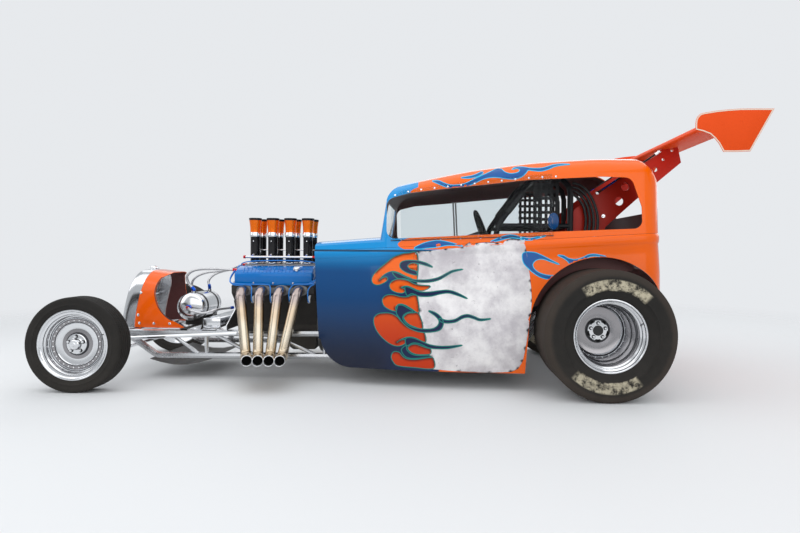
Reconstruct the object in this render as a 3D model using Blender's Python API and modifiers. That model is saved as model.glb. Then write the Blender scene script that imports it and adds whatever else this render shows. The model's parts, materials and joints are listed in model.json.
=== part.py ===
# Front-engined drag racing car with a chopped two-door sedan body and a rear wing.
# Metres, +X forward, +Y to the car's left, +Z up, origin on the ground below the middle of the car.

import math

import bmesh
import bpy
from mathutils import Matrix, Vector

# Driving dimensions
WHEELBASE = 3.09
FRONT_AXLE_X = 1.888
REAR_AXLE_X = FRONT_AXLE_X - WHEELBASE
FRONT_TYRE_RADIUS = 0.283
REAR_TYRE_RADIUS = 0.375
FRONT_TYRE_WIDTH = 0.125
REAR_TYRE_WIDTH = 0.335
FRONT_WHEEL_Y = 0.622
REAR_WHEEL_Y = 0.672
FRAME_HALF_WIDTH = 0.30
RAIL_RADIUS = 0.0215
UPPER_RAIL_Z = 0.298
LOWER_RAIL_Z = 0.150
BODY_FRONT_X = 0.500
BODY_REAR_X = -1.612
BODY_BOTTOM_Z = 0.108
BODY_WALL = 0.005
SCREEN_X = 0.130
BORE_SPACING = 0.1229
ENGINE_X = 0.850
CRANK_Z = 0.330
SEAT_GAP = 0.0003
CUT_OVERRUN = 0.06

# Facets round a turned piece or a tube, by how large it looks
WHEEL_FACETS = 20
SLICK_FACETS = 24
DISC_FACETS = 24
ROUND_FACETS = 12
TUBE_FACETS = 8
MERGE = 0.00005

LEFT = 1
RIGHT = -1
SIDES = (("left", LEFT), ("right", RIGHT))


def clear_scene():
    for thing in list(bpy.data.objects):
        bpy.data.objects.remove(thing, do_unlink=True)


def make_collection(name):
    group = bpy.data.collections.new(name)
    bpy.context.scene.collection.children.link(group)
    return group


clear_scene()
CAR = make_collection("drag_racing_car")
TOOLS = make_collection("cutters")


def make_material(name, colour, roughness, metallic):
    material = bpy.data.materials.new(name)
    material.use_nodes = True
    shader = material.node_tree.nodes["Principled BSDF"]
    shader.inputs["Base Color"].default_value = (*colour, 1)
    shader.inputs["Roughness"].default_value = roughness
    shader.inputs["Metallic"].default_value = metallic
    return material


PAINT_ORANGE = make_material("paint_orange", (0.90, 0.16, 0.01), 0.2, 0)
PAINT_BLUE = make_material("paint_blue", (0.01, 0.15, 0.42), 0.2, 0)
PAINT_RED = make_material("paint_red", (0.72, 0.04, 0.01), 0.25, 0)
CHROME = make_material("chrome", (0.85, 0.86, 0.88), 0.08, 1)
POLISHED = make_material("polished_aluminium", (0.78, 0.79, 0.80), 0.2, 1)
GREY_METAL = make_material("grey_metal", (0.30, 0.31, 0.32), 0.45, 1)
BLACK_PAINT = make_material("black_paint", (0.02, 0.02, 0.022), 0.35, 0)
ENGINE_BLUE = make_material("engine_blue", (0.01, 0.11, 0.55), 0.25, 0)
HEADER_STEEL = make_material("header_steel", (0.62, 0.50, 0.36), 0.25, 1)
TYRE_RUBBER = make_material("tyre_rubber", (0.025, 0.025, 0.026), 0.8, 0)
CLEAR_SHEET = make_material("clear_sheet", (0.8, 0.85, 0.88), 0.05, 0)


def place(name, mesh, material=None, matrix=Matrix.Identity(4), tool=False):
    """Link a mesh as a piece of the car, or as a cutter that the car doesn't show."""
    thing = bpy.data.objects.new(name, mesh)
    (TOOLS if tool else CAR).objects.link(thing)
    thing.matrix_world = matrix
    if material:
        mesh.materials.append(material)
    if tool:
        thing.hide_render = True
        thing.display_type = "WIRE"
    return thing


def at(x, y, z):
    return Matrix.Translation((x, y, z))


def mesh_from(builder, name):
    bm = bmesh.new()
    builder(bm)
    mesh = bpy.data.meshes.new(name)
    bm.to_mesh(mesh)
    bm.free()
    return mesh


def box_mesh(name, low, high):
    """A block between two corners."""
    low, high = Vector(low), Vector(high)
    size = high - low
    shape = at(*((low + high) / 2)) @ Matrix.Diagonal((*size, 1))
    return mesh_from(lambda bm: bmesh.ops.create_cube(bm, size=1, matrix=shape), name)


def rod_mesh(name, start, end, radius, end_radius=None, facets=TUBE_FACETS):
    """A round bar, or a cone, from one point to another."""
    start, end = Vector(start), Vector(end)
    along = end - start
    turn = along.to_track_quat("Z", "Y").to_matrix().to_4x4()
    shape = at(*((start + end) / 2)) @ turn @ Matrix.Rotation(math.pi / facets, 4, "Z")

    def build(bm):
        bmesh.ops.create_cone(
            bm, cap_ends=True, segments=facets, radius1=radius,
            radius2=radius if end_radius is None else end_radius,
            depth=along.length, matrix=shape)

    return mesh_from(build, name)


def plate_mesh(name, outline, low, high, axis="Y"):
    """A flat outline given thickness along one axis. The outline holds the two other coordinates."""
    def corner(a, b, depth):
        if axis == "Y":
            return (a, depth, b)
        if axis == "X":
            return (depth, a, b)
        return (a, b, depth)

    def build(bm):
        face = bm.faces.new([bm.verts.new(corner(a, b, low)) for a, b in outline])
        step = Vector(corner(0, 0, high)) - Vector(corner(0, 0, low))
        raised = bmesh.ops.extrude_face_region(bm, geom=[face])
        moved = [item for item in raised["geom"] if isinstance(item, bmesh.types.BMVert)]
        bmesh.ops.translate(bm, verts=moved, vec=step)
        bmesh.ops.recalc_face_normals(bm, faces=bm.faces)

    return mesh_from(build, name)


def arc(centre, radius, start_deg, end_deg, steps):
    """Points along a circle, angles from the first coordinate's axis."""
    points = []
    for i in range(steps + 1):
        angle = math.radians(start_deg + (end_deg - start_deg) * i / steps)
        points.append((centre[0] + radius * math.cos(angle), centre[1] + radius * math.sin(angle)))
    return points


def rounded_outline(corners, radius, steps=3):
    """Round every corner of a polygon with an arc that touches both sides."""
    points = []
    count = len(corners)
    for i, corner in enumerate(corners):
        here = Vector(corner)
        back = (Vector(corners[i - 1]) - here).normalized()
        ahead = (Vector(corners[(i + 1) % count]) - here).normalized()
        half = back.angle(ahead) / 2
        reach = radius / math.tan(half)
        centre = here + (back + ahead).normalized() * radius / math.sin(half)
        first = here + back * reach - centre
        last = here + ahead * reach - centre
        for k in range(steps + 1):
            points.append(tuple(centre + first.lerp(last, k / steps).normalized() * radius))
    return points


def turned(name, profile, facets, material=None, matrix=Matrix.Identity(4), closed=False, tool=False):
    """A profile of (radius, height) spun about the local Z axis, its outer side running downwards."""
    mesh = bpy.data.meshes.new(name)
    last = len(profile) - 1
    edges = [(i, i + 1) for i in range(last)]
    if closed:
        edges.append((last, 0))
    mesh.from_pydata([(r, 0, h) for r, h in profile], edges, [])
    thing = place(name, mesh, material, matrix @ Matrix.Rotation(math.pi / facets, 4, "Z"), tool)
    screw = thing.modifiers.new("turn", "SCREW")
    screw.axis = "Z"
    screw.angle = math.tau
    screw.steps = facets
    screw.render_steps = facets
    screw.use_merge_vertices = True
    screw.merge_threshold = MERGE
    screw.use_smooth_shade = True
    return thing


def tube_mesh(name, points, radius, facets_step=2):
    """A round tube along points, from a curve with a round bevel and filled ends, made a mesh."""
    curve = bpy.data.curves.new(name, "CURVE")
    curve.dimensions = "3D"
    spline = curve.splines.new("POLY")
    spline.points.add(len(points) - 1)
    for slot, point in zip(spline.points, points):
        slot.co = (*point, 1)
    curve.bevel_depth = radius
    curve.bevel_resolution = facets_step
    curve.use_fill_caps = True
    guide = bpy.data.objects.new(name, curve)
    TOOLS.objects.link(guide)
    depsgraph = bpy.context.evaluated_depsgraph_get()
    mesh = bpy.data.meshes.new_from_object(guide.evaluated_get(depsgraph))
    bpy.data.objects.remove(guide, do_unlink=True)
    bm = bmesh.new()
    bm.from_mesh(mesh)
    bmesh.ops.remove_doubles(bm, verts=bm.verts, dist=MERGE)
    bmesh.ops.recalc_face_normals(bm, faces=bm.faces)
    bm.to_mesh(mesh)
    bm.free()
    mesh.name = name
    return mesh


def smooth_path(points, bend, steps=3):
    """Round the corners of a path with arcs of one radius, as a tube is bent."""
    path = [Vector(points[0])]
    for back, here, ahead in zip(points, points[1:], points[2:]):
        here = Vector(here)
        arm_in = (Vector(back) - here).normalized()
        arm_out = (Vector(ahead) - here).normalized()
        half = arm_in.angle(arm_out) / 2
        if half > math.radians(86):
            path.append(here)
            continue
        reach = bend / math.tan(half)
        centre = here + (arm_in + arm_out).normalized() * bend / math.sin(half)
        first = here + arm_in * reach - centre
        last = here + arm_out * reach - centre
        for k in range(steps + 1):
            path.append(centre + first.lerp(last, k / steps).normalized() * bend)
    path.append(Vector(points[-1]))
    return path


def combine(thing, others, operation="UNION"):
    """Join other meshes to a piece, or cut them out of it."""
    for i, other in enumerate(others):
        if isinstance(other, bpy.types.Mesh):
            other = place(f"{other.name}_tool", other, tool=True)
        step = thing.modifiers.new(other.name, "BOOLEAN")
        step.operation = operation
        step.object = other
        step.solver = "EXACT"
    return thing


def fused(name, meshes, material):
    """One piece welded up from several meshes that meet."""
    return combine(place(name, meshes[0], material), meshes[1:])


def surface(name, rows, material=None, wall=BODY_WALL, mirror=True, tool=False, offset=-1):
    """A sheet through rows of points, given a wall, with its other half mirrored in Y."""
    def build(bm):
        grid = [[bm.verts.new(point) for point in row] for row in rows]
        for low, high in zip(grid, grid[1:]):
            for a, b, c, d in zip(low, low[1:], high[1:], high):
                if (a.co - d.co).length > MERGE or (b.co - c.co).length > MERGE:
                    bm.faces.new((a, b, c, d))
        bmesh.ops.remove_doubles(bm, verts=bm.verts, dist=MERGE)

    thing = place(name, mesh_from(build, name), material, tool=tool)
    if mirror:
        halves = thing.modifiers.new("halves", "MIRROR")
        halves.use_axis = (False, True, False)
        halves.use_mirror_merge = True
        halves.merge_threshold = MERGE
    if wall:
        skin = thing.modifiers.new("wall", "SOLIDIFY")
        skin.thickness = wall
        skin.offset = offset
        skin.use_even_offset = True
    return thing


def loft_mesh(name, rings):
    """A solid through closed rings of points, with a flat face over each end ring."""
    def build(bm):
        loops = [[bm.verts.new(point) for point in ring] for ring in rings]
        for low, high in zip(loops, loops[1:]):
            for i in range(len(low)):
                bm.faces.new((low[i - 1], low[i], high[i], high[i - 1]))
        bm.faces.new(loops[0])
        bm.faces.new(loops[-1])
        bmesh.ops.recalc_face_normals(bm, faces=bm.faces)

    return mesh_from(build, name)


def mix(a, b, share):
    return a + (b - a) * share


def along_table(table, x):
    """Read a value from a table of (x, value) rows that runs from the front of the car to the back."""
    if x >= table[0][0]:
        return table[0][1]
    for (x0, v0), (x1, v1) in zip(table, table[1:]):
        if x >= x1:
            share = (x0 - x) / (x0 - x1)
            return mix(v0, v1, share)
    return table[-1][1]


# Body form

# Half-width of the body at the belt, from the cowl to the tail, as (x, half-width)
BELT_HALF_WIDTHS = (
    (0.53, 0.405),
    (0.13, 0.500),
    (-0.25, 0.560),
    (-0.75, 0.598),
    (-1.20, 0.590),
    (-1.62, 0.560),
)
# Height of the belt line and of the roof's edge, as (x, height)
BELT_HEIGHTS = ((0.53, 0.838), (-0.25, 0.876), (-1.62, 0.962))
ROOF_HEIGHTS = (
    (0.13, 1.232),
    (-0.05, 1.276),
    (-0.45, 1.352),
    (-0.85, 1.402),
    (-1.25, 1.430),
    (-1.62, 1.436),
)
COWL_TOP_HEIGHTS = ((0.53, 0.904), (0.05, 0.942))
TAIL_CORNER = 0.13
SCREEN_CORNER = 0.07
LEAST_CORNER = 0.012
CROWN_FADE = 0.30
SIDE_STEPS = 8
TAIL_STEPS = 3
PILLAR_LEAN = 0.045
SIDE_LEAN = 0.055
TAIL_LEAN = 0.0
FRONT_EDGE_RADIUS = 0.10
SIDE_EDGE_RADIUS = 0.12
TAIL_EDGE_RADIUS = 0.19
ROOF_CROWN = 0.035
BELT_RAISE = 0.007
FRONT_EDGE_SLOPE = 0.055
SILL_TUCK = 0.018
SIDE_BULGE = 0.012
BELT_GAP = 0.0015


def belt_half_width(x):
    return along_table(BELT_HALF_WIDTHS, x)


def belt_z(x):
    return along_table(BELT_HEIGHTS, x)


def plan_outline(front_x, rear_x, front_corner, side_steps, inset=(0, 0, 0)):
    """Half of the body's outline from above, from the front's middle round the left side to the tail.
    The inset moves the front, the side and the tail inwards."""
    at_front, at_side, at_tail = inset
    points = []
    start = front_x - at_front
    if front_corner:
        reach_x = max(front_corner - at_front, LEAST_CORNER)
        reach_y = max(front_corner - at_side, LEAST_CORNER)
        start -= reach_x
        middle_y = belt_half_width(start) - at_side - reach_y
        points += [(start + reach_x, middle_y * i / 2) for i in range(2)]
        for i in range(3):
            angle = math.pi / 2 * i / 3
            points.append((start + reach_x * math.cos(angle), middle_y + reach_y * math.sin(angle)))
    reach_x = max(TAIL_CORNER - at_tail, LEAST_CORNER)
    reach_y = max(TAIL_CORNER - at_side, LEAST_CORNER)
    end = rear_x + at_tail + reach_x
    for i in range(side_steps + 1):
        x = mix(start, end, i / side_steps)
        points.append((x, belt_half_width(x) - at_side))
    middle_y = belt_half_width(end) - at_side - reach_y
    for i in range(1, TAIL_STEPS + 1):
        angle = math.pi / 2 * i / TAIL_STEPS
        points.append((end - reach_x * math.sin(angle), middle_y + reach_y * math.cos(angle)))
    points += [(end - reach_x, middle_y / 2), (end - reach_x, 0)]
    return points


def facing_shares(points, i):
    """How much one point of the outline belongs to the front, to the side and to the tail."""
    if i == 0:
        run = Vector((0, 1))
    elif i == len(points) - 1:
        run = Vector((0, -1))
    else:
        run = (Vector(points[i + 1]) - Vector(points[i - 1])).normalized()
    return max(0, run.y) ** 2, run.x ** 2, max(0, -run.y) ** 2


# Share of the body side's height from its bottom to the belt, and the step outwards there
SIDE_LEVELS = (
    (0.0, -SILL_TUCK),
    (0.16, -SILL_TUCK / 3),
    (0.42, SIDE_BULGE),
    (0.72, SIDE_BULGE),
    (0.93, 0.0),
    (0.955, BELT_RAISE),
    (0.985, BELT_RAISE),
    (1.0, 0.0),
)


def body_wall_y(x, z):
    """Half-width to the middle of the body side's wall below the belt."""
    share = (z - BODY_BOTTOM_Z) / (belt_z(x) - BODY_BOTTOM_Z)
    step = 0
    for (low, low_step), (high, high_step) in zip(SIDE_LEVELS, SIDE_LEVELS[1:]):
        if low <= share <= high:
            step = mix(low_step, high_step, (share - low) / (high - low))
    return belt_half_width(x) + step - BODY_WALL / 2


def body_side_rows():
    """Rows from the bottom edge up to the belt, the belt's raised moulding last."""
    rows = []
    for share, step in SIDE_LEVELS:
        row = []
        for x, y in plan_outline(BODY_FRONT_X, BODY_REAR_X, 0, SIDE_STEPS, (0, -step, -step)):
            z = mix(BODY_BOTTOM_Z, belt_z(x), share)
            lean = FRONT_EDGE_SLOPE * (z - BODY_BOTTOM_Z) * max(0, 1 - (BODY_FRONT_X - x) / SCREEN_X)
            row.append((x + lean, y, z))
        rows.append(row)
    return rows


def greenhouse_rows(grow=0.0, base_drop=0.0, wall_steps=2, edge_steps=2, roof_steps=2):
    """Rows from the belt up the pillars, round the roof's edge and over to the middle of the roof."""
    outline = plan_outline(SCREEN_X, BODY_REAR_X, SCREEN_CORNER, SIDE_STEPS)
    lengths = [0]
    for a, b in zip(outline, outline[1:]):
        lengths.append(lengths[-1] + (Vector(b) - Vector(a)).length)
    facing = [facing_shares(outline, i) for i in range(len(outline))]
    edge_radii = (FRONT_EDGE_RADIUS, SIDE_EDGE_RADIUS, TAIL_EDGE_RADIUS)
    leans = (PILLAR_LEAN, SIDE_LEAN, TAIL_LEAN)
    radii = [sum(share * radius for share, radius in zip(shares, edge_radii)) for shares in facing]

    def outline_at(lean_share, turn, extra):
        inset = [lean * lean_share + radius * (1 - math.cos(turn)) - extra
                 for lean, radius in zip(leans, edge_radii)]
        return plan_outline(SCREEN_X, BODY_REAR_X, SCREEN_CORNER, SIDE_STEPS, inset)

    rows = []
    for k in range(wall_steps + 1):
        share = k / wall_steps
        row = []
        for (x, y), radius in zip(outline_at(share, 0, grow), radii):
            base = belt_z(x) - base_drop
            row.append((x, y, mix(base, along_table(ROOF_HEIGHTS, x) - radius, share)))
        rows.append(row)
    for k in range(1, edge_steps + 1):
        angle = math.pi / 2 * k / edge_steps
        row = []
        for (x, y), radius in zip(outline_at(1, angle, grow * math.cos(angle)), radii):
            rise = (radius + grow) * math.sin(angle) - radius
            row.append((x, y, along_table(ROOF_HEIGHTS, x) + rise))
        rows.append(row)
    edge = rows[-1]
    front_x, tail_x = edge[0][0], edge[-1][0]
    for k in range(1, roof_steps + 1):
        share = k / roof_steps
        row = []
        for (x, y, z), length in zip(edge, lengths):
            new_x = mix(x, mix(front_x, tail_x, length / lengths[-1]), share)
            fade = min(1, abs(new_x - front_x) / CROWN_FADE, abs(new_x - tail_x) / CROWN_FADE)
            rise = ROOF_CROWN * (1 - (1 - share) ** 2) * fade
            row.append((new_x, y * (1 - share), along_table(ROOF_HEIGHTS, new_x) + grow + rise))
        rows.append(row)
    return rows


# Openings in the body
ARCH_CLEARANCE = 0.062
ARCH_RADIUS = REAR_TYRE_RADIUS + ARCH_CLEARANCE
ARCH_BACK_OFFSET = 0.020
TAIL_PANEL_BOTTOM_Z = 0.55
SIDE_PANEL_END_X = -0.764
LOWER_CORNER_RADIUS = 0.20
WINDOW_CORNER = 0.055
SCREEN_OPENING_HALF_WIDTH = 0.375
SCREEN_OPENING_LOW_Z = 0.955
SCREEN_OPENING_HIGH_Z = 1.150
TAIL_OPENING_HALF_WIDTH = 0.30
TAIL_OPENING_LOW_Z = 1.10
TAIL_OPENING_START_X = -1.43
# Corners of the side opening as (x, z)
SIDE_OPENING = (
    (0.078, 0.915),
    (0.082, 1.165),
    (-0.060, 1.203),
    (-0.800, 1.279),
    (-1.240, 1.303),
    (-1.425, 1.300),
    (-1.478, 1.120),
    (-1.476, 0.987),
)


def body_cutters():
    """Wheel arches, the space below the tail and the rounded lower front corners, cut right across."""
    half = belt_half_width(SIDE_PANEL_END_X) + CUT_OVERRUN
    arch_x = REAR_AXLE_X - ARCH_BACK_OFFSET
    outline = [(SIDE_PANEL_END_X, BODY_BOTTOM_Z - CUT_OVERRUN)]
    start = math.degrees(math.acos((SIDE_PANEL_END_X - arch_x) / ARCH_RADIUS)) \
        if SIDE_PANEL_END_X - arch_x < ARCH_RADIUS else 0
    end = 180 - math.degrees(math.asin((TAIL_PANEL_BOTTOM_Z - REAR_TYRE_RADIUS) / ARCH_RADIUS))
    outline += arc((arch_x, REAR_TYRE_RADIUS), ARCH_RADIUS, start, end, 14)
    outline += [(BODY_REAR_X - CUT_OVERRUN, TAIL_PANEL_BOTTOM_Z),
                (BODY_REAR_X - CUT_OVERRUN, BODY_BOTTOM_Z - CUT_OVERRUN)]
    tail = place("tail_cutter", plate_mesh("tail_cutter", outline, -half, half), tool=True)
    corner_x = BODY_FRONT_X - LOWER_CORNER_RADIUS
    corner_z = BODY_BOTTOM_Z + LOWER_CORNER_RADIUS
    far = BODY_FRONT_X + CUT_OVERRUN
    outline = arc((corner_x, corner_z), LOWER_CORNER_RADIUS, -90, -8, 5)
    outline += [(far, corner_z), (far, BODY_BOTTOM_Z - CUT_OVERRUN),
                (corner_x, BODY_BOTTOM_Z - CUT_OVERRUN)]
    nose = place("lower_corner_cutter", plate_mesh("lower_corner_cutter", outline, -half, half), tool=True)
    return tail, nose


def build_body():
    rows = body_side_rows()
    tail, nose = body_cutters()
    side = surface("body_side_shell", rows, PAINT_ORANGE)
    combine(side, [tail, nose], "DIFFERENCE")

    # The greenhouse: roof, pillars and the strip from the belt up to the side openings
    roof = surface("body_roof_shell", greenhouse_rows(base_drop=-BELT_GAP), PAINT_ORANGE)
    half = belt_half_width(SIDE_PANEL_END_X) + CUT_OVERRUN
    opening = plate_mesh("side_opening", rounded_outline(SIDE_OPENING, WINDOW_CORNER), -half, half)
    screen = rounded_outline(
        [(-SCREEN_OPENING_HALF_WIDTH, SCREEN_OPENING_LOW_Z), (SCREEN_OPENING_HALF_WIDTH,
                                                              SCREEN_OPENING_LOW_Z),
         (SCREEN_OPENING_HALF_WIDTH - SIDE_LEAN, SCREEN_OPENING_HIGH_Z),
         (-SCREEN_OPENING_HALF_WIDTH + SIDE_LEAN, SCREEN_OPENING_HIGH_Z)], WINDOW_CORNER)
    windscreen = plate_mesh("screen_opening", screen, SCREEN_X - FRONT_EDGE_RADIUS,
                            SCREEN_X + CUT_OVERRUN, "X")
    high = along_table(ROOF_HEIGHTS, BODY_REAR_X) + ROOF_CROWN + CUT_OVERRUN
    back = rounded_outline(
        [(-TAIL_OPENING_HALF_WIDTH, TAIL_OPENING_LOW_Z), (TAIL_OPENING_HALF_WIDTH, TAIL_OPENING_LOW_Z),
         (TAIL_OPENING_HALF_WIDTH, high), (-TAIL_OPENING_HALF_WIDTH, high)], WINDOW_CORNER)
    tail_opening = plate_mesh("tail_opening", back, BODY_REAR_X - CUT_OVERRUN, TAIL_OPENING_START_X, "X")
    combine(roof, [opening, windscreen, tail_opening], "DIFFERENCE")

    # The cowl top runs from the front edge back to the foot of the screen
    rows = []
    steps = 5
    for k in range(steps + 1):
        x = mix(BODY_FRONT_X + FRONT_EDGE_SLOPE * (belt_z(BODY_FRONT_X) - BODY_BOTTOM_Z), COWL_END_X,
                k / steps)
        half_width = belt_half_width(x)
        low, high = belt_z(x) + BELT_GAP, along_table(COWL_TOP_HEIGHTS, x)
        rows.append([(x, half_width * math.cos(angle) ** COWL_ROUND_SHARE,
                      mix(low, high, math.sin(angle) ** COWL_ROUND_SHARE))
                     for angle in (math.pi / 2 * i / 6 for i in range(7))])
    cowl = surface("cowl_top", [list(reversed(row)) for row in rows], PAINT_BLUE, offset=-1)
    foot = greenhouse_rows(grow=SEAT_GAP * 2)[:2]
    foot.insert(0, [(x, y, z - CUT_OVERRUN) for x, y, z in foot[0]])
    rings = [row + [(x, -y, z) for x, y, z in reversed(row[1:-1])] for row in foot]
    combine(cowl, [loft_mesh("screen_foot", rings)], "DIFFERENCE")


COWL_END_X = 0.085
COWL_ROUND_SHARE = 0.55
build_body()


# Cabin: floor, firewall, sheets, seat and wheel tubs
SHEET_THICKNESS = 0.003
SHEET_LAP = 0.030
SHEET_GAP = 0.0012
SIDE_SHEET_END_X = -0.93
SHEET_BOTTOM_LAP = 0.012
FLOOR_THICKNESS = 0.003
FLOOR_FRONT_X = 0.30
FLOOR_REAR_X = -0.76
FIREWALL_THICKNESS = 0.004
FIREWALL_TUNNEL_HALF_WIDTH = 0.235
FIREWALL_TUNNEL_HIGH_Z = 0.56
TUB_RADIUS = ARCH_RADIUS + BODY_WALL
TUB_INNER_Y = 0.470
TUB_WALL = 0.003
SEAT_FRONT_X = -0.62
SEAT_BACK_X = -1.00
SEAT_HALF_WIDTH = 0.20
SEAT_LOW_Z = 0.385
SEAT_CUSHION_Z = 0.440
SEAT_TOP_Z = 0.990
SEAT_SHELL = 0.020
SEAT_BAR_LENGTH = 0.070
SEAT_BAR_THICKNESS = 0.012
SEAT_RAKE = 0.16


def build_sheets():
    """Clear plastic sheets over the openings, lapped on the outside of the body and trimmed to shape."""
    def sheet(name, room):
        piece = surface(name, greenhouse_rows(grow=SHEET_GAP), CLEAR_SHEET, wall=SHEET_THICKNESS, offset=1)
        combine(piece, [room], "INTERSECT")

    far = belt_half_width(SIDE_PANEL_END_X) + CUT_OVERRUN
    front_low, front_high = SIDE_OPENING[0], SIDE_OPENING[1]
    end_x = SIDE_SHEET_END_X
    outline = [(front_low[0] - SHEET_LAP, sill_z(front_low[0]) - SHEET_BOTTOM_LAP),
               (front_high[0] - SHEET_LAP, window_top_z(front_high[0])),
               (front_high[0] - SHEET_LAP * 3, window_top_z(front_high[0] - SHEET_LAP * 3) + SHEET_LAP),
               (end_x, window_top_z(end_x) + SHEET_LAP), (end_x, sill_z(end_x) - SHEET_BOTTOM_LAP)]
    for name, side in SIDES:
        low, high = sorted((side * SCREEN_OPENING_HALF_WIDTH, side * far))
        sheet(f"side_window_{name}", plate_mesh(f"side_sheet_room_{name}", outline, low, high))
    half = SCREEN_OPENING_HALF_WIDTH + SHEET_LAP / 2
    room = box_mesh("screen_room", (0, -half, SCREEN_OPENING_LOW_Z - SHEET_BOTTOM_LAP),
                    (SCREEN_X + CUT_OVERRUN, half, SCREEN_OPENING_HIGH_Z + SHEET_BOTTOM_LAP))
    sheet("windscreen", room)


def sill_z(x):
    (front_x, front_z), (rear_x, rear_z) = SIDE_OPENING[0], SIDE_OPENING[-1]
    return mix(front_z, rear_z, (front_x - x) / (front_x - rear_x))


def window_top_z(x):
    return along_table(SIDE_OPENING[1:6], x)


def build_cabin():
    # The body side thickened by a gap, which trims whatever is fitted between the sides
    lining = surface("body_lining", body_side_rows(), wall=(BODY_WALL + SEAT_GAP) * 2, tool=True, offset=0)

    # Floor pan between the body sides
    steps = 6
    xs = [mix(FLOOR_FRONT_X, FLOOR_REAR_X, i / steps) for i in range(steps + 1)]
    left = [(x, body_wall_y(x, FLOOR_Z)) for x in xs]
    outline = left + [(x, -y) for x, y in reversed(left)]
    floor = place("floor_pan", plate_mesh("floor_pan", outline, FLOOR_Z - FLOOR_THICKNESS, FLOOR_Z, "Z"),
                  GREY_METAL)
    combine(floor, [lining], "DIFFERENCE")

    # Firewall across the front of the body, with a tunnel for the gearbox
    x = FIREWALL_X
    high = belt_z(x) - SEAT_GAP
    low = FLOOR_Z + LOWER_CORNER_RADIUS
    edge = [(body_wall_y(x, mix(low, high, i / steps)), mix(low, high, i / steps)) for i in range(steps + 1)]
    tunnel = FIREWALL_TUNNEL_HALF_WIDTH
    outline = [(tunnel, FIREWALL_TUNNEL_HIGH_Z), (tunnel, low)] + edge
    outline += [(-y, z) for y, z in reversed(outline)]
    wall = place("firewall", plate_mesh("firewall", outline, x - FIREWALL_THICKNESS, x, "X"), POLISHED)
    combine(wall, [lining], "DIFFERENCE")

    # Wheel tubs: half rounds over the slicks inside the body, closed on their inner side
    for name, side in SIDES:
        centre = (REAR_AXLE_X - ARCH_BACK_OFFSET, REAR_TYRE_RADIUS)
        outside = arc(centre, TUB_RADIUS, TUB_START_DEG, TUB_END_DEG, 14)
        inside = arc(centre, TUB_RADIUS - TUB_WALL, TUB_END_DEG, TUB_START_DEG, 14)
        low_y, high_y = sorted((side * TUB_INNER_Y, side * (TUB_INNER_Y + BODY_WALL)))
        strip = plate_mesh(f"wheel_tub_{name}", outside + inside, low_y, high_y)
        for vertex in strip.vertices:
            if abs(vertex.co.y) > TUB_INNER_Y + TUB_WALL:
                vertex.co.y = side * body_wall_y(vertex.co.x, vertex.co.z)
        shut = arc(centre, TUB_RADIUS - TUB_WALL / 2, TUB_START_DEG, TUB_END_DEG, 14)
        low_y, high_y = sorted((side * (TUB_INNER_Y - TUB_WALL / 2), side * (TUB_INNER_Y + TUB_WALL / 2)))
        tub = fused(f"wheel_tub_{name}", [strip, plate_mesh("tub_side", shut, low_y, high_y)], GREY_METAL)
        combine(tub, [lining], "DIFFERENCE")

    # Bucket seat: a shell with a back, sides and a base, hollowed out
    outline = rounded_outline([
        (SEAT_FRONT_X, SEAT_LOW_Z), (SEAT_FRONT_X, SEAT_CUSHION_Z + SEAT_SHELL * 3),
        (SEAT_BACK_X + SEAT_RAKE * 0.9, SEAT_CUSHION_Z + SEAT_RAKE * 1.3),
        (SEAT_BACK_X + SEAT_SHELL * 4, SEAT_TOP_Z), (SEAT_BACK_X, SEAT_TOP_Z),
        (SEAT_BACK_X + SEAT_RAKE * 0.5, SEAT_LOW_Z)], SEAT_SHELL, 2)
    hollow = [
        (SEAT_FRONT_X + SEAT_SHELL, SEAT_CUSHION_Z), (SEAT_FRONT_X + SEAT_SHELL, SEAT_TOP_Z + SEAT_SHELL),
        (SEAT_BACK_X + SEAT_SHELL * 1.6, SEAT_TOP_Z + SEAT_SHELL),
        (SEAT_BACK_X + SEAT_RAKE * 0.5 + SEAT_SHELL * 1.6, SEAT_CUSHION_Z)]
    inner = SEAT_HALF_WIDTH - SEAT_SHELL
    seat = place("seat", plate_mesh("seat", outline, -SEAT_HALF_WIDTH, SEAT_HALF_WIDTH), BLACK_PAINT)
    combine(seat, [plate_mesh("seat_hollow", hollow, -inner, inner)], "DIFFERENCE")
    reach = FRAME_HALF_WIDTH + SEAT_BAR_THICKNESS
    ends = (SEAT_FRONT_X - SEAT_BAR_LENGTH / 2, SEAT_FRONT_X + SEAT_BAR_LENGTH / 2)
    bars = [box_mesh("seat_bar", (ends[0], -reach, SEAT_LOW_Z - SEAT_BAR_THICKNESS / 2),
                     (ends[1], reach, SEAT_LOW_Z + SEAT_BAR_THICKNESS / 2))]
    for name, side in SIDES:
        y = side * FRAME_HALF_WIDTH
        bars.append(box_mesh(f"seat_post_{name}", (SEAT_FRONT_X, y - SEAT_BAR_THICKNESS / 2,
                                                   UPPER_RAIL_Z + RAIL_RADIUS + SEAT_GAP),
                             (ends[1], y + SEAT_BAR_THICKNESS / 2, SEAT_LOW_Z)))
    combine(seat, bars)


FLOOR_Z = LOWER_RAIL_Z - RAIL_RADIUS - SEAT_GAP
FIREWALL_X = BODY_FRONT_X - 0.020
TUB_START_DEG = 14
TUB_END_DEG = 124
build_sheets()
build_cabin()


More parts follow.
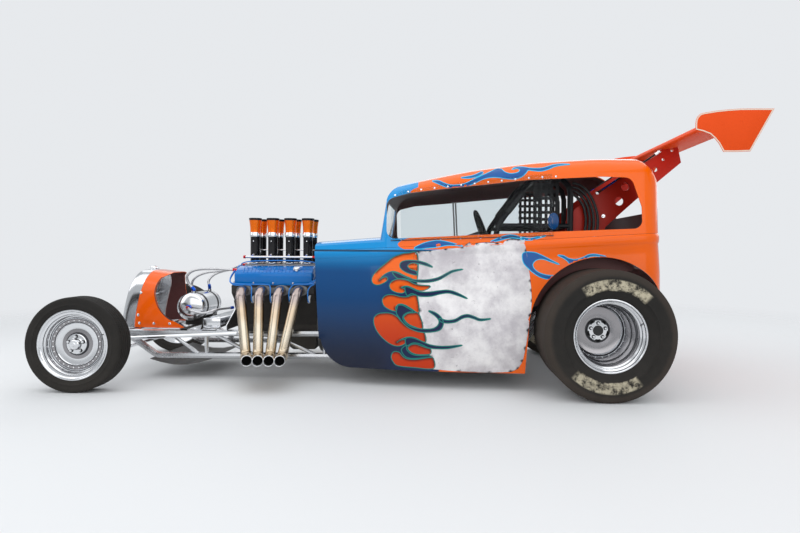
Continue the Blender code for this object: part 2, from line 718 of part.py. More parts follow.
# Chassis: side frames of round tube, cross tubes, roll cage
FRAME_FRONT_X = 1.800
UPPER_RAIL_REAR_X = -1.42
LOWER_RAIL_FRONT_X = 1.590
LOWER_RAIL_REAR_X = -0.74
KICK_UP_X = -1.02
KICK_UP_Z = 0.560
POST_RADIUS = 0.0125
DIAGONAL_RADIUS = 0.0118
POST_XS = (1.27, 0.91, 0.497, 0.05, -0.36)
CROSS_RADIUS = 0.019
CAGE_RADIUS = 0.020
CAGE_Y = 0.262
CAGE_INNER_Y = 0.092
CAGE_TOP_Z = 1.335
CAGE_FOOT_X = -0.50
CAGE_SILL_X = -0.640
CAGE_BAR_Z = 1.015
CAGE_FRONT_TOP_X = -0.86
CAGE_BACK_X = -1.118
CAGE_TOP_BEND = 0.10
CAGE_PAD_THICKNESS = 0.012


def build_frame():
    for name, side in SIDES:
        y = side * FRAME_HALF_WIDTH
        upper = smooth_path([(FRAME_FRONT_X, y, UPPER_RAIL_Z), (LOWER_RAIL_REAR_X, y, UPPER_RAIL_Z),
                             (KICK_UP_X, y, KICK_UP_Z), (UPPER_RAIL_REAR_X, y, KICK_UP_Z)], CAGE_TOP_BEND)
        lower = smooth_path([(FRAME_FRONT_X, y, UPPER_RAIL_Z), (LOWER_RAIL_FRONT_X, y, LOWER_RAIL_Z),
                             (LOWER_RAIL_REAR_X, y, LOWER_RAIL_Z), (KICK_UP_X, y, KICK_UP_Z)], CAGE_TOP_BEND)
        tubes = [tube_mesh("upper_rail", upper, RAIL_RADIUS), tube_mesh("lower_rail", lower, RAIL_RADIUS)]
        for x in POST_XS:
            tubes.append(rod_mesh("post", (x, y, LOWER_RAIL_Z), (x, y, UPPER_RAIL_Z), POST_RADIUS))
        for front, back in zip(POST_XS, POST_XS[1:]):
            tubes.append(rod_mesh("diagonal", (front - POST_RADIUS * 3, y, UPPER_RAIL_Z),
                                  (back + POST_RADIUS * 3, y, LOWER_RAIL_Z), DIAGONAL_RADIUS))
        tubes.append(rod_mesh("front_diagonal", (LOWER_RAIL_FRONT_X - POST_RADIUS * 6, y, UPPER_RAIL_Z),
                              (POST_XS[0] + POST_RADIUS * 3, y, LOWER_RAIL_Z), DIAGONAL_RADIUS))
        fused(f"frame_{name}", tubes, BLACK_PAINT)
    inner = FRAME_HALF_WIDTH - RAIL_RADIUS - SEAT_GAP
    crossings = (
        ("cross_tube_front", FRAME_FRONT_X - RAIL_RADIUS * 2, UPPER_RAIL_Z),
        ("cross_tube_tail", UPPER_RAIL_REAR_X + RAIL_RADIUS * 2, KICK_UP_Z),
    )
    for name, x, z in crossings:
        place(name, rod_mesh(name, (x, -inner, z), (x, inner, z), CROSS_RADIUS, facets=ROUND_FACETS),
              BLACK_PAINT)


def build_cage():
    foot_z = UPPER_RAIL_Z + RAIL_RADIUS + SEAT_GAP
    tubes = []
    pads = []
    for name, side in SIDES:
        y = side * CAGE_Y
        main = smooth_path([
            (CAGE_FOOT_X, side * FRAME_HALF_WIDTH, foot_z + CAGE_PAD_THICKNESS / 2),
            (CAGE_SILL_X, y, CAGE_BAR_Z), (CAGE_FRONT_TOP_X, y, CAGE_TOP_Z),
            (CAGE_BACK_X, y, CAGE_TOP_Z), (CAGE_BACK_X, y, CAGE_LEG_Z)], CAGE_TOP_BEND)
        pad_y = side * FRAME_HALF_WIDTH
        pad = box_mesh("cage_pad", (CAGE_FOOT_X - CAGE_RADIUS * 1.5, pad_y - CAGE_RADIUS * 1.2, foot_z),
                       (CAGE_FOOT_X + CAGE_RADIUS * 1.5, pad_y + CAGE_RADIUS * 1.2,
                        foot_z + CAGE_PAD_THICKNESS))
        pads.append(pad)
        tubes.append(tube_mesh("cage_side", main, CAGE_RADIUS))
        tubes.append(rod_mesh("cage_bar", (CAGE_SILL_X, y, CAGE_BAR_Z), (CAGE_BACK_X, y, CAGE_BAR_Z),
                              CAGE_RADIUS * 0.8))
        y = side * CAGE_INNER_Y
        rib = smooth_path([
            (CAGE_FRONT_TOP_X - CAGE_RADIUS, y, CAGE_TOP_Z), (CAGE_BACK_X, y, CAGE_TOP_Z),
            (CAGE_BACK_X, y, CAGE_BAR_Z)], CAGE_TOP_BEND * 1.3)
        tubes.append(tube_mesh("cage_rib", rib, CAGE_RADIUS * 0.9))
    cross = (
        (CAGE_FRONT_TOP_X - CAGE_RADIUS * 2.5, CAGE_TOP_Z, CAGE_Y),
        (CAGE_BACK_X, CAGE_BAR_Z, CAGE_Y),
        (CAGE_BACK_X, CAGE_LEG_Z, FRAME_HALF_WIDTH + RAIL_RADIUS * 0.5),
    )
    for x, z, reach in cross:
        tubes.append(rod_mesh("cage_cross", (x, -reach, z), (x, reach, z), CAGE_BAR_RADIUS))
    order = [tubes[0], tubes[-1], tubes[-2], tubes[-3]] + tubes[3:4] + tubes[1:3] + tubes[4:-3]
    fused("roll_cage", order + pads, BLACK_PAINT)


CAGE_BAR_RADIUS = CAGE_RADIUS * 0.9
CAGE_LEG_Z = KICK_UP_Z + RAIL_RADIUS + CAGE_BAR_RADIUS + SEAT_GAP
build_frame()
build_cage()


# Engine: a large vee engine, its bores, ports and stacks all on one spacing
BLOCK_LENGTH = 0.560
BLOCK_HALF_WIDTH = 0.115
BLOCK_LOW_Z = 0.300
DECK_Z = 0.560
DECK_Y = 0.205
VALLEY_Z = 0.500
VALLEY_Y = 0.070
HEAD_LENGTH = 0.545
HEAD_LOW_Z = 0.500
HEAD_HIGH_Z = 0.665
HEAD_OUTER_Y = 0.268
COVER_RISE = 0.085
COVER_LENGTH = 0.549
MANIFOLD_HALF_WIDTH = 0.100
MANIFOLD_TOP_Z = 0.745
STACK_Y = 0.070
STACK_BODY_RADIUS = 0.031
STACK_RING_Z = 0.935
STACK_RING_TOP_Z = 0.967
STACK_RING_RADIUS = 0.036
STACK_TOP_Z = 1.066
STACK_FLARE_RADIUS = 0.043
STACK_WALL = 0.003
PAN_DEPTH = 0.150
PAN_HALF_WIDTH = 0.100
BELL_RADIUS = 0.200
BELL_LENGTH = 0.190
GEARBOX_RADIUS = 0.115
GEARBOX_LENGTH = 0.520
HEADER_RADIUS = 0.032
HEADER_FLANGE = 0.010
PORT_Z = 0.575
HEADER_OUT_Y = 0.420
HEADER_LOW_Z = 0.165
HEADER_MOUTH_Y = 0.680
HEADER_REACH = 0.160
HEADER_SPREAD = 0.52
MAG_RADIUS = 0.048
MAG_HEIGHT = 0.150
PULLEY_RADIUS = 0.075
PULLEY_DEPTH = 0.045
PUMP_RADIUS = 0.055
PLATE_THICKNESS = 0.006


def bore_x(i):
    """Places of the four bores of a bank, from the front."""
    return ENGINE_X + BORE_SPACING * (1.5 - i)


def build_engine():
    front = ENGINE_X + BLOCK_LENGTH / 2
    rear = ENGINE_X - BLOCK_LENGTH / 2
    outline = [
        (-BLOCK_HALF_WIDTH, BLOCK_LOW_Z), (BLOCK_HALF_WIDTH, BLOCK_LOW_Z), (BLOCK_HALF_WIDTH, CRANK_Z),
        (DECK_Y, HEAD_LOW_Z), (VALLEY_Y, DECK_Z), (VALLEY_Y - PLATE_THICKNESS, VALLEY_Z),
        (-VALLEY_Y + PLATE_THICKNESS, VALLEY_Z), (-VALLEY_Y, DECK_Z), (-DECK_Y, HEAD_LOW_Z),
        (-BLOCK_HALF_WIDTH, CRANK_Z)]
    block = place("engine_block", plate_mesh("engine_block", outline, rear, front, "X"), ENGINE_BLUE)

    half = HEAD_LENGTH / 2
    lift = SEAT_GAP * 2
    for name, side in SIDES:
        deck = Vector((VALLEY_Y - DECK_Y, DECK_Z - HEAD_LOW_Z)).normalized()
        up = Vector((deck.y, -deck.x))
        low = Vector((DECK_Y, HEAD_LOW_Z)) - up * PLATE_THICKNESS
        high = Vector((VALLEY_Y, DECK_Z)) - up * PLATE_THICKNESS
        rise = HEAD_HIGH_Z - DECK_Z
        outline = [low, low + Vector((HEAD_OUTER_Y - DECK_Y, HEAD_OUTER_Y - DECK_Y)) * 0.98,
                   (HEAD_OUTER_Y, HEAD_LOW_Z + rise), high + Vector((0, rise)), high]
        outline = [(side * a, b) for a, b in outline]
        combine(block, [plate_mesh("cylinder_head", outline, ENGINE_X - half, ENGINE_X + half, "X")])

        # Rocker cover: a box with a raised, rounded back, seated on the head's sloping top
        seat_low = Vector((HEAD_OUTER_Y, HEAD_LOW_Z + rise + lift))
        seat_high = high + Vector((0, rise + lift))
        slope = (seat_high - seat_low).normalized()
        square = Vector((slope.y, -slope.x))
        width = (seat_high - seat_low).length
        inset = width * 0.06
        rail = width * 0.10
        outline = [seat_low + slope * inset, seat_low + slope * inset + square * rail,
                   seat_low + slope * inset * 2 + square * COVER_RISE,
                   seat_high - slope * inset * 3 + square * (COVER_RISE + inset),
                   seat_high - slope * inset + square * rail, seat_high - slope * inset]
        outline = rounded_outline([(side * a, b) for a, b in outline], inset / 3, 2)
        half_cover = COVER_LENGTH / 2
        place(f"valve_cover_{name}",
              plate_mesh("valve_cover", outline, ENGINE_X - half_cover, ENGINE_X + half_cover, "X"),
              ENGINE_BLUE)

    # Intake: a valley plate with runners under the eight stacks
    low = VALLEY_Z + SEAT_GAP
    throat = VALLEY_Y - PLATE_THICKNESS * 2
    outline = [(-throat, low), (throat, low), (throat, DECK_Z),
               (throat, MANIFOLD_NECK_Z), (MANIFOLD_HALF_WIDTH, MANIFOLD_TOP_Z - PLATE_THICKNESS * 2),
               (MANIFOLD_HALF_WIDTH, MANIFOLD_TOP_Z), (-MANIFOLD_HALF_WIDTH, MANIFOLD_TOP_Z),
               (-MANIFOLD_HALF_WIDTH, MANIFOLD_TOP_Z - PLATE_THICKNESS * 2), (-throat, MANIFOLD_NECK_Z),
               (-throat, DECK_Z)]
    reach = BORE_SPACING * 2
    place("intake_manifold", plate_mesh("intake_manifold", outline, ENGINE_X - reach, ENGINE_X + reach,
                                        "X"), GREY_METAL)

    # Injector stacks: body, bright ring and flared trumpet, hollow from the mouth, on a shared foot
    for name, side in SIDES:
        foot_low = MANIFOLD_TOP_Z + SEAT_GAP
        foot_high = foot_low + PLATE_THICKNESS
        near, far = sorted((side * (STACK_Y - STACK_BODY_RADIUS + STACK_WALL),
                            side * (STACK_Y + STACK_BODY_RADIUS - STACK_WALL)))
        foot = box_mesh("stack_foot", (bore_x(3) - STACK_BODY_RADIUS, near, foot_low),
                        (bore_x(0) + STACK_BODY_RADIUS, far, foot_high))
        stacks = []
        throat_radius = STACK_BODY_RADIUS - STACK_WALL * 2
        for i in range(4):
            profile = [
                (0, STACK_RING_Z), (throat_radius, STACK_RING_Z),
                (STACK_FLARE_RADIUS - STACK_WALL, STACK_TOP_Z), (STACK_FLARE_RADIUS, STACK_TOP_Z),
                (STACK_RING_RADIUS, STACK_RING_TOP_Z), (STACK_RING_RADIUS, STACK_RING_Z),
                (STACK_BODY_RADIUS, foot_low + PLATE_THICKNESS / 2), (0, foot_low + PLATE_THICKNESS / 2)]
            stacks.append(turned(f"stack_{name}_{i}", profile, ROUND_FACETS,
                                 matrix=at(bore_x(i), side * STACK_Y, 0), tool=True))
        combine(place(f"injector_stacks_{name}", foot, BLACK_PAINT), stacks)

    # Sump, bell housing and gearbox, one behind the other
    low = BLOCK_LOW_Z + PLATE_THICKNESS
    outline = [(front - PLATE_THICKNESS * 2, low), (front - PLATE_THICKNESS * 2, low - PAN_DEPTH / 3),
               (ENGINE_X, low - PAN_DEPTH / 2), (ENGINE_X - BLOCK_LENGTH / 6, low - PAN_DEPTH),
               (rear + PLATE_THICKNESS * 6, low - PAN_DEPTH), (rear + PLATE_THICKNESS * 2, low)]
    combine(block, [plate_mesh("oil_pan", outline, -PAN_HALF_WIDTH, PAN_HALF_WIDTH)])
    bell_x = rear - SEAT_GAP
    bell = rod_mesh("gearbox", (bell_x, 0, CRANK_Z), (bell_x - BELL_LENGTH, 0, CRANK_Z),
                    BELL_RADIUS, GEARBOX_RADIUS, DISC_FACETS)
    box_x = bell_x - BELL_LENGTH + PLATE_THICKNESS
    case = rod_mesh("gearbox_case", (box_x, 0, CRANK_Z), (box_x - GEARBOX_LENGTH, 0, CRANK_Z),
                    GEARBOX_RADIUS * 0.96, GEARBOX_RADIUS * 0.7, ROUND_FACETS)
    fused("gearbox", [bell, case], GREY_METAL)

    # Front drive: damper pulley and water pump body on the block's front face
    nose = front + PLATE_THICKNESS + SEAT_GAP * 2
    pulley = turned("pulley", [(0, PULLEY_DEPTH), (PULLEY_RADIUS, PULLEY_DEPTH),
                               (PULLEY_RADIUS, PULLEY_DEPTH * 0.7),
                               (PULLEY_RADIUS * 0.85, PULLEY_DEPTH * 0.5),
                               (PULLEY_RADIUS, PULLEY_DEPTH * 0.3),
                               (PULLEY_RADIUS, 0), (0, 0)], DISC_FACETS,
                    matrix=at(nose, 0, CRANK_Z + PULLEY_RADIUS * 0.4) @ Matrix.Rotation(math.pi / 2, 4,
                                                                                        "Y"), tool=True)
    pump = box_mesh("pump_body", (nose, -PUMP_RADIUS, CRANK_Z + PULLEY_RADIUS), (nose + PULLEY_DEPTH * 0.5,
                                                                                 PUMP_RADIUS,
                                                                                 HEAD_LOW_Z - PLATE_THICKNESS))
    combine(place("front_drive", pump, POLISHED), [pulley])

    # Magneto standing on the manifold's front end
    mag_x = ENGINE_X + reach + SEAT_GAP + MAG_RADIUS
    low = VALLEY_Z + SEAT_GAP * 2
    profile = [(0, MAG_TOP_Z), (MAG_RADIUS * 0.7, MAG_TOP_Z), (MAG_RADIUS * 0.95,
                                                               MAG_TOP_Z - MAG_RADIUS * 0.5),
               (MAG_RADIUS * 0.95, MAG_TOP_Z - MAG_HEIGHT), (MAG_RADIUS * 0.45, MAG_TOP_Z - MAG_HEIGHT * 1.1),
               (MAG_RADIUS * 0.45, low), (0, low)]
    turned("magneto", profile, ROUND_FACETS, BLACK_PAINT, at(mag_x, 0, 0))

    # Exhaust headers: four tubes a side from one flange, down, out and turned back, open at the mouth
    for name, side in SIDES:
        flange_y = HEAD_OUTER_Y + SEAT_GAP
        low_y, high_y = sorted((side * flange_y, side * (flange_y + HEADER_FLANGE)))
        flange = box_mesh("header_flange", (bore_x(3) - HEADER_RADIUS * 1.2, low_y,
                                            PORT_Z - HEADER_RADIUS * 1.15),
                          (bore_x(0) + HEADER_RADIUS * 1.2, high_y, PORT_Z + HEADER_RADIUS * 1.15))
        tubes = []
        bores = []
        for i in range(4):
            x = bore_x(i)
            low_x = mix(ENGINE_X, x, HEADER_SPREAD) + HEADER_LOW_SHIFT
            mouth_x = low_x - HEADER_REACH * 0.5
            path = smooth_path([
                (x, side * (flange_y + HEADER_FLANGE / 2), PORT_Z),
                (x, side * (flange_y + HEADER_RADIUS * 2.2), PORT_Z),
                (low_x + (x - low_x) * 0.2, side * HEADER_OUT_Y, HEADER_LOW_Z),
                (mouth_x, side * HEADER_MOUTH_Y, HEADER_MOUTH_Z)], HEADER_BEND)
            tubes.append(tube_mesh("header_tube", path, HEADER_RADIUS, 2))
            tip = path[-1]
            run = (path[-1] - path[-2]).normalized()
            bores.append(rod_mesh("header_bore", tip - run * HEADER_RADIUS * 2.5, tip + run * HEADER_RADIUS,
                                  HEADER_RADIUS * 0.93, facets=TUBE_FACETS))
        header = place(f"header_{name}", flange, HEADER_STEEL)
        combine(header, tubes)
        combine(header, bores, "DIFFERENCE")


MANIFOLD_NECK_Z = 0.700
MAG_TOP_Z = 0.720
HEADER_MOUTH_Z = 0.195
HEADER_LOW_SHIFT = 0.005
HEADER_BEND = 0.055
build_engine()


# Wheels. A profile holds (radius, distance outboard of the wheel's middle plane)
RIM_15_RADIUS = 0.1905
RIM_15_FLANGE = 0.207
FRONT_RIM_HALF_WIDTH = 0.057
FRONT_DISC_OUT = 0.006
FRONT_HUB_RADIUS = 0.036
FRONT_HUB_OUT = 0.050
FRONT_TREAD_HALF = 0.046
REAR_RIM_HALF_WIDTH = 0.145
REAR_RIM_FLANGE = 0.208
REAR_DISC_OUT = -0.100
REAR_HUB_RADIUS = 0.048
REAR_TREAD_HALF = 0.148
RIM_WALL = 0.005
BEAD_GAP = 0.0004
SPINDLE_RADIUS = 0.0150
SPINDLE_GAP = 0.0006
REAR_SPINDLE_RADIUS = 0.0200


def tyre_profile(radius, half_width, tread_half, bead_radius, bead_half):
    """A closed section: tread, shoulders, bulged sidewalls, beads and the hollow inside."""
    wall = radius - bead_radius
    thick = wall * 0.13
    left = [
        (radius, tread_half), (radius - wall * 0.20, half_width * 0.96), (radius - wall * 0.50, half_width),
        (bead_radius + wall * 0.20, half_width * 0.95), (bead_radius, bead_half),
        (bead_radius, bead_half - thick),
        (radius - wall * 0.36, half_width - thick)]
    return [(r, -w) for r, w in left] + list(reversed(left))


def rim_profile(half_width, flange, disc_out, hub_radius, hub_out, bore_radius, bore_end):
    """A closed section of the rim with its disc and hub, with a blind bore for the spindle from inboard."""
    seat = RIM_15_RADIUS - BEAD_GAP
    well = seat - RIM_WALL * 3
    return [
        (0, hub_out), (hub_radius, hub_out), (hub_radius, disc_out + RIM_WALL), (well - RIM_WALL,
                                                                                 disc_out + RIM_WALL),
        (flange - RIM_WALL, half_width), (flange, half_width), (seat, half_width - RIM_WALL * 1.6),
        (seat, -half_width + RIM_WALL * 1.6), (flange, -half_width), (flange - RIM_WALL, -half_width),
        (well - RIM_WALL, disc_out), (hub_radius, disc_out), (hub_radius, disc_out - RIM_WALL * 4),
        (bore_radius, disc_out - RIM_WALL * 4), (bore_radius, bore_end), (0, bore_end)]


def build_wheels():
    for name, side in SIDES:
        # The lathe's axis points outboard
        turn = Matrix.Rotation(-side * math.pi / 2, 4, "X")
        drop = math.cos(math.pi / WHEEL_FACETS)
        spot = at(FRONT_AXLE_X, side * FRONT_WHEEL_Y, FRONT_TYRE_RADIUS * drop) @ turn
        turned(f"front_tyre_{name}",
               tyre_profile(FRONT_TYRE_RADIUS, FRONT_TYRE_WIDTH / 2, FRONT_TREAD_HALF, RIM_15_RADIUS,
                            FRONT_RIM_HALF_WIDTH - RIM_WALL * 1.6 - BEAD_GAP),
               WHEEL_FACETS, TYRE_RUBBER, spot, closed=True)
        turned(f"front_rim_{name}",
               rim_profile(FRONT_RIM_HALF_WIDTH, RIM_15_FLANGE, FRONT_DISC_OUT, FRONT_HUB_RADIUS,
                           FRONT_HUB_OUT,
                           SPINDLE_RADIUS + SPINDLE_GAP, FRONT_HUB_OUT - RIM_WALL * 2),
               WHEEL_FACETS, POLISHED, spot)
        drop = math.cos(math.pi / SLICK_FACETS)
        spot = at(REAR_AXLE_X, side * REAR_WHEEL_Y, REAR_TYRE_RADIUS * drop) @ turn
        turned(f"rear_tyre_{name}",
               tyre_profile(REAR_TYRE_RADIUS, REAR_TYRE_WIDTH / 2, REAR_TREAD_HALF, RIM_15_RADIUS,
                            REAR_RIM_HALF_WIDTH - RIM_WALL * 1.6 - BEAD_GAP),
               SLICK_FACETS, TYRE_RUBBER, spot, closed=True)
        turned(f"rear_rim_{name}",
               rim_profile(REAR_RIM_HALF_WIDTH, REAR_RIM_FLANGE, REAR_DISC_OUT, REAR_HUB_RADIUS,
                           REAR_DISC_OUT + RIM_WALL * 3, REAR_SPINDLE_RADIUS + SPINDLE_GAP,
                           REAR_DISC_OUT - RIM_WALL),
               SLICK_FACETS, POLISHED, spot)


# Front axle, kingpins, steering and rear axle
FRONT_AXLE_Z = FRONT_TYRE_RADIUS * math.cos(math.pi / WHEEL_FACETS)
REAR_AXLE_Z = REAR_TYRE_RADIUS * math.cos(math.pi / SLICK_FACETS)
KINGPIN_Y = 0.500
AXLE_RADIUS = 0.025
KINGPIN_HALF_HEIGHT = 0.060
KNUCKLE_CLEARANCE = 0.005
KNUCKLE_RADIUS = 0.021
PIN_RADIUS = 0.010
PIN_GAP = 0.0006
ARM_REACH = 0.130
ARM_IN = 0.030
ARM_THICKNESS = 0.012
ARM_DROP = 0.012
ARM_BOSS_RADIUS = 0.013
TIE_ROD_RADIUS = 0.010
TIE_EYE_RADIUS = 0.014
RADIUS_ROD_RADIUS = 0.012
RADIUS_ROD_AXLE_Y = 0.385
RADIUS_ROD_REAR_X = 1.060
AXLE_TUBE_RADIUS = 0.040
DIFF_RADIUS = 0.150
DIFF_WIDTH = 0.220
STEERING_WHEEL_X = -0.560
STEERING_WHEEL_Z = 0.985
STEERING_WHEEL_RADIUS = 0.150
STEERING_RIM_RADIUS = 0.012
COLUMN_RAKE = 0.35
COLUMN_RADIUS = 0.0125
COLUMN_FRONT_X = FIREWALL_X - FIREWALL_THICKNESS - SEAT_GAP - COLUMN_RADIUS * math.sin(COLUMN_RAKE)
HANGER_THICKNESS = 0.008
HANGER_HALF_LENGTH = 0.045


def build_front_axle():
    z = FRONT_AXLE_Z
    end = KINGPIN_Y
    beam = rod_mesh("front_axle", (FRONT_AXLE_X, -end + KNUCKLE_RADIUS * 0.6, z),
                    (FRONT_AXLE_X, end - KNUCKLE_RADIUS * 0.6, z), AXLE_RADIUS, facets=ROUND_FACETS)
    bosses = [rod_mesh("kingpin_boss", (FRONT_AXLE_X, s * end, z - KINGPIN_HALF_HEIGHT / 2),
                       (FRONT_AXLE_X, s * end, z + KINGPIN_HALF_HEIGHT / 2), KNUCKLE_RADIUS,
                       facets=ROUND_FACETS)
              for name, s in SIDES]
    brackets = [box_mesh("rod_bracket", (FRONT_AXLE_X - AXLE_RADIUS * 2.2,
                                         s * RADIUS_ROD_AXLE_Y - PIN_RADIUS, z - AXLE_RADIUS * 2),
                         (FRONT_AXLE_X, s * RADIUS_ROD_AXLE_Y + PIN_RADIUS,
                          z + AXLE_RADIUS * 1.4)) for name, s in SIDES]
    holes = [rod_mesh("kingpin_hole", (FRONT_AXLE_X, s * end, z - KINGPIN_HALF_HEIGHT),
                      (FRONT_AXLE_X, s * end, z + KINGPIN_HALF_HEIGHT), PIN_RADIUS + PIN_GAP,
                      facets=ROUND_FACETS)
             for name, s in SIDES]
    axle = place("front_axle", beam, CHROME)
    combine(axle, bosses + brackets)
    combine(axle, holes, "DIFFERENCE")

    for name, side in SIDES:
        # Knuckle: a fork over the boss, its pin, the spindle into the wheel and the steering arm
        top = KINGPIN_HALF_HEIGHT / 2 + KNUCKLE_CLEARANCE / 5
        origin = Vector((FRONT_AXLE_X, side * end, z))
        ears = [rod_mesh("knuckle_ear", (0, 0, s * top), (0, 0, s * (top + ARM_THICKNESS)), KNUCKLE_RADIUS,
                         facets=ROUND_FACETS) for s in (1, -1)]
        back = side * (KNUCKLE_RADIUS + KNUCKLE_CLEARANCE)
        low_y, high_y = sorted((back, back + side * ARM_THICKNESS))
        web = box_mesh("knuckle_web", (-KNUCKLE_RADIUS * 0.8, low_y, -top - ARM_THICKNESS),
                       (KNUCKLE_RADIUS * 0.8, high_y, top + ARM_THICKNESS))
        bridges = []
        for s in (1, -1):
            low_z, high_z = sorted((s * (top + PIN_GAP), s * (top + ARM_THICKNESS - PIN_GAP)))
            a, b = sorted((0, back + side * ARM_THICKNESS / 2))
            bridges.append(box_mesh("knuckle_bridge", (-KNUCKLE_RADIUS * 0.8, a, low_z),
                                    (KNUCKLE_RADIUS * 0.8, b, high_z)))
        pin = rod_mesh("kingpin", (0, 0, -top - ARM_THICKNESS / 2), (0, 0, top + ARM_THICKNESS / 2),
                       PIN_RADIUS,
                       facets=ROUND_FACETS)
        reach = FRONT_WHEEL_Y + FRONT_HUB_OUT - RIM_WALL * 4 - KINGPIN_Y
        spindle = rod_mesh("spindle", (0, back + side * ARM_THICKNESS / 2, 0), (0, side * reach, 0),
                           SPINDLE_RADIUS,
                           facets=ROUND_FACETS)
        low_z, high_z = -top - ARM_THICKNESS + PIN_GAP * 2, -top - PIN_GAP * 2
        arm = plate_mesh("steering_arm", [(side * a, b) for a, b in (
            (-PIN_RADIUS, 0), (PIN_RADIUS, 0), (PIN_RADIUS - ARM_IN, -ARM_REACH - PIN_RADIUS),
            (-PIN_RADIUS - ARM_IN, -ARM_REACH - PIN_RADIUS))], low_z, high_z, "Z")
        for vertex in arm.vertices:
            vertex.co.x, vertex.co.y = vertex.co.y, vertex.co.x
        arm.flip_normals()
        end_y = -side * ARM_IN
        boss = rod_mesh("arm_boss", (-ARM_REACH, end_y, low_z - ARM_DROP), (-ARM_REACH, end_y,
                                                                            high_z - PIN_GAP),
                        ARM_BOSS_RADIUS, facets=ROUND_FACETS)
        knuckle = place(f"knuckle_{name}", web, CHROME, at(*origin))
        others = []
        for mesh in [*bridges, *ears, pin, spindle, arm, boss]:
            others.append(place(f"{mesh.name}_{name}", mesh, matrix=at(*origin), tool=True))
        combine(knuckle, others)

    # Tie rod under the bosses of the arms, joined at the left one, its right eye open
    arm_low = z - KINGPIN_HALF_HEIGHT / 2 - KNUCKLE_CLEARANCE / 5 - ARM_THICKNESS + PIN_GAP * 2 - ARM_DROP
    eye_z = arm_low - SEAT_GAP - TIE_EYE_RADIUS
    x = FRONT_AXLE_X - ARM_REACH
    left_y = KINGPIN_Y - ARM_IN
    rod = rod_mesh("tie_rod", (0, 0, 0), (0, -2 * left_y, 0), TIE_ROD_RADIUS, facets=TUBE_FACETS)
    tie = place("tie_rod", rod, CHROME, at(x, left_y, eye_z))
    eyes = [place(f"tie_eye_{i}", rod_mesh("tie_eye", (0, y, -TIE_EYE_RADIUS), (0, y, TIE_EYE_RADIUS),
                                           TIE_EYE_RADIUS, facets=ROUND_FACETS), matrix=at(x, left_y,
                                                                                           eye_z), tool=True)
            for i, y in enumerate((0, -2 * left_y))]
    combine(tie, eyes)

    for name, side in SIDES:
        start = (FRONT_AXLE_X - AXLE_RADIUS * 1.6, side * RADIUS_ROD_AXLE_Y, z - PIN_RADIUS)
        inner = FRAME_HALF_WIDTH + RAIL_RADIUS + RADIUS_ROD_RADIUS * math.cos(math.pi / TUBE_FACETS) + SEAT_GAP
        finish = (RADIUS_ROD_REAR_X, side * inner, UPPER_RAIL_Z)
        combine(axle, [rod_mesh(f"radius_rod_{name}", start, finish, RADIUS_ROD_RADIUS)])


def build_rear_axle():
    z = REAR_AXLE_Z
    inboard = REAR_WHEEL_Y + REAR_DISC_OUT - RIM_WALL * 4 - KNUCKLE_CLEARANCE
    tube = rod_mesh("rear_axle", (REAR_AXLE_X, -inboard, z), (REAR_AXLE_X, inboard, z), AXLE_TUBE_RADIUS,
                    facets=ROUND_FACETS)
    tip = REAR_WHEEL_Y + REAR_DISC_OUT - RIM_WALL * 2.5
    stub = rod_mesh("rear_spindle", (REAR_AXLE_X, -tip, z), (REAR_AXLE_X, tip, z), REAR_SPINDLE_RADIUS,
                    facets=ROUND_FACETS)
    diff = turned("differential", [(0, DIFF_WIDTH / 2), (DIFF_RADIUS * 0.5, DIFF_WIDTH / 2),
                                   (DIFF_RADIUS, DIFF_WIDTH / 6),
                                   (DIFF_RADIUS, -DIFF_WIDTH / 6), (DIFF_RADIUS * 0.5, -DIFF_WIDTH / 2),
                                   (0, -DIFF_WIDTH / 2)],
                  ROUND_FACETS, matrix=at(REAR_AXLE_X, 0, z) @ Matrix.Rotation(-math.pi / 2, 4, "X"),
                  tool=True)
    pinion_x = REAR_AXLE_X + DIFF_RADIUS * 1.3
    pinion = rod_mesh("pinion_housing", (REAR_AXLE_X, 0, CRANK_Z), (pinion_x, 0, CRANK_Z),
                      AXLE_TUBE_RADIUS * 1.4,
                      facets=ROUND_FACETS)
    hangers = []
    for name, side in SIDES:
        y = side * FRAME_HALF_WIDTH
        low_y, high_y = sorted((y - HANGER_THICKNESS / 2, y + HANGER_THICKNESS / 2))
        hangers.append(box_mesh(f"hanger_{name}", (REAR_AXLE_X - HANGER_HALF_LENGTH, low_y, z),
                                (REAR_AXLE_X + HANGER_HALF_LENGTH, high_y,
                                 KICK_UP_Z - RAIL_RADIUS - SEAT_GAP)))
    combine(place("rear_axle", tube, GREY_METAL), [stub, diff, pinion, *hangers])
    gearbox_end = ENGINE_X - BLOCK_LENGTH / 2 - BELL_LENGTH + PLATE_THICKNESS - GEARBOX_LENGTH - SEAT_GAP * 2
    place("driveshaft", rod_mesh("driveshaft", (gearbox_end, 0, CRANK_Z), (pinion_x + SEAT_GAP, 0, CRANK_Z),
                                 AXLE_TUBE_RADIUS,
                                 facets=ROUND_FACETS), GREY_METAL)


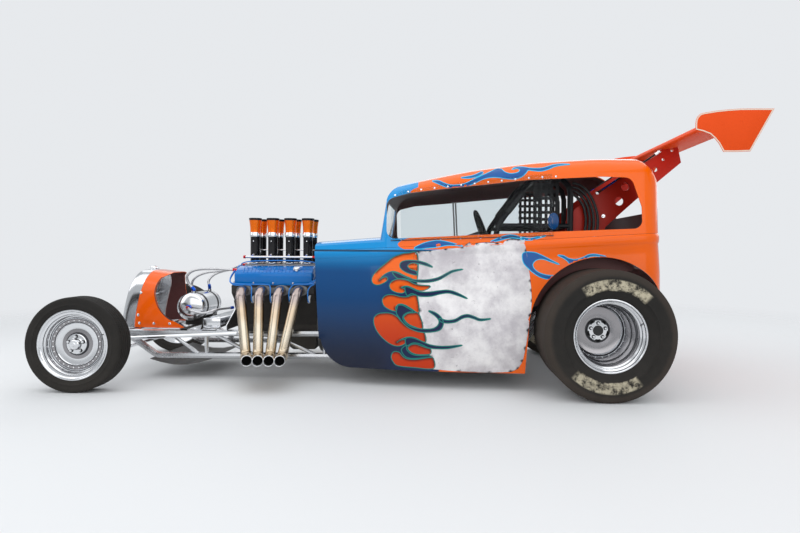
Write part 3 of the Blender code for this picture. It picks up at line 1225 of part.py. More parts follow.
def build_steering():
    rake = Matrix.Rotation(-math.pi / 2 + COLUMN_RAKE, 4, "Y")
    spot = at(STEERING_WHEEL_X, 0, STEERING_WHEEL_Z) @ rake
    rim = [(STEERING_WHEEL_RADIUS + STEERING_RIM_RADIUS * math.cos(a), STEERING_RIM_RADIUS * math.sin(a))
           for a in (-math.tau * k / 6 for k in range(6))]
    rim_piece = turned("steering_rim", rim, DISC_FACETS, matrix=spot, closed=True, tool=True)
    hub = rod_mesh("steering_wheel", (0, 0, -STEERING_RIM_RADIUS), (0, 0, STEERING_RIM_RADIUS),
                   COLUMN_RADIUS * 2.4, facets=ROUND_FACETS)
    wheel = place("steering_wheel", hub, BLACK_PAINT, spot)
    spokes = []
    for k in range(3):
        angle = math.tau * k / 3
        end = (STEERING_WHEEL_RADIUS * math.cos(angle), STEERING_WHEEL_RADIUS * math.sin(angle), 0)
        spokes.append(place(f"spoke_{k}", rod_mesh("spoke", (0, 0, 0), end, STEERING_RIM_RADIUS * 0.5),
                            matrix=spot, tool=True))
    combine(wheel, spokes + [rim_piece])
    ahead = spot.to_3x3() @ Vector((0, 0, -1))
    start = Vector((STEERING_WHEEL_X, 0, STEERING_WHEEL_Z)) + ahead * (STEERING_RIM_RADIUS + SEAT_GAP)
    share = (COLUMN_FRONT_X - start.x) / ahead.x
    place("steering_column", rod_mesh("steering_column", start, start + ahead * share, COLUMN_RADIUS),
          GREY_METAL)


build_wheels()
build_front_axle()
build_rear_axle()
build_steering()


# Nose: grille shell, bars, painted hood, belly pan, and the fuel tank behind
NOSE_FRONT_X = 1.908
NOSE_LEAN = 0.085
NOSE_LOW_Z = UPPER_RAIL_Z + CROSS_RADIUS * math.cos(math.pi / ROUND_FACETS) + SEAT_GAP * 3
NOSE_TOP_Z = 0.700
NOSE_HALF_WIDTH = 0.200
NOSE_TOP_ROUND = 0.150
NOSE_WALL = 0.006
NOSE_SHELL_DEPTH = 0.085
NOSE_FRAME_WIDTH = 0.035
NOSE_EDGE = 0.012
NOSE_BOW = 0.020
GRILLE_BARS = 11
GRILLE_BAR_RADIUS = 0.0035
HOOD_HALF_WIDTH = 0.232
HOOD_TOP_Z = 0.676
HOOD_ROUND = 0.165
HOOD_WALL = 0.004
HOOD_FOOT_REAR_X = 1.440
HOOD_TOP_REAR_X = 1.600
CAP_RADIUS = 0.030
CAP_HEIGHT = 0.032
TANK_X = 1.450
TANK_Z = 0.450
TANK_RADIUS = 0.095
TANK_HALF_LENGTH = 0.170
TANK_DOME = 0.030
TANK_SADDLE = 0.020
PAN_FRONT_X = 1.640
PAN_REAR_X = 1.240
PAN_LOW_Z = 0.088
PAN_WALL = 0.003


def nose_half(half_width, low, high, round_radius):
    """Half of an upside-down U, from the left foot over the shoulder to the middle of the top."""
    points = [(half_width, mix(low, high - round_radius, k / 3)) for k in range(3)]
    points += arc((half_width - round_radius, high - round_radius), round_radius, 0, 90, 4)
    return points + [(0, high)]


def nose_front_x(y, z):
    """The nose's front face leans back towards its top and is bowed from side to side."""
    lean = NOSE_LEAN * ((z - NOSE_LOW_Z) / (NOSE_TOP_Z - NOSE_LOW_Z)) ** 1.6
    return NOSE_FRONT_X - lean - NOSE_BOW * (y / NOSE_HALF_WIDTH) ** 2


def build_nose():
    half = nose_half(NOSE_HALF_WIDTH, NOSE_LOW_Z, NOSE_TOP_Z, NOSE_TOP_ROUND)
    centre = Vector((0, NOSE_TOP_Z - NOSE_TOP_ROUND))
    # Step back from the front face and step in towards the opening
    steps = ((NOSE_SHELL_DEPTH, 0.0), (NOSE_EDGE, 0.0), (0.0, NOSE_EDGE), (0.0, NOSE_FRAME_WIDTH))
    rows = []
    for back, inward in steps:
        row = []
        for y, z in half:
            spoke = Vector((y, z)) - centre
            if z < centre.y:
                spoke.y = 0
            elif y <= NOSE_HALF_WIDTH - NOSE_TOP_ROUND:
                spoke.x = 0
            else:
                spoke = Vector((y - NOSE_HALF_WIDTH + NOSE_TOP_ROUND, z - centre.y))
            step = spoke.normalized() * inward
            inner_y, inner_z = max(0, y - step.x), z - step.y
            row.append((nose_front_x(inner_y, inner_z) - back, inner_y, inner_z))
        rows.append(row)
    shell = surface("nose_shell", rows, POLISHED, wall=NOSE_WALL)
    cap = rod_mesh("filler_cap", (CAP_X, 0, CAP_Z), (CAP_X - CAP_HEIGHT / 3, 0, CAP_Z + CAP_HEIGHT),
                   CAP_RADIUS,
                   CAP_RADIUS * 0.85, facets=ROUND_FACETS)

    # Grille: upright bars between the top of the opening and two cross rails
    bars = []
    set_back = NOSE_WALL * 0.6
    reach = NOSE_HALF_WIDTH - NOSE_WALL / 2
    for z in (NOSE_LOW_Z + NOSE_WALL * 2.3, mix(NOSE_LOW_Z, NOSE_TOP_Z, 0.52)):
        x = nose_front_x(NOSE_HALF_WIDTH, z) - NOSE_WALL * 2
        bars.append(rod_mesh("grille_rail", (x, -reach, z), (x, reach, z), NOSE_WALL * 1.6,
                             facets=TUBE_FACETS))
    span = NOSE_HALF_WIDTH - NOSE_FRAME_WIDTH * 1.1
    for k in range(GRILLE_BARS):
        y = span * (2 * k / (GRILLE_BARS - 1) - 1)
        bend = max(0, abs(y) - (NOSE_HALF_WIDTH - NOSE_TOP_ROUND))
        top = NOSE_TOP_Z - NOSE_TOP_ROUND + math.sqrt(NOSE_TOP_ROUND ** 2 - bend ** 2) - NOSE_FRAME_WIDTH * 0.6
        low = NOSE_LOW_Z + NOSE_WALL * 2
        middle = mix(low, top, 0.5)
        points = [(nose_front_x(y, z) - set_back, y, z) for z in (low, middle, top)]
        bars.append(tube_mesh("grille_bar", points, GRILLE_BAR_RADIUS, 0))
    feet = []
    for name, side in SIDES:
        low_y, high_y = sorted((side * (NOSE_HALF_WIDTH - NOSE_WALL / 2),
                                side * (NOSE_HALF_WIDTH - NOSE_FRAME_WIDTH)))
        feet.append(box_mesh(f"nose_foot_{name}", (FRAME_FRONT_X - RAIL_RADIUS * 2 - CROSS_RADIUS, low_y,
                                                   NOSE_LOW_Z - SEAT_GAP * 2),
                             (NOSE_FRONT_X - NOSE_EDGE * 4.2, high_y, NOSE_LOW_Z + NOSE_WALL * 0.9)))
    combine(shell, [cap, *bars, *feet])

    # Painted hood: it carries on from the shell and flares, its rear edge cut in a hollow curve
    rows = []
    for share in (0, 0.35, 0.7, 1):
        row = []
        for (y0, z0), (y1, z1) in zip(half, nose_half(HOOD_HALF_WIDTH, NOSE_LOW_Z, HOOD_TOP_Z, HOOD_ROUND)):
            front_x = nose_front_x(y0, z0) - NOSE_SHELL_DEPTH - BELT_GAP
            ease = math.sin(math.pi / 2 * share)
            row.append((mix(front_x, HOOD_FOOT_REAR_X, share), mix(y0, y1, ease), mix(z0, z1, ease)))
        rows.append(row)
    hood = surface("nose_hood", rows, PAINT_ORANGE, wall=HOOD_WALL)
    far = HOOD_FOOT_REAR_X - CUT_OVERRUN
    curve = [(HOOD_TOP_REAR_X, HOOD_TOP_Z + CUT_OVERRUN), (HOOD_TOP_REAR_X, HOOD_TOP_Z)]
    curve += arc((HOOD_FOOT_REAR_X, HOOD_TOP_Z - HOOD_WAIST), HOOD_WAIST_RADIUS, 25, -65, 6)
    curve += [(HOOD_FOOT_REAR_X, NOSE_LOW_Z), (far, NOSE_LOW_Z), (far, HOOD_TOP_Z + CUT_OVERRUN)]
    cut = plate_mesh("hood_cut", curve, -HOOD_HALF_WIDTH - CUT_OVERRUN, HOOD_HALF_WIDTH + CUT_OVERRUN)
    combine(hood, [cut], "DIFFERENCE")

    # Fuel tank: a spun drum lying across the frame with domed ends, on two saddles
    profile = [(0, TANK_HALF_LENGTH), (TANK_RADIUS * 0.5, TANK_HALF_LENGTH - TANK_DOME * 0.2),
               (TANK_RADIUS * 0.85, TANK_HALF_LENGTH - TANK_DOME * 0.6),
               (TANK_RADIUS, TANK_HALF_LENGTH - TANK_DOME)]
    profile += [(r, -h) for r, h in reversed(profile)]
    tank = turned("fuel_tank", profile, DISC_FACETS, POLISHED,
                  at(TANK_X, 0, TANK_Z) @ Matrix.Rotation(-math.pi / 2, 4, "X"))
    low = UPPER_RAIL_Z + RAIL_RADIUS + SEAT_GAP
    legs = []
    for name, side in SIDES:
        y = side * TANK_HALF_LENGTH * 0.5
        a, b = sorted((y - TANK_SADDLE / 2, y + TANK_SADDLE / 2))
        legs.append(box_mesh("tank_saddle", (TANK_X - TANK_RADIUS * 0.6, a, low),
                             (TANK_X + TANK_RADIUS * 0.6, b, TANK_Z - TANK_RADIUS * 0.55)))
    inner = FRAME_HALF_WIDTH + RAIL_RADIUS * 0.6
    bar = box_mesh("tank_cradle", (TANK_X - TANK_RADIUS * 0.55, -inner, low),
                   (HOOD_FOOT_REAR_X - BELT_GAP, inner, low + PLATE_THICKNESS))
    combine(tank, [place(f"{mesh.name}_{i}", mesh, tool=True) for i, mesh in enumerate([*legs, bar])])

    # Belly pan: a shallow curved tray under the lower rails
    rows = []
    for k in range(6):
        share = k / 5
        x = mix(PAN_FRONT_X, PAN_REAR_X, share)
        drop = (LOWER_RAIL_Z - RAIL_RADIUS - PAN_LOW_Z) * math.sin(math.pi * share)
        z = LOWER_RAIL_Z - RAIL_RADIUS - SEAT_GAP - drop
        rows.append([(x, 0, z), (x, FRAME_HALF_WIDTH, z)])
    surface("belly_pan", rows, GREY_METAL, wall=PAN_WALL, offset=-1)


CAP_X = NOSE_FRONT_X - NOSE_LEAN - CAP_RADIUS - NOSE_EDGE
CAP_Z = 0.6965
HOOD_WAIST = 0.115
HOOD_WAIST_RADIUS = 0.215


# Engine plate and rear motor mount
MOTOR_PLATE_HALF_WIDTH = 0.320


def build_motor_plate():
    low = UPPER_RAIL_Z + RAIL_RADIUS + SEAT_GAP
    outline = [(-MOTOR_PLATE_HALF_WIDTH, low), (MOTOR_PLATE_HALF_WIDTH, low),
               (MOTOR_PLATE_HALF_WIDTH, low + PLATE_THICKNESS * 5), (BLOCK_HALF_WIDTH,
                                                                     HEAD_LOW_Z - PLATE_THICKNESS * 4),
               (-BLOCK_HALF_WIDTH, HEAD_LOW_Z - PLATE_THICKNESS * 4), (-MOTOR_PLATE_HALF_WIDTH,
                                                                       low + PLATE_THICKNESS * 5)]
    front = ENGINE_X + BLOCK_LENGTH / 2 + SEAT_GAP
    plate = place("motor_plate", plate_mesh("motor_plate", outline, front, front + PLATE_THICKNESS, "X"),
                  POLISHED)
    return plate


# Wing: lateral aerofoil, endplates, strut plates and rods
WING_HALF_SPAN = 0.715
WING_LEAD_X = -1.722
WING_LEAD_Z = 1.548
WING_CHORD = 0.400
WING_ANGLE_DEG = 11
WING_THICKNESS = 0.046
ENDPLATE_THICKNESS = 0.004
STRUT_Y = 0.220
STRUT_THICKNESS = 0.008
STRUT_HOLE_RADII = (0.030, 0.027, 0.017)
# Corners of the endplate as (x, z)
ENDPLATE = (
    (-1.714, 1.548),
    (-1.714, 1.605),
    (-1.745, 1.640),
    (-1.830, 1.658),
    (-1.975, 1.672),
    (-2.1675, 1.673),
    (-2.030, 1.425),
    (-1.872, 1.422),
    (-1.848, 1.470),
    (-1.798, 1.522),
)
# Corners of the strut plate as (x, z), and the places of its holes
STRUT = (
    (-1.088, 0.575),
    (-1.205, 0.575),
    (-1.366, 1.014),
    (-1.566, 1.194),
    (-1.869, 1.447),
    (-1.845, 1.560),
    (-1.765, 1.560),
    (-1.690, 1.485),
    (-1.330, 1.262),
    (-1.160, 1.130),
    (-1.100, 1.050),
)
STRUT_HOLES = ((-1.456, 1.185), (-1.495, 1.282), (-1.696, 1.400))


def wing_point(share, height):
    """A point of the aerofoil's section, from its leading edge back and square to its chord."""
    angle = math.radians(WING_ANGLE_DEG)
    x = WING_LEAD_X - WING_CHORD * share * math.cos(angle)
    z = WING_LEAD_Z + WING_CHORD * share * math.sin(angle) + height
    return x, z


def build_wing():
    # Shares of the chord and of the thickness above and below it
    section = (
        (0.0, 0.0), (0.02, 0.35), (0.10, 0.60), (0.30, 0.60), (0.65, 0.30), (1.0, 0.04),
        (1.0, -0.04), (0.65, -0.28), (0.30, -0.50), (0.10, -0.45), (0.02, -0.28))
    outline = [wing_point(share, height * WING_THICKNESS) for share, height in section]
    inner = WING_HALF_SPAN + ENDPLATE_THICKNESS / 2
    wing = place("wing", plate_mesh("wing", outline, -inner, inner), PAINT_RED)
    for name, side in SIDES:
        low, high = sorted((side * WING_HALF_SPAN, side * (WING_HALF_SPAN + ENDPLATE_THICKNESS)))
        combine(wing, [plate_mesh(f"wing_endplate_{name}", ENDPLATE, low, high)])
        y = side * STRUT_Y
        low, high = y - STRUT_THICKNESS / 2, y + STRUT_THICKNESS / 2
        strut = place(f"wing_strut_{name}", plate_mesh("wing_strut", STRUT, low, high), PAINT_RED)
        holes = [rod_mesh("strut_hole", (x, low - CUT_OVERRUN, z), (x, high + CUT_OVERRUN, z), radius,
                          facets=ROUND_FACETS)
                 for (x, z), radius in zip(STRUT_HOLES, STRUT_HOLE_RADII)]
        room = plate_mesh("wing_room",
                          [wing_point(share, height * WING_THICKNESS + SEAT_GAP * (1 if height > 0 else -1))
                                        for share, height in section], low - CUT_OVERRUN, high + CUT_OVERRUN)
        bars = [rod_mesh("strut_clamp", (CAGE_BACK_X, low - CUT_OVERRUN, z),
                         (CAGE_BACK_X, high + CUT_OVERRUN, z),
                         CAGE_BAR_RADIUS + SEAT_GAP) for z in (CAGE_BAR_Z, CAGE_LEG_Z)]
        combine(strut, holes + bars + [room], "DIFFERENCE")


build_nose()
build_motor_plate()
build_wing()
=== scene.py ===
# %% [markdown]
# A front-engined drag racing car of the altered kind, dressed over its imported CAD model.
# The CAD gives every piece its place and its joints, so this script only adds what the eye needs:
# finer surfaces where facets would show, painted flames, fasteners, leads and real finishes.

# %% Load the frame
import math

import bmesh
import bpy
import json
from mathutils import Matrix, Vector
from mathutils.bvhtree import BVHTree
from mathutils.geometry import delaunay_2d_cdt

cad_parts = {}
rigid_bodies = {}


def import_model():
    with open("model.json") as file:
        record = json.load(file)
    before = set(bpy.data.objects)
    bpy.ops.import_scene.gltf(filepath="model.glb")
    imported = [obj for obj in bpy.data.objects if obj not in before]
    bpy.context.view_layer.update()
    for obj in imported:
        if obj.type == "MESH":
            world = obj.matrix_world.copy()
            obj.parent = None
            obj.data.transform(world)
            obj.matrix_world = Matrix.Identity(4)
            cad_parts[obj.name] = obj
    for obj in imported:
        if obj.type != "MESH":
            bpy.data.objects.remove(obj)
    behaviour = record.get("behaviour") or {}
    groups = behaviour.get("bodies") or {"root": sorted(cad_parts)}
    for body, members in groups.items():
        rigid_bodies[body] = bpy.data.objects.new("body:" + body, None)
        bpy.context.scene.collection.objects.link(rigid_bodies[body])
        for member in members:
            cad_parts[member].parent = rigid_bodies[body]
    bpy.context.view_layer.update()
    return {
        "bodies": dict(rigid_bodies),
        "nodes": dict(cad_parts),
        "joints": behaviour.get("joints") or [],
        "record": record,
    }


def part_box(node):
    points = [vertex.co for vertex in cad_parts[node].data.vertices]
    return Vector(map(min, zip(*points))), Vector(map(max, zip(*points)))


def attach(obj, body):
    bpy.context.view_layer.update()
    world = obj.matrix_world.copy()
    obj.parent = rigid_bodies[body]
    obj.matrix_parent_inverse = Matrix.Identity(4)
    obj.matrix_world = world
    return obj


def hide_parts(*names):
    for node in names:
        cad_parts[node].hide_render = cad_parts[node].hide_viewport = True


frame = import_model()
nodes = frame["nodes"]

# %% [markdown]
# The photo looks square on to the car's left side from about two car widths away with a wide lens.
# A camera at axle-line distance with the same field of view gives the same foreshortening: the near
# rear slick looks larger than the far side, and both ends of the wing show their own perspective.

# %% Camera
PHOTO_WIDTH_PX = 800
CAMERA_PLACE = (-0.21, 3.68, 0.83)
CAMERA_ROLL = -0.37

camera_data = bpy.data.cameras.new("camera")
camera_data.sensor_width = 36
camera_data.lens = 23.2
camera_data.shift_x = -33 / PHOTO_WIDTH_PX
camera_data.shift_y = -13.5 / PHOTO_WIDTH_PX
camera = bpy.data.objects.new("camera", camera_data)
bpy.context.scene.collection.objects.link(camera)
camera.location = CAMERA_PLACE
camera.rotation_euler = (math.radians(90), math.radians(CAMERA_ROLL), math.radians(180))
bpy.context.scene.camera = camera
print("camera at", tuple(camera.location))

# %% [markdown]
# Studio light for glossy paint is mostly about what the paint reflects. A wide soft box hangs over
# the car and another stands behind the camera, with more at the front, the rear and the far side.
# A pale world keeps the chrome bright. The camera sees a plain backdrop, and the floor fades into it.

# %% Floor, world and lamps
def lamp(name, place, aim, size, power):
    """An area lamp that points at a spot."""
    data = bpy.data.lights.new(name, "AREA")
    data.shape = "RECTANGLE"
    data.size, data.size_y = size
    data.energy = power
    thing = bpy.data.objects.new(name, data)
    bpy.context.scene.collection.objects.link(thing)
    thing.location = place
    thing.rotation_euler = (Vector(aim) - Vector(place)).to_track_quat("-Z", "Y").to_euler()


lamp("roof_box", (0.3, 1.2, 4.8), (0, 0.2, 0.6), (9.0, 6.0), 168)
lamp("side_box", (-0.6, 5.6, 2.4), (0, 0, 0.6), (9.0, 3.2), 104)
lamp("front_box", (5.4, 1.6, 2.8), (1.0, 0, 0.5), (4.4, 3.6), 56)
lamp("rear_box", (-4.9, -2.6, 3.4), (-1.0, 0, 0.8), (4.8, 4.0), 56)
lamp("far_box", (0.6, -5.0, 4.4), (0, 0, 0.6), (10.0, 3.2), 84)

world = bpy.data.worlds.new("studio")
bpy.context.scene.world = world
world.use_nodes = True
sky = world.node_tree.nodes
sky_links = world.node_tree.links
background = sky["Background"]
background.inputs["Color"].default_value = (0.80, 0.83, 0.86, 1)
background.inputs["Strength"].default_value = 0.72
seen = sky.new("ShaderNodeBackground")
seen.inputs["Color"].default_value = (0.80, 0.82, 0.845, 1)
seen.inputs["Strength"].default_value = 1.0
path = sky.new("ShaderNodeLightPath")
mixer = sky.new("ShaderNodeMixShader")
either = sky.new("ShaderNodeMath")
either.operation = "MAXIMUM"
sky_links.new(path.outputs["Is Camera Ray"], either.inputs[0])
sky_links.new(path.outputs["Is Transmission Ray"], either.inputs[1])
sky_links.new(either.outputs[0], mixer.inputs[0])
sky_links.new(background.outputs[0], mixer.inputs[1])
sky_links.new(seen.outputs[0], mixer.inputs[2])
sky_links.new(mixer.outputs[0], sky["World Output"].inputs["Surface"])
bpy.context.scene.view_settings.view_transform = "Standard"


def floor_sheet():
    """A pale floor that takes the car's shadow and fades into the backdrop further out."""
    mesh = bpy.data.meshes.new("studio_floor")
    half = 40
    mesh.from_pydata([(-half, -half, 0), (half, -half, 0), (half, half, 0), (-half, half, 0)], [],
                     [(0, 1, 2, 3)])
    thing = bpy.data.objects.new("studio_floor", mesh)
    bpy.context.scene.collection.objects.link(thing)
    paint = bpy.data.materials.new("studio_floor")
    paint.use_nodes = True
    shader = paint.node_tree.nodes["Principled BSDF"]
    shader.inputs["Base Color"].default_value = (0.70, 0.71, 0.72, 1)
    shader.inputs["Roughness"].default_value = 0.75
    make, join = paint.node_tree.nodes.new, paint.node_tree.links.new
    reach, fade, clear, blend = [make("ShaderNode" + kind) for kind in
                                 ("VectorMath", "MapRange", "BsdfTransparent", "MixShader")]
    reach.operation = "LENGTH"
    fade.interpolation_type = "SMOOTHSTEP"
    fade.inputs["From Min"].default_value, fade.inputs["From Max"].default_value = 3.4, 7.0
    join(make("ShaderNodeTexCoord").outputs["Object"], reach.inputs[0])
    join(reach.outputs["Value"], fade.inputs["Value"])
    join(fade.outputs["Result"], blend.inputs[0])
    join(shader.outputs[0], blend.inputs[1])
    join(clear.outputs[0], blend.inputs[2])
    join(blend.outputs[0], paint.node_tree.nodes["Material Output"].inputs["Surface"])
    mesh.materials.append(paint)


floor_sheet()

# %% [markdown]
# Real finishes are never one flat value. Three small node groups carry what most of them share:
# a fine grain that varies roughness and gives a bump height, road dust that settles on low places,
# and turning marks for wheels cut on a lathe. Each material sets its own scale and strength.

# %% Shared node groups
def new_group(name, inputs, outputs):
    """A shader node group with named float or colour sockets and its in and out nodes."""
    group = bpy.data.node_groups.new(name, "ShaderNodeTree")
    for socket, kind, value in inputs:
        made = group.interface.new_socket(socket, in_out="INPUT", socket_type=kind)
        if value is not None:
            made.default_value = value
    for socket, kind in outputs:
        group.interface.new_socket(socket, in_out="OUTPUT", socket_type=kind)
    return group, group.nodes.new("NodeGroupInput"), group.nodes.new("NodeGroupOutput")


def math_node(tree, operation, *values):
    """A Math node. A value that is a socket is linked and a number is set."""
    node = tree.nodes.new("ShaderNodeMath")
    node.operation = operation
    for i, value in enumerate(values):
        if isinstance(value, (int, float)):
            node.inputs[i].default_value = value
        else:
            tree.links.new(value, node.inputs[i])
    return node.outputs[0]


def noise_node(tree, vector, scale, detail=3.0, rough=0.55):
    node = tree.nodes.new("ShaderNodeTexNoise")
    node.inputs["Detail"].default_value = detail
    node.inputs["Roughness"].default_value = rough
    tree.links.new(vector, node.inputs["Vector"])
    if isinstance(scale, (int, float)):
        node.inputs["Scale"].default_value = scale
    else:
        tree.links.new(scale, node.inputs["Scale"])
    return node.outputs["Fac"]


def times(tree, a, b):
    return math_node(tree, "MULTIPLY", a, b)


def plus(tree, a, b):
    return math_node(tree, "ADD", a, b)


def minus(tree, a, b):
    return math_node(tree, "SUBTRACT", a, b)


def times_plus(tree, a, b, c):
    return math_node(tree, "MULTIPLY_ADD", a, b, c)


def object_place(tree):
    """The place on the object as one socket, and its X, Y and Z."""
    place = tree.nodes.new("ShaderNodeTexCoord").outputs["Object"]
    apart = tree.nodes.new("ShaderNodeSeparateXYZ")
    tree.links.new(place, apart.inputs[0])
    return place, *apart.outputs


def color_mix(tree, factor, a, b, blend="MIX"):
    """Blend two colours. Each may be a plain colour or a socket."""
    node = tree.nodes.new("ShaderNodeMix")
    node.data_type, node.blend_type = "RGBA", blend
    tree.links.new(factor, node.inputs["Factor"])
    for socket, value in (("A", a), ("B", b)):
        if isinstance(value, tuple):
            node.inputs[socket].default_value = (*value, 1)
        else:
            tree.links.new(value, node.inputs[socket])
    return node.outputs["Result"]


FLOAT, COLOR = "NodeSocketFloat", "NodeSocketColor"

grain, g_in, g_out = new_group(
    "surface_grain",
    [("Scale", FLOAT, 60.0), ("Rough Low", FLOAT, 0.2), ("Rough High", FLOAT, 0.4)],
    [("Roughness", FLOAT), ("Height", FLOAT), ("Patches", FLOAT)])
g_co = grain.nodes.new("ShaderNodeTexCoord").outputs["Object"]
g_fine = noise_node(grain, g_co, g_in.outputs["Scale"], 4.0)
g_wide = noise_node(grain, g_co, times(grain, g_in.outputs["Scale"], 0.06), 2.0)
g_both = times_plus(grain, g_wide, 0.65, times(grain, g_fine, 0.35))
g_span = minus(grain, g_in.outputs["Rough High"], g_in.outputs["Rough Low"])
grain.links.new(times_plus(grain, g_both, g_span, g_in.outputs["Rough Low"]),
                g_out.inputs["Roughness"])
grain.links.new(g_fine, g_out.inputs["Height"])
grain.links.new(g_wide, g_out.inputs["Patches"])

dust, d_in, d_out = new_group(
    "road_dust",
    [("Color", COLOR, (0.5, 0.5, 0.5, 1)), ("Dust Color", COLOR, (0.20, 0.17, 0.14, 1)),
     ("Top", FLOAT, 0.6), ("Amount", FLOAT, 0.35)],
    [("Color", COLOR), ("Mask", FLOAT)])
d_co, _, _, d_z = object_place(dust)
d_fall = minus(dust, 1.0, math_node(dust, "DIVIDE", d_z, d_in.outputs["Top"]))
d_fall = math_node(dust, "MAXIMUM", d_fall, 0.0)
d_spots = noise_node(dust, d_co, 9.0, 6.0, 0.7)
d_mask = times(dust, times(dust, d_fall, d_spots), d_in.outputs["Amount"])
d_mask = math_node(dust, "MINIMUM", times(dust, d_mask, 1.8), 1.0)
dust.links.new(color_mix(dust, d_mask, d_in.outputs["Color"], d_in.outputs["Dust Color"]),
               d_out.inputs["Color"])
dust.links.new(d_mask, d_out.inputs["Mask"])

turned_marks, t_in, t_out = new_group(
    "turning_marks", [("Pitch", FLOAT, 900.0), ("Depth", FLOAT, 0.5)],
    [("Height", FLOAT), ("Roughness", FLOAT)])
t_co, t_x, _, t_z = object_place(turned_marks)
t_flat = turned_marks.nodes.new("ShaderNodeCombineXYZ")
turned_marks.links.new(t_x, t_flat.inputs["X"])
turned_marks.links.new(t_z, t_flat.inputs["Y"])
t_len = turned_marks.nodes.new("ShaderNodeVectorMath")
t_len.operation = "LENGTH"
turned_marks.links.new(t_flat.outputs[0], t_len.inputs[0])
t_wave = math_node(turned_marks, "SINE", times(turned_marks, t_len.outputs["Value"], t_in.outputs["Pitch"]))
t_noise = noise_node(turned_marks, t_co, 40.0, 3.0)
turned_marks.links.new(times(turned_marks, t_wave, t_in.outputs["Depth"]), t_out.inputs["Height"])
turned_marks.links.new(times_plus(turned_marks, t_noise, 0.22, 0.06), t_out.inputs["Roughness"])
print("groups", [g.name for g in bpy.data.node_groups])

# %% Finishes
def use_group(tree, group, **values):
    """Place a node group in a material with its own values."""
    node = tree.nodes.new("ShaderNodeGroup")
    node.node_tree = group
    for name, value in values.items():
        socket = node.inputs[name.replace("_", " ")]
        if isinstance(value, (int, float, tuple)):
            socket.default_value = value
        else:
            tree.links.new(value, socket)
    return node


def ramp(tree, value, low, high):
    """A smooth step from 0 at low to 1 at high."""
    node = tree.nodes.new("ShaderNodeMapRange")
    node.interpolation_type = "SMOOTHSTEP"
    node.inputs["From Min"].default_value = low
    node.inputs["From Max"].default_value = high
    tree.links.new(value, node.inputs["Value"])
    return node.outputs["Result"]


def new_material(name):
    """A material with its tree and its one shader."""
    material = bpy.data.materials.new(name)
    material.use_nodes = True
    return material, material.node_tree, material.node_tree.nodes["Principled BSDF"]


def add_relief(tree, shader, height, strength, distance):
    """Bump the shader by a height."""
    relief = tree.nodes.new("ShaderNodeBump")
    relief.inputs["Strength"].default_value = strength
    relief.inputs["Distance"].default_value = distance
    tree.links.new(height, relief.inputs["Height"])
    tree.links.new(relief.outputs[0], shader.inputs["Normal"])


def finish(name, color, rough=(0.2, 0.35), metallic=0.0, coat=0.0, grain_scale=60.0, bump=0.02,
           dusty=0.0, dust_top=0.6, vary=0.12, paint=None, gloss=0.5):
    """A finish with patchy colour, varied roughness, fine bump and dust on its low parts."""
    material, tree, shader = new_material(name)
    shader.inputs["Metallic"].default_value = metallic
    shader.inputs["Coat Weight"].default_value = coat
    shader.inputs["Coat Roughness"].default_value = 0.04
    shader.inputs["Specular IOR Level"].default_value = 0.14 if coat else gloss
    shader.inputs["Coat IOR"].default_value = 1.28
    grit = use_group(tree, grain, Scale=grain_scale, Rough_Low=rough[0], Rough_High=rough[1])
    patchy = color_mix(tree, grit.outputs["Patches"], paint(tree) if paint else color, (1 - vary,) * 3,
                       "MULTIPLY")
    settled = use_group(tree, dust, Color=patchy, Top=dust_top, Amount=dusty)
    tree.links.new(settled.outputs["Color"], shader.inputs["Base Color"])
    dull = times_plus(tree, settled.outputs["Mask"], 0.5, grit.outputs["Roughness"])
    tree.links.new(dull, shader.inputs["Roughness"])
    add_relief(tree, shader, grit.outputs["Height"], bump, 0.002)
    return material


def machined(name, color, pitch=900.0, depth=0.5, bump=0.05):
    """Metal cut on a lathe about the piece's own Y axis."""
    material, tree, shader = new_material(name)
    shader.inputs["Metallic"].default_value = 1.0
    marks = use_group(tree, turned_marks, Pitch=pitch, Depth=depth)
    tree.links.new(marks.outputs["Roughness"], shader.inputs["Roughness"])
    patches = use_group(tree, grain, Scale=30.0)
    shade = color_mix(tree, patches.outputs["Patches"], color, tuple(c * 0.86 for c in color))
    tree.links.new(shade, shader.inputs["Base Color"])
    add_relief(tree, shader, marks.outputs["Height"], bump, 0.0005)
    return material


PANEL_GLOSS = {"rough": (0.16, 0.26), "coat": 0.9, "bump": 0.012, "dusty": 0.08, "dust_top": 0.45}
LINE_GLOSS = {"rough": (0.18, 0.28), "coat": 1.0, "bump": 0.012}
ORANGE = finish("orange_enamel", (0.88, 0.115, 0.001), **PANEL_GLOSS)
BLUE = finish("blue_enamel", (0.004, 0.085, 0.30), **PANEL_GLOSS)
NAVY = finish("navy_enamel", (0.003, 0.012, 0.06), **LINE_GLOSS)
TEAL = finish("teal_enamel", (0.01, 0.20, 0.17), **LINE_GLOSS)
SKY = finish("sky_blue_enamel", (0.01, 0.44, 0.72), **LINE_GLOSS)
PALE = finish("pale_edge_paint", (0.75, 0.62, 0.50), (0.25, 0.4), coat=0.4)
CHROME = finish("chrome_plate", (0.82, 0.83, 0.85), (0.03, 0.10), metallic=1.0, bump=0.004, vary=0.05,
                dusty=0.12)
POLISHED = finish("polished_aluminium", (0.74, 0.75, 0.77), (0.08, 0.22), metallic=1.0, bump=0.01,
                  vary=0.10)
MILLED = machined("lathe_cut_aluminium", (0.78, 0.79, 0.81))
SATIN_BLACK = finish("satin_black_paint", (0.012, 0.012, 0.014), (0.30, 0.45), coat=0.2, dusty=0.30)
GREY = finish("grey_steel", (0.17, 0.175, 0.18), (0.35, 0.55), metallic=0.6, dusty=0.30)
# Dark red-brown painted shade for the inner sides of the shells and hood, and for the wheel tubs.
SHADED_INSIDE = finish("painted_shade_inside", (0.110, 0.026, 0.024), (0.45, 0.6))
ENGINE_BLUE = finish("engine_blue_enamel", (0.004, 0.155, 0.50), (0.12, 0.22), coat=0.8, bump=0.01)
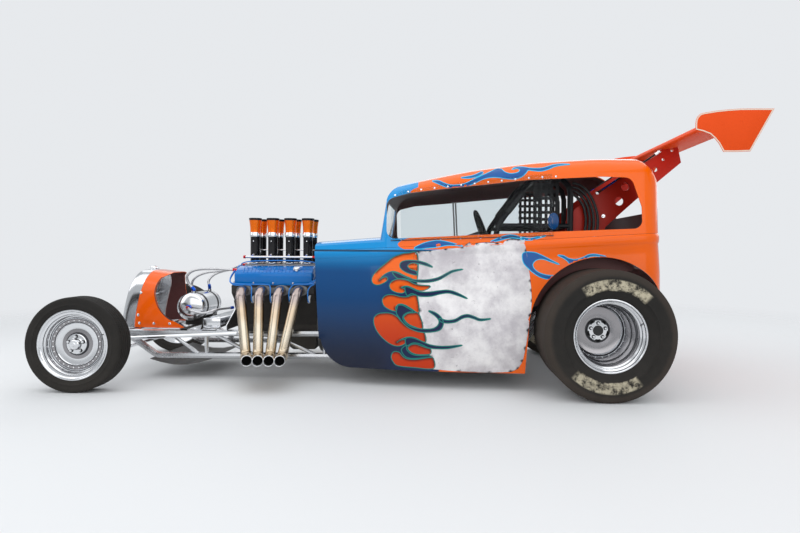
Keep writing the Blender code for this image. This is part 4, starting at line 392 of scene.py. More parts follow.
RUBBER = finish("tyre_rubber", (0.012, 0.0115, 0.011), (0.62, 0.82), bump=0.15, grain_scale=220.0,
                dusty=0.06, gloss=0.2)
HOSE_BLACK = finish("black_hose", (0.014, 0.014, 0.015), (0.45, 0.6), bump=0.1, grain_scale=300.0)
LEAD_BLUE = finish("blue_lead", (0.01, 0.19, 0.62), (0.3, 0.45))
WHITE_BOOT = finish("white_boot", (0.72, 0.72, 0.70), (0.4, 0.55))
BLACK_CLOTH = finish("black_webbing", (0.02, 0.02, 0.022), (0.75, 0.9), bump=0.3, grain_scale=420.0)
print("finishes", len(bpy.data.materials))

# %% [markdown]
# Most pieces here are made in one of a few ways, so the helpers come first: a section turned about an
# axle, a section swept along a bent tube, a flat outline given thickness, and rows of fasteners.
# Each ends as a plain mesh whose edges stay crisp only where two faces meet at a real corner.

# %% Mesh helpers
def as_object(name, bm):
    """A linked object from a bmesh, its faces turned outwards."""
    bmesh.ops.recalc_face_normals(bm, faces=bm.faces)
    mesh = bpy.data.meshes.new(name)
    bm.to_mesh(mesh)
    bm.free()
    thing = bpy.data.objects.new(name, mesh)
    bpy.context.scene.collection.objects.link(thing)
    return thing


def smooth(mesh, sharp):
    """Smooth shading that stays crisp where faces meet at more than this many degrees."""
    mesh.polygons.foreach_set("use_smooth", [True] * len(mesh.polygons))
    mesh.set_sharp_from_angle(angle=math.radians(sharp))


def finished(name, bm, material, body="chassis", place=Matrix(), sharp=35, stands_for=()):
    """Turn a bmesh into a smooth-shaded piece that rides on a body."""
    thing = as_object(name, bm)
    smooth(thing.data, sharp)
    thing.matrix_world = place
    for coat in material if isinstance(material, (list, tuple)) else [material]:
        thing.data.materials.append(coat)
    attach(thing, body)
    if stands_for:
        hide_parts(*stands_for)
    return thing


def add_lathe(bm, profile, segments=96, side=1, slot=0, closed=False, place=Matrix()):
    """Turn (radius, distance) points about the Y axis. Distance counts outwards on that side."""
    rings = []
    for radius, out in profile:
        if radius < 1e-6:
            rings.append([bm.verts.new(place @ Vector((0, side * out, 0)))])
            continue
        ring = []
        for k in range(segments):
            a = math.tau * k / segments
            ring.append(bm.verts.new(place @ Vector(
                (radius * math.cos(a), side * out, radius * math.sin(a)))))
        rings.append(ring)
    pairs = list(zip(rings, rings[1:]))
    if closed:
        pairs.append((rings[-1], rings[0]))
    for one, two in pairs:
        for k in range(segments):
            j = (k + 1) % segments
            corners = [one[k % len(one)], one[j % len(one)], two[j % len(two)], two[k % len(two)]]
            corners = list(dict.fromkeys(corners))
            if len(corners) > 2:
                bm.faces.new(corners).material_index = slot


def frame_along(points):
    """A turning frame at each point of a path that twists as little as possible."""
    points = [Vector(p) for p in points]
    runs = [(b - a).normalized() for a, b in zip(points, points[1:])]
    ahead = [runs[0]] + [(a + b).normalized() for a, b in zip(runs, runs[1:])] + [runs[-1]]
    side = ahead[0].orthogonal().normalized()
    frames = []
    for point, way in zip(points, ahead):
        side = (side - way * side.dot(way)).normalized()
        frames.append((point, side, way.cross(side)))
    return frames


def ring_round(bm, station, radius, segments):
    """A ring of points round one station of a path."""
    point, side, up = station
    return [bm.verts.new(point + side * (radius * math.cos(math.tau * k / segments))
                         + up * (radius * math.sin(math.tau * k / segments))) for k in range(segments)]


def join_rings(bm, one, two, slot):
    """A band of faces between two rings."""
    for k in range(len(one)):
        bm.faces.new((one[k - 1], one[k], two[k], two[k - 1])).material_index = slot


def directions(count, shift=0, start=0.0):
    """Even directions round a circle, as pairs of a cosine and a sine."""
    angles = [math.tau * (k + shift) / count + start for k in range(count)]
    return [(math.cos(a), math.sin(a)) for a in angles]


def add_tube(bm, points, radius, segments=14, slot=0):
    """Sweep a round section along a path. The radius may be one number or one for each point."""
    radii = radius if isinstance(radius, (list, tuple)) else [radius] * len(points)
    rings = [ring_round(bm, station, r, segments) for station, r in zip(frame_along(points), radii)]
    for one, two in zip(rings, rings[1:]):
        join_rings(bm, one, two, slot)
    for end in (rings[0], rings[-1]):
        bm.faces.new(end).material_index = slot


def new_faces(bm, old, slot):
    """Give every face made since then the material of that slot."""
    for face in bm.faces:
        if face not in old:
            face.material_index = slot


def add_box(bm, low, high, slot=0, bevel=0.0):
    """A block between two corners, its edges rounded if asked."""
    old = set(bm.faces)
    low, high = Vector(low), Vector(high)
    made = bmesh.ops.create_cube(bm, size=1, matrix=Matrix.Translation((low + high) / 2)
                                 @ Matrix.Diagonal((*(high - low), 1)))["verts"]
    if bevel:
        edges = {e for v in made for e in v.link_edges}
        bmesh.ops.bevel(bm, geom=list(edges), offset=bevel, segments=2, affect="EDGES", profile=0.5)
    new_faces(bm, old, slot)


def add_plate(bm, outline, low, high, axis="Y", slot=0, bevel=0.0):
    """A flat outline given thickness along one axis."""
    def corner(a, b, depth):
        return {"Y": (a, depth, b), "X": (depth, a, b), "Z": (a, b, depth)}[axis]

    old = set(bm.faces)
    base = bm.faces.new([bm.verts.new(corner(a, b, low)) for a, b in outline])
    grown = bmesh.ops.extrude_face_region(bm, geom=[base])["geom"]
    shift = {"Y": (0, high - low, 0), "X": (high - low, 0, 0), "Z": (0, 0, high - low)}[axis]
    bmesh.ops.translate(bm, vec=shift, verts=[g for g in grown if isinstance(g, bmesh.types.BMVert)])
    if bevel:
        caps = [f for f in [base] + grown if isinstance(f, bmesh.types.BMFace) and f.is_valid]
        rims = {e for f in caps for e in f.edges}
        bmesh.ops.bevel(bm, geom=list(rims), offset=bevel, segments=2, affect="EDGES", profile=0.5)
    new_faces(bm, old, slot)


def add_stud(bm, point, way, radius, height, sides=6, slot=0, dome=0.25):
    """A bolt head, nut or rivet that stands on a surface and points out of it."""
    point, way = Vector(point), Vector(way).normalized()
    path = [point - way * height * 0.3, point + way * height * (1 - dome), point + way * height]
    add_tube(bm, path, [radius, radius, radius * (1 - dome * 1.2)], sides, slot)


def corner_arc(back, here, ahead, radius, steps, straight=math.pi):
    """An arc that touches both arms of a corner, or the corner itself where it is nearly straight."""
    arm_in, arm_out = [(Vector(end) - here).normalized() for end in (back, ahead)]
    half = arm_in.angle(arm_out) / 2
    if half > straight:
        return [here]
    reach = radius / math.tan(half)
    centre = here + (arm_in + arm_out).normalized() * radius / math.sin(half)
    first, last = here + arm_in * reach - centre, here + arm_out * reach - centre
    return [centre + first.lerp(last, k / steps).normalized() * radius for k in range(steps + 1)]


def smooth_path(points, bend, steps=6):
    """Round the corners of a path with arcs of one radius, as a tube is bent."""
    path = [Vector(points[0])]
    for back, here, ahead in zip(points, points[1:], points[2:]):
        path += corner_arc(back, Vector(here), ahead, bend, steps, math.radians(86))
    return path + [Vector(points[-1])]


def spline(a, b, c, d, t):
    """A point between b and c on the smooth curve through four points."""
    return 0.5 * ((b * 2) + (c - a) * t + (a * 2 - b * 5 + c * 4 - d) * t * t
                  + (b * 3 - a - c * 3 + d) * t ** 3)


def curve_through(points, per_span=6):
    """A smooth path through every point, as a hose or lead takes."""
    points = [Vector(p) for p in points]
    ends = [points[0] * 2 - points[1]] + points + [points[-1] * 2 - points[-2]]
    fours = zip(ends, ends[1:], ends[2:], ends[3:])
    return [spline(*four, k / per_span) for four in fours for k in range(per_span)] + [points[-1]]


SIDES = (("left", 1), ("right", -1))


def coat(names, material, sharp=50):
    """Give CAD nodes a finish and smooth shading. Their shape stays as it is."""
    for name in names:
        mesh = nodes[name].data
        mesh.materials.clear()
        mesh.materials.append(material)
        smooth(mesh, sharp)


coat([n for n in nodes if n.startswith(("frame_", "cross_tube", "roll_cage", "seat"))], SATIN_BLACK)
coat(["front_axle", "knuckle_left", "knuckle_right", "tie_rod"], CHROME)
coat(["rear_axle", "driveshaft", "gearbox", "belly_pan", "steering_column", "floor_pan"], GREY)
# The wheel tubs take the dark red-brown painted shade.
coat(["wheel_tub_left", "wheel_tub_right"], SHADED_INSIDE)
coat(["firewall", "motor_plate"], POLISHED)
print("coated CAD nodes")

# %% [markdown]
# The front wheels are spun aluminium: a rolled lip, a barrel that steps inwards, a bolted ring and
# a dished centre with a raised hub. The tyre is a narrow ribbed runner. One turned section makes
# each, since a lathe made the real ones. The rear pair is the same idea, wide, deep and plain.

# %% Wheels and tyres
FRONT_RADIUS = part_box("front_tyre_left")[1].z / 2
REAR_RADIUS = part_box("rear_tyre_left")[1].z / 2
FRONT_CENTRE = (1.888, 0.622, FRONT_RADIUS)
REAR_CENTRE = (-1.202, 0.672, REAR_RADIUS)


def grooved(radius, half, grooves, depth, width):
    """The tread from its inner edge to its outer one, with square grooves round it."""
    points = [(radius, -half)]
    for middle in grooves:
        points += [(radius, middle - width), (radius - depth, middle - width * 0.6),
                   (radius - depth, middle + width * 0.6), (radius, middle + width)]
    return points + [(radius, half)]


def tyre_section(radius, tread_half, half, bead, bead_half, grooves=(), depth=0.004, width=0.002):
    """A closed tyre section: grooved tread, round shoulders, bulged walls with a moulded ridge."""
    wall = radius - bead
    curve = [(0.965, 0.90), (0.90, 0.965), (0.78, 0.995), (0.60, 1.0), (0.42, 0.985), (0.40, 0.999),
             (0.36, 0.999), (0.34, 0.97), (0.20, 0.93), (0.08, 0.89)]
    outer = [(bead + wall * share, half * out) for share, out in curve] + [(bead, bead_half)]
    shoulder = [(radius - wall * 0.008, (tread_half + half * 0.90) / 2)]
    inner = [(bead + wall * 0.1, bead_half * 0.8), (radius - wall * 0.3, half * 0.85)]
    right = shoulder + outer + inner
    left = [(r, -w) for r, w in reversed(right)]
    return left[2:] + grooved(radius, tread_half, grooves, depth, width) + right[:-2] + inner + left[:2]


FRONT_RIM = [
    (0, 0.049), (0.010, 0.049), (0.013, 0.046), (0.024, 0.046), (0.029, 0.042), (0.030, 0.026),
    (0.034, 0.024),
    (0.056, 0.022), (0.060, 0.018), (0.061, 0.012), (0.070, 0.008), (0.100, 0.007), (0.122, 0.011),
    (0.126, 0.016),
    (0.150, 0.017), (0.153, 0.014), (0.156, 0.020), (0.163, 0.022), (0.166, 0.028), (0.167, 0.033),
    (0.176, 0.036),
    (0.179, 0.040), (0.180, 0.045), (0.190, 0.047), (0.194, 0.050), (0.197, 0.0545), (0.202, 0.0565),
    (0.2065, 0.0560), (0.2068, 0.052), (0.200, 0.046), (0.186, 0.040), (0.186, -0.040), (0.206, -0.052),
    (0.2065, -0.056), (0.200, -0.0565), (0.180, -0.046), (0.150, -0.030), (0.140, 0.002), (0.060, 0.000),
    (0.045, -0.010), (0.0, -0.010)]
REAR_RIM = [
    (0, -0.105), (0.024, -0.105), (0.026, -0.102), (0.027, -0.084), (0.030, -0.082), (0.060, -0.083),
    (0.064, -0.088),
    (0.066, -0.094), (0.090, -0.096), (0.120, -0.095), (0.140, -0.088), (0.148, -0.080), (0.152, -0.070),
    (0.156, -0.066), (0.160, 0.010), (0.166, 0.016), (0.168, 0.060), (0.176, 0.066), (0.178, 0.105),
    (0.187, 0.112),
    (0.189, 0.128), (0.196, 0.134), (0.199, 0.1415), (0.203, 0.1445), (0.2075, 0.1440), (0.2078, 0.139),
    (0.200, 0.133), (0.186, 0.126), (0.186, -0.126), (0.207, -0.139), (0.2075, -0.144), (0.200, -0.1445),
    (0.180, -0.130), (0.166, -0.110), (0.140, -0.106), (0.050, -0.110), (0.0, -0.110)]


def worn_rubber(tree):
    """Browned rubber by the tread, and two worn cream arcs where the sidewall was once painted."""
    place, x, _, z = object_place(tree)
    reach = math_node(tree, "SQRT", plus(tree, times(tree, x, x), times(tree, z, z)))
    wear = noise_node(tree, place, 24.0, 5.0, 0.7)
    rough_reach = times_plus(tree, wear, 0.020, minus(tree, reach, 0.010))
    band = times(tree, ramp(tree, rough_reach, 0.253, 0.260), ramp(tree, rough_reach, 0.322, 0.314))
    lean = math_node(tree, "DIVIDE", math_node(tree, "ABSOLUTE", times_plus(tree, z, 0.11, x)), reach)
    arcs = times(tree, band, ramp(tree, times_plus(tree, wear, 0.10, lean), 0.70, 0.64))
    chalky = times(tree, arcs, ramp(tree, wear, 0.37, 0.60))
    browned = color_mix(tree, ramp(tree, rough_reach, 0.318, 0.348), (0.012, 0.0115, 0.011),
                        (0.036, 0.028, 0.023))
    return color_mix(tree, chalky, browned, (0.50, 0.45, 0.33))


DRAG_RUBBER = finish("slick_tyre_rubber", (0, 0, 0), (0.62, 0.82), bump=0.15, grain_scale=220.0, dusty=0.05,
                     gloss=0.2, paint=worn_rubber)


# Two darker alloys that paint shade into the wheels' steps and across their discs.
SHADED_ALLOY = finish("shaded_alloy", (0.045, 0.045, 0.05), (0.25, 0.4), metallic=0.8)
DIM_SHADE_ALLOY = finish("painted_shade_dim_alloy", (0.34, 0.33, 0.34), (0.16, 0.30), metallic=1.0, bump=0.02)
# Rings of painted shade, in darker alloys, in the low places of each wheel, as runs of (radius, distance out)
SHADE_BANDS = {
    "front": {2: [[(0.0305, 0.0258), (0.0335, 0.0242)],
                  [(0.0605, 0.0150), (0.0612, 0.0118), (0.0690, 0.0083)],
                  [(0.1265, 0.0160), (0.1300, 0.0162), (0.1310, 0.0162)],
                  [(0.1470, 0.0169), (0.1500, 0.0170)],
                  [(0.1560, 0.0200), (0.1590, 0.0208)], [(0.1670, 0.0325), (0.1700, 0.0341)],
                  [(0.1792, 0.0405), (0.1800, 0.0448)]],
              3: [[(0.1310, 0.0162), (0.1470, 0.0169)], [(0.0690, 0.0083), (0.0900, 0.0073)]]},
    "rear": {2: [[(0.0640, -0.0880), (0.0662, -0.0939), (0.0760, -0.0948)],
                 [(0.1480, -0.0800), (0.1520, -0.0700)],
                 [(0.1602, 0.0102), (0.1655, 0.0155)], [(0.1682, 0.0602), (0.1755, 0.0655)],
                 [(0.1872, 0.1122), (0.1885, 0.1270)]],
             3: [[(0.0760, -0.0948), (0.0900, -0.0960), (0.1200, -0.0950), (0.1400, -0.0880)]]}}


def build_wheel(end, name, side, centre, tyre, rim, studs, lug_out, body):
    place = Matrix.Translation((centre[0], side * centre[1], centre[2]))
    bm = bmesh.new()
    add_lathe(bm, tyre, 128, side, closed=True)
    finished(f"{end}_tyre_{name}_dressed", bm, RUBBER if end == "front" else DRAG_RUBBER, body, place, 50,
             (f"{end}_tyre_{name}",))
    bm = bmesh.new()
    add_lathe(bm, rim, 128, side)
    finished(f"{end}_rim_{name}_dressed", bm, MILLED, body, place, 24, (f"{end}_rim_{name}",))
    bm = bmesh.new()
    ring_radius, ring_out, count, size = studs
    for c, s in directions(count, 0.5):
        add_stud(bm, (ring_radius * c, side * ring_out, ring_radius * s), (0, side, 0), size, size * 1.1, 8)
    for c, s in directions(5, 0, math.pi / 2):
        spot = (0.045 * c, side * lug_out, 0.045 * s)
        add_stud(bm, spot, (0, side, 0), 0.0115, 0.003, 16, 1)
        add_stud(bm, spot, (0, side, 0), 0.0085, 0.014, 6)
    if end == "rear":
        add_tube(bm, [(0, side * (lug_out - 0.002), 0), (0, side * (lug_out + 0.0012), 0)], 0.031, 40, 1)
        add_lathe(bm, [(0.0305, lug_out - 0.001), (0.0315, lug_out + 0.003), (0.0345, lug_out + 0.003),
                       (0.0355, lug_out - 0.001)], 48, side)
        for k in range(5):
            a = math.tau * (k + 0.5) / 5 + math.pi / 2
            for spread in (-0.16, 0.0, 0.16):
                spot = Vector((0.062 * math.cos(a + spread), side * (lug_out - 0.001),
                               0.062 * math.sin(a + spread)))
                add_tube(bm, [spot, spot + Vector((0, side * 0.0016, 0))], 0.0095, 18, 1)
    # Painted shade: the darker rings lie a hair proud of the rim's low steps and its disc.
    for slot, bands in SHADE_BANDS[end].items():
        for band in bands:
            add_lathe(bm, [(radius, out + 0.0004) for radius, out in band], 96, side, slot=slot)
    valve = Vector((0.180 * math.cos(2.8), side * (rim[20][1] + 0.004), 0.180 * math.sin(2.8)))
    add_tube(bm, [valve, valve + Vector((0, side * 0.010, 0))], [0.004, 0.003], 10, 1)
    finished(f"{end}_fasteners_{name}", bm, [CHROME, HOSE_BLACK, SHADED_ALLOY, DIM_SHADE_ALLOY], body, place, 30)


for name, side in SIDES:
    build_wheel("front", name, side, FRONT_CENTRE,
                tyre_section(FRONT_RADIUS, 0.046, 0.0625, 0.2062, 0.0500,
                             (-0.036, -0.019, 0.0, 0.019, 0.036), 0.005),
                FRONT_RIM, (0.139, 0.017, 28, 0.0046), 0.022, f"front_wheel_{name}")
    build_wheel("rear", name, side, REAR_CENTRE,
                tyre_section(REAR_RADIUS, 0.146, 0.1675, 0.2072, 0.1370), REAR_RIM,
                (0.153, -0.068, 24, 0.0028), -0.083, f"rear_wheel_{name}")
print("wheels", FRONT_RADIUS, REAR_RADIUS)

# %% [markdown]
# The shell is a 1930s-style two-door sedan, chopped: a tucked sill, a belt moulding, a soft roof edge
# and a crowned roof. Its surfaces come from the same few tables as the CAD, with many more steps,
# so light runs along it without facets. A thickness modifier and cutters then open the windows.

# %% Body form
BELT_HALF_WIDTHS = ((0.53, 0.405), (0.13, 0.500), (-0.25, 0.560), (-0.75, 0.598), (-1.20, 0.590),
                    (-1.62, 0.560))
BELT_HEIGHTS = ((0.53, 0.838), (-0.25, 0.876), (-1.62, 0.962))
ROOF_HEIGHTS = ((0.13, 1.232), (-0.05, 1.276), (-0.45, 1.352), (-0.85, 1.402), (-1.25, 1.430),
                (-1.62, 1.436))
BODY_FRONT_X, BODY_REAR_X, BODY_BOTTOM_Z, SCREEN_X = 0.500, -1.612, 0.108, 0.130
WALL = 0.005
SIDE_LEVELS = ((0.0, -0.018), (0.06, -0.012), (0.16, -0.006), (0.28, 0.005), (0.42, 0.0115), (0.57, 0.0125),
               (0.72, 0.0115), (0.84, 0.006), (0.925, 0.001), (0.932, 0.0035), (0.942, 0.0062),
               (0.955, 0.007),
               (0.970, 0.0071), (0.982, 0.0066), (0.990, 0.004), (1.0, 0.0))


def mix(a, b, share):
    return a + (b - a) * share


def along(table, x):
    """Read a table that runs from the front of the car to the back, eased so that it has no corners."""
    def straight(place):
        if place >= table[0][0]:
            return table[0][1]
        for (x0, v0), (x1, v1) in zip(table, table[1:]):
            if place >= x1:
                return mix(v0, v1, (x0 - place) / (x0 - x1))
        return table[-1][1]

    return (straight(x - 0.05) + straight(x) * 2 + straight(x + 0.05)) / 4


def plan_outline(front_x, rear_x, front_corner, inset=(0, 0, 0), side_steps=26, corner_steps=8):
    """Half of the body from above, from the front's middle round the left side to the tail's middle."""
    at_front, at_side, at_tail = inset
    points = []
    start = front_x - at_front
    if front_corner:
        reach_x, reach_y = max(front_corner - at_front, 0.012), max(front_corner - at_side, 0.012)
        start -= reach_x
        middle = along(BELT_HALF_WIDTHS, start) - at_side - reach_y
        points += [(start + reach_x, middle * i / 4) for i in range(4)]
        for i in range(corner_steps):
            a = math.pi / 2 * i / corner_steps
            points.append((start + reach_x * math.cos(a), middle + reach_y * math.sin(a)))
    reach_x, reach_y = max(0.13 - at_tail, 0.012), max(0.13 - at_side, 0.012)
    end = rear_x + at_tail + reach_x
    for i in range(side_steps + 1):
        x = mix(start, end, i / side_steps)
        points.append((x, along(BELT_HALF_WIDTHS, x) - at_side))
    middle = along(BELT_HALF_WIDTHS, end) - at_side - reach_y
    for i in range(1, corner_steps + 1):
        a = math.pi / 2 * i / corner_steps
        points.append((end - reach_x * math.sin(a), middle + reach_y * math.cos(a)))
    return points + [(end - reach_x, middle * (1 - i / 4)) for i in range(1, 5)]


def side_rows():
    rows = []
    for share, step in SIDE_LEVELS:
        row = []
        for x, y in plan_outline(BODY_FRONT_X, BODY_REAR_X, 0, (0, -step, -step)):
            z = mix(BODY_BOTTOM_Z, along(BELT_HEIGHTS, x), share)
            lean = 0.055 * (z - BODY_BOTTOM_Z) * max(0, 1 - (BODY_FRONT_X - x) / SCREEN_X)
            row.append((x + lean, y, z))
        rows.append(row)
    return rows


def roof_rows(grow=0.0, lift=0.0015, wall_steps=4, edge_steps=8, roof_steps=7):
    """Rows from the belt up the pillars, round the roof's edge and over to the middle of the roof."""
    outline = plan_outline(SCREEN_X, BODY_REAR_X, 0.07)
    lengths = [0]
    for a, b in zip(outline, outline[1:]):
        lengths.append(lengths[-1] + (Vector(b) - Vector(a)).length)
    edge_radii = (0.10, 0.12, 0.19)
    leans = (0.045, 0.055, 0.0)
    radii = []
    for i in range(len(outline)):
        a, b = outline[max(0, i - 1)], outline[min(len(outline) - 1, i + 1)]
        run = (Vector(b) - Vector(a)).normalized()
        shares = (max(0, run.y) ** 2, run.x ** 2, max(0, -run.y) ** 2)
        radii.append(sum(s * r for s, r in zip(shares, edge_radii)))

    def outline_at(lean_share, turn, extra):
        inset = [lean * lean_share + radius * (1 - math.cos(turn)) - extra for lean,
                 radius in zip(leans, edge_radii)]
        return plan_outline(SCREEN_X, BODY_REAR_X, 0.07, inset)

    rows = []
    for k in range(wall_steps + 1):
        share = k / wall_steps
        rows.append([(x, y, mix(along(BELT_HEIGHTS, x) + lift, along(ROOF_HEIGHTS, x) - radius, share))
                     for (x, y), radius in zip(outline_at(share, 0, grow), radii)])
    for k in range(1, edge_steps + 1):
        a = math.pi / 2 * k / edge_steps
        rows.append([(x, y, along(ROOF_HEIGHTS, x) + (radius + grow) * math.sin(a) - radius)
                     for (x, y), radius in zip(outline_at(1, a, grow * math.cos(a)), radii)])
    edge = rows[-1]
    front_x, tail_x = edge[0][0], edge[-1][0]
    for k in range(1, roof_steps + 1):
        share = k / roof_steps
        row = []
        for (x, y, z), length in zip(edge, lengths):
            new_x = mix(x, mix(front_x, tail_x, length / lengths[-1]), share)
            fade = min(1, abs(new_x - front_x) / 0.30, abs(new_x - tail_x) / 0.30)
            rise = 0.035 * (1 - (1 - share) ** 2) * fade
            row.append((new_x, y * (1 - share), along(ROOF_HEIGHTS, new_x) + grow + rise))
        rows.append(row)
    return rows


def rounded(corners, radius, steps=6):
    """Round every corner of a polygon with an arc that touches both sides."""
    points = []
    for i, corner in enumerate(corners):
        ahead = corners[(i + 1) % len(corners)]
        points += [tuple(p) for p in corner_arc(corners[i - 1], Vector(corner), ahead, radius, steps)]
    return points


def add_rows(bm, rows):
    """A sheet through rows of points, with its other half across the car."""
    for flip in (1, -1):
        grid = [[bm.verts.new((x, y * flip, z)) for x, y, z in row] for row in rows]
        for low, high in zip(grid, grid[1:]):
            for a, b, c, d in zip(low, low[1:], high[1:], high):
                if (a.co - d.co).length > 1e-5 or (b.co - c.co).length > 1e-5:
                    bm.faces.new((a, b, c, d) if flip > 0 else (d, c, b, a))
    bmesh.ops.remove_doubles(bm, verts=bm.verts, dist=0.00005)


def loose_mesh(name, build):
    """A mesh object that only helps, such as a cutter. It never shows."""
    bm = bmesh.new()
    build(bm)
    return as_object(name, bm)


def cut_sheet(name, rows, cutters, material, wall=WALL, offset=-1, operation="DIFFERENCE", sharp=40,
              stands_for=(), body="chassis"):
    """A walled sheet with pieces cut out of it, taken to a plain mesh that rides on a body."""
    sheet = loose_mesh(name + "_sheet", lambda bm: add_rows(bm, rows))
    skin = sheet.modifiers.new("wall", "SOLIDIFY")
    skin.thickness, skin.offset, skin.use_even_offset = wall, offset, True
    skin.material_offset = 1
    for _ in range(2):
        sheet.data.materials.append(None)
    tools = [loose_mesh(f"{name}_cutter_{i}", cutter) for i, cutter in enumerate(cutters)]
    for tool in tools:
        step = sheet.modifiers.new(tool.name, "BOOLEAN")
        step.operation, step.object, step.solver = operation, tool, "EXACT"
    made = bpy.data.meshes.new_from_object(sheet.evaluated_get(bpy.context.evaluated_depsgraph_get()))
    bm = bmesh.new()
    bm.from_mesh(made)
    for thing in [sheet, *tools]:
        bpy.data.objects.remove(thing)
    return finished(name, bm, material, body, sharp=sharp, stands_for=stands_for)


def arc(centre, radius, start, end, steps):
    return [(centre[0] + radius * math.cos(math.radians(mix(start, end, i / steps))),
             centre[1] + radius * math.sin(math.radians(mix(start, end, i / steps))))
            for i in range(steps + 1)]


SIDE_OPENING = ((0.078, 0.915), (0.082, 1.165), (-0.060, 1.203), (-0.800, 1.279), (-1.240, 1.303),
                (-1.425, 1.300),
                (-1.478, 1.120), (-1.476, 0.987))
ARCH = (-1.222, 0.375)


def cut_arches(bm):
    outline = [(-0.764, 0.048)] + arc(ARCH, 0.437, 0, 156.4, 48) + [(-1.70, 0.55), (-1.70, 0.048)]
    add_plate(bm, outline, -0.8, 0.8)


def cut_lower_corners(bm):
    outline = arc((0.30, 0.308), 0.20, -90, -8, 16) + [(0.56, 0.308), (0.56, 0.04), (0.30, 0.04)]
    add_plate(bm, outline, -0.8, 0.8)


def cut_side_windows(bm):
    add_plate(bm, rounded(SIDE_OPENING, 0.055), -0.8, 0.8)


def cut_screen(bm):
    add_plate(bm, rounded([(-0.375, 0.955), (0.375, 0.955), (0.320, 1.150), (-0.320, 1.150)], 0.055), 0.03,
              0.19, "X")


def cut_tail_window(bm):
    add_plate(bm, rounded([(-0.30, 1.10), (0.30, 1.10), (0.30, 1.53), (-0.30, 1.53)], 0.055), -1.70, -1.43,
              "X")


side_shell = cut_sheet("body_side_dressed", side_rows(), [cut_arches, cut_lower_corners], ORANGE,
                       stands_for=["body_side_shell"])
roof_shell = cut_sheet("body_roof_dressed", roof_rows(), [cut_side_windows, cut_screen, cut_tail_window],
                       ORANGE, stands_for=["body_roof_shell"])
print("body shells", len(side_shell.data.polygons), len(roof_shell.data.polygons))

# %% [markdown]
# The enamel is blue over the front of the body and orange behind it. The change between them hides
# under a weathered white panel, and a rounded orange tongue runs forward along the belt and the roof.
# One material does this from the place on the body, with painted shade and a painted highlight on the blue,
# so both shells meet without a seam.

# %% Two-tone enamel with painted shade and highlight
def two_tone_and_painted_light(tree):
    """Blue in front of an edge that moves with height, orange behind it. On the blue, painted shade darkens
    it towards the bottom, a painted highlight brightens it up to the belt, and painted shade lies in a dark
    crease by the belt and beside the flame licks.
    """
    _, x, _, z = object_place(tree)

    def tongue(tip, middle, steep):
        height = minus(tree, z, middle)
        return times_plus(tree, times(tree, height, height), -steep, tip)

    on_belt = math_node(tree, "GREATER_THAN", z, 0.852)
    on_roof = math_node(tree, "GREATER_THAN", z, 1.02)
    belt_edge = times(tree, tongue(0.006, 0.882, 45.0), on_belt)
    hidden_edge = times(tree, minus(tree, 1.0, on_belt), -0.25)
    low_edge = times(tree, plus(tree, belt_edge, hidden_edge),
                         minus(tree, 1.0, on_roof))
    roof_edge = math_node(tree, "MAXIMUM", tongue(-0.066, 1.205, 40.0), -0.115)
    edge = times_plus(tree, roof_edge, on_roof, low_edge)
    is_blue = ramp(tree, minus(tree, x, edge), -0.001, 0.001)
    # Painted shade: the blue darkens towards the bottom of the body.
    deep = color_mix(tree, ramp(tree, z, 0.12, 0.74), (0.001, 0.007, 0.028), (0.002, 0.060, 0.20))
    # Painted highlight: the blue brightens towards the belt.
    upper = color_mix(tree, ramp(tree, z, 0.70, 0.86), deep, (0.005, 0.26, 0.62))
    # Painted shade: a dark line in the crease under the belt moulding.
    crease = times(tree, ramp(tree, z, 0.833, 0.838), ramp(tree, z, 0.850, 0.845))
    upper = color_mix(tree, times(tree, crease, 0.85), upper, (0.001, 0.006, 0.02))
    # Painted shade on the blue beside the flame licks.
    shade_near_licks = times(tree, ramp(tree, x, 0.16, -0.12), ramp(tree, z, 0.86, 0.74))
    shaded = color_mix(tree, shade_near_licks, upper, (0.003, 0.016, 0.075))
    return color_mix(tree, is_blue, (0.88, 0.125, 0.001), shaded)


# Two-tone enamel that also carries painted shade and a painted highlight on the blue.
BODY_PAINT = finish("two_tone_enamel_and_painted_light", (0, 0, 0), (0.16, 0.26), coat=0.9, bump=0.012, dusty=0.06,
                    dust_top=0.45, vary=0.08, paint=two_tone_and_painted_light)
# The shells' inner walls take the dark red-brown painted shade.
for shell in (side_shell, roof_shell):
    shell.data.materials[0] = BODY_PAINT
    shell.data.materials.append(SHADED_INSIDE)

# %% [markdown]
# The flames are laid on the shells as thin skins, the way masked paint stands a little proud of its
# base. Each outline is smoothed, filled with a fine net of triangles, and dropped onto the curved
# body from the side. A narrow ribbon round it is the pinstripe. The other side carries its mirror.

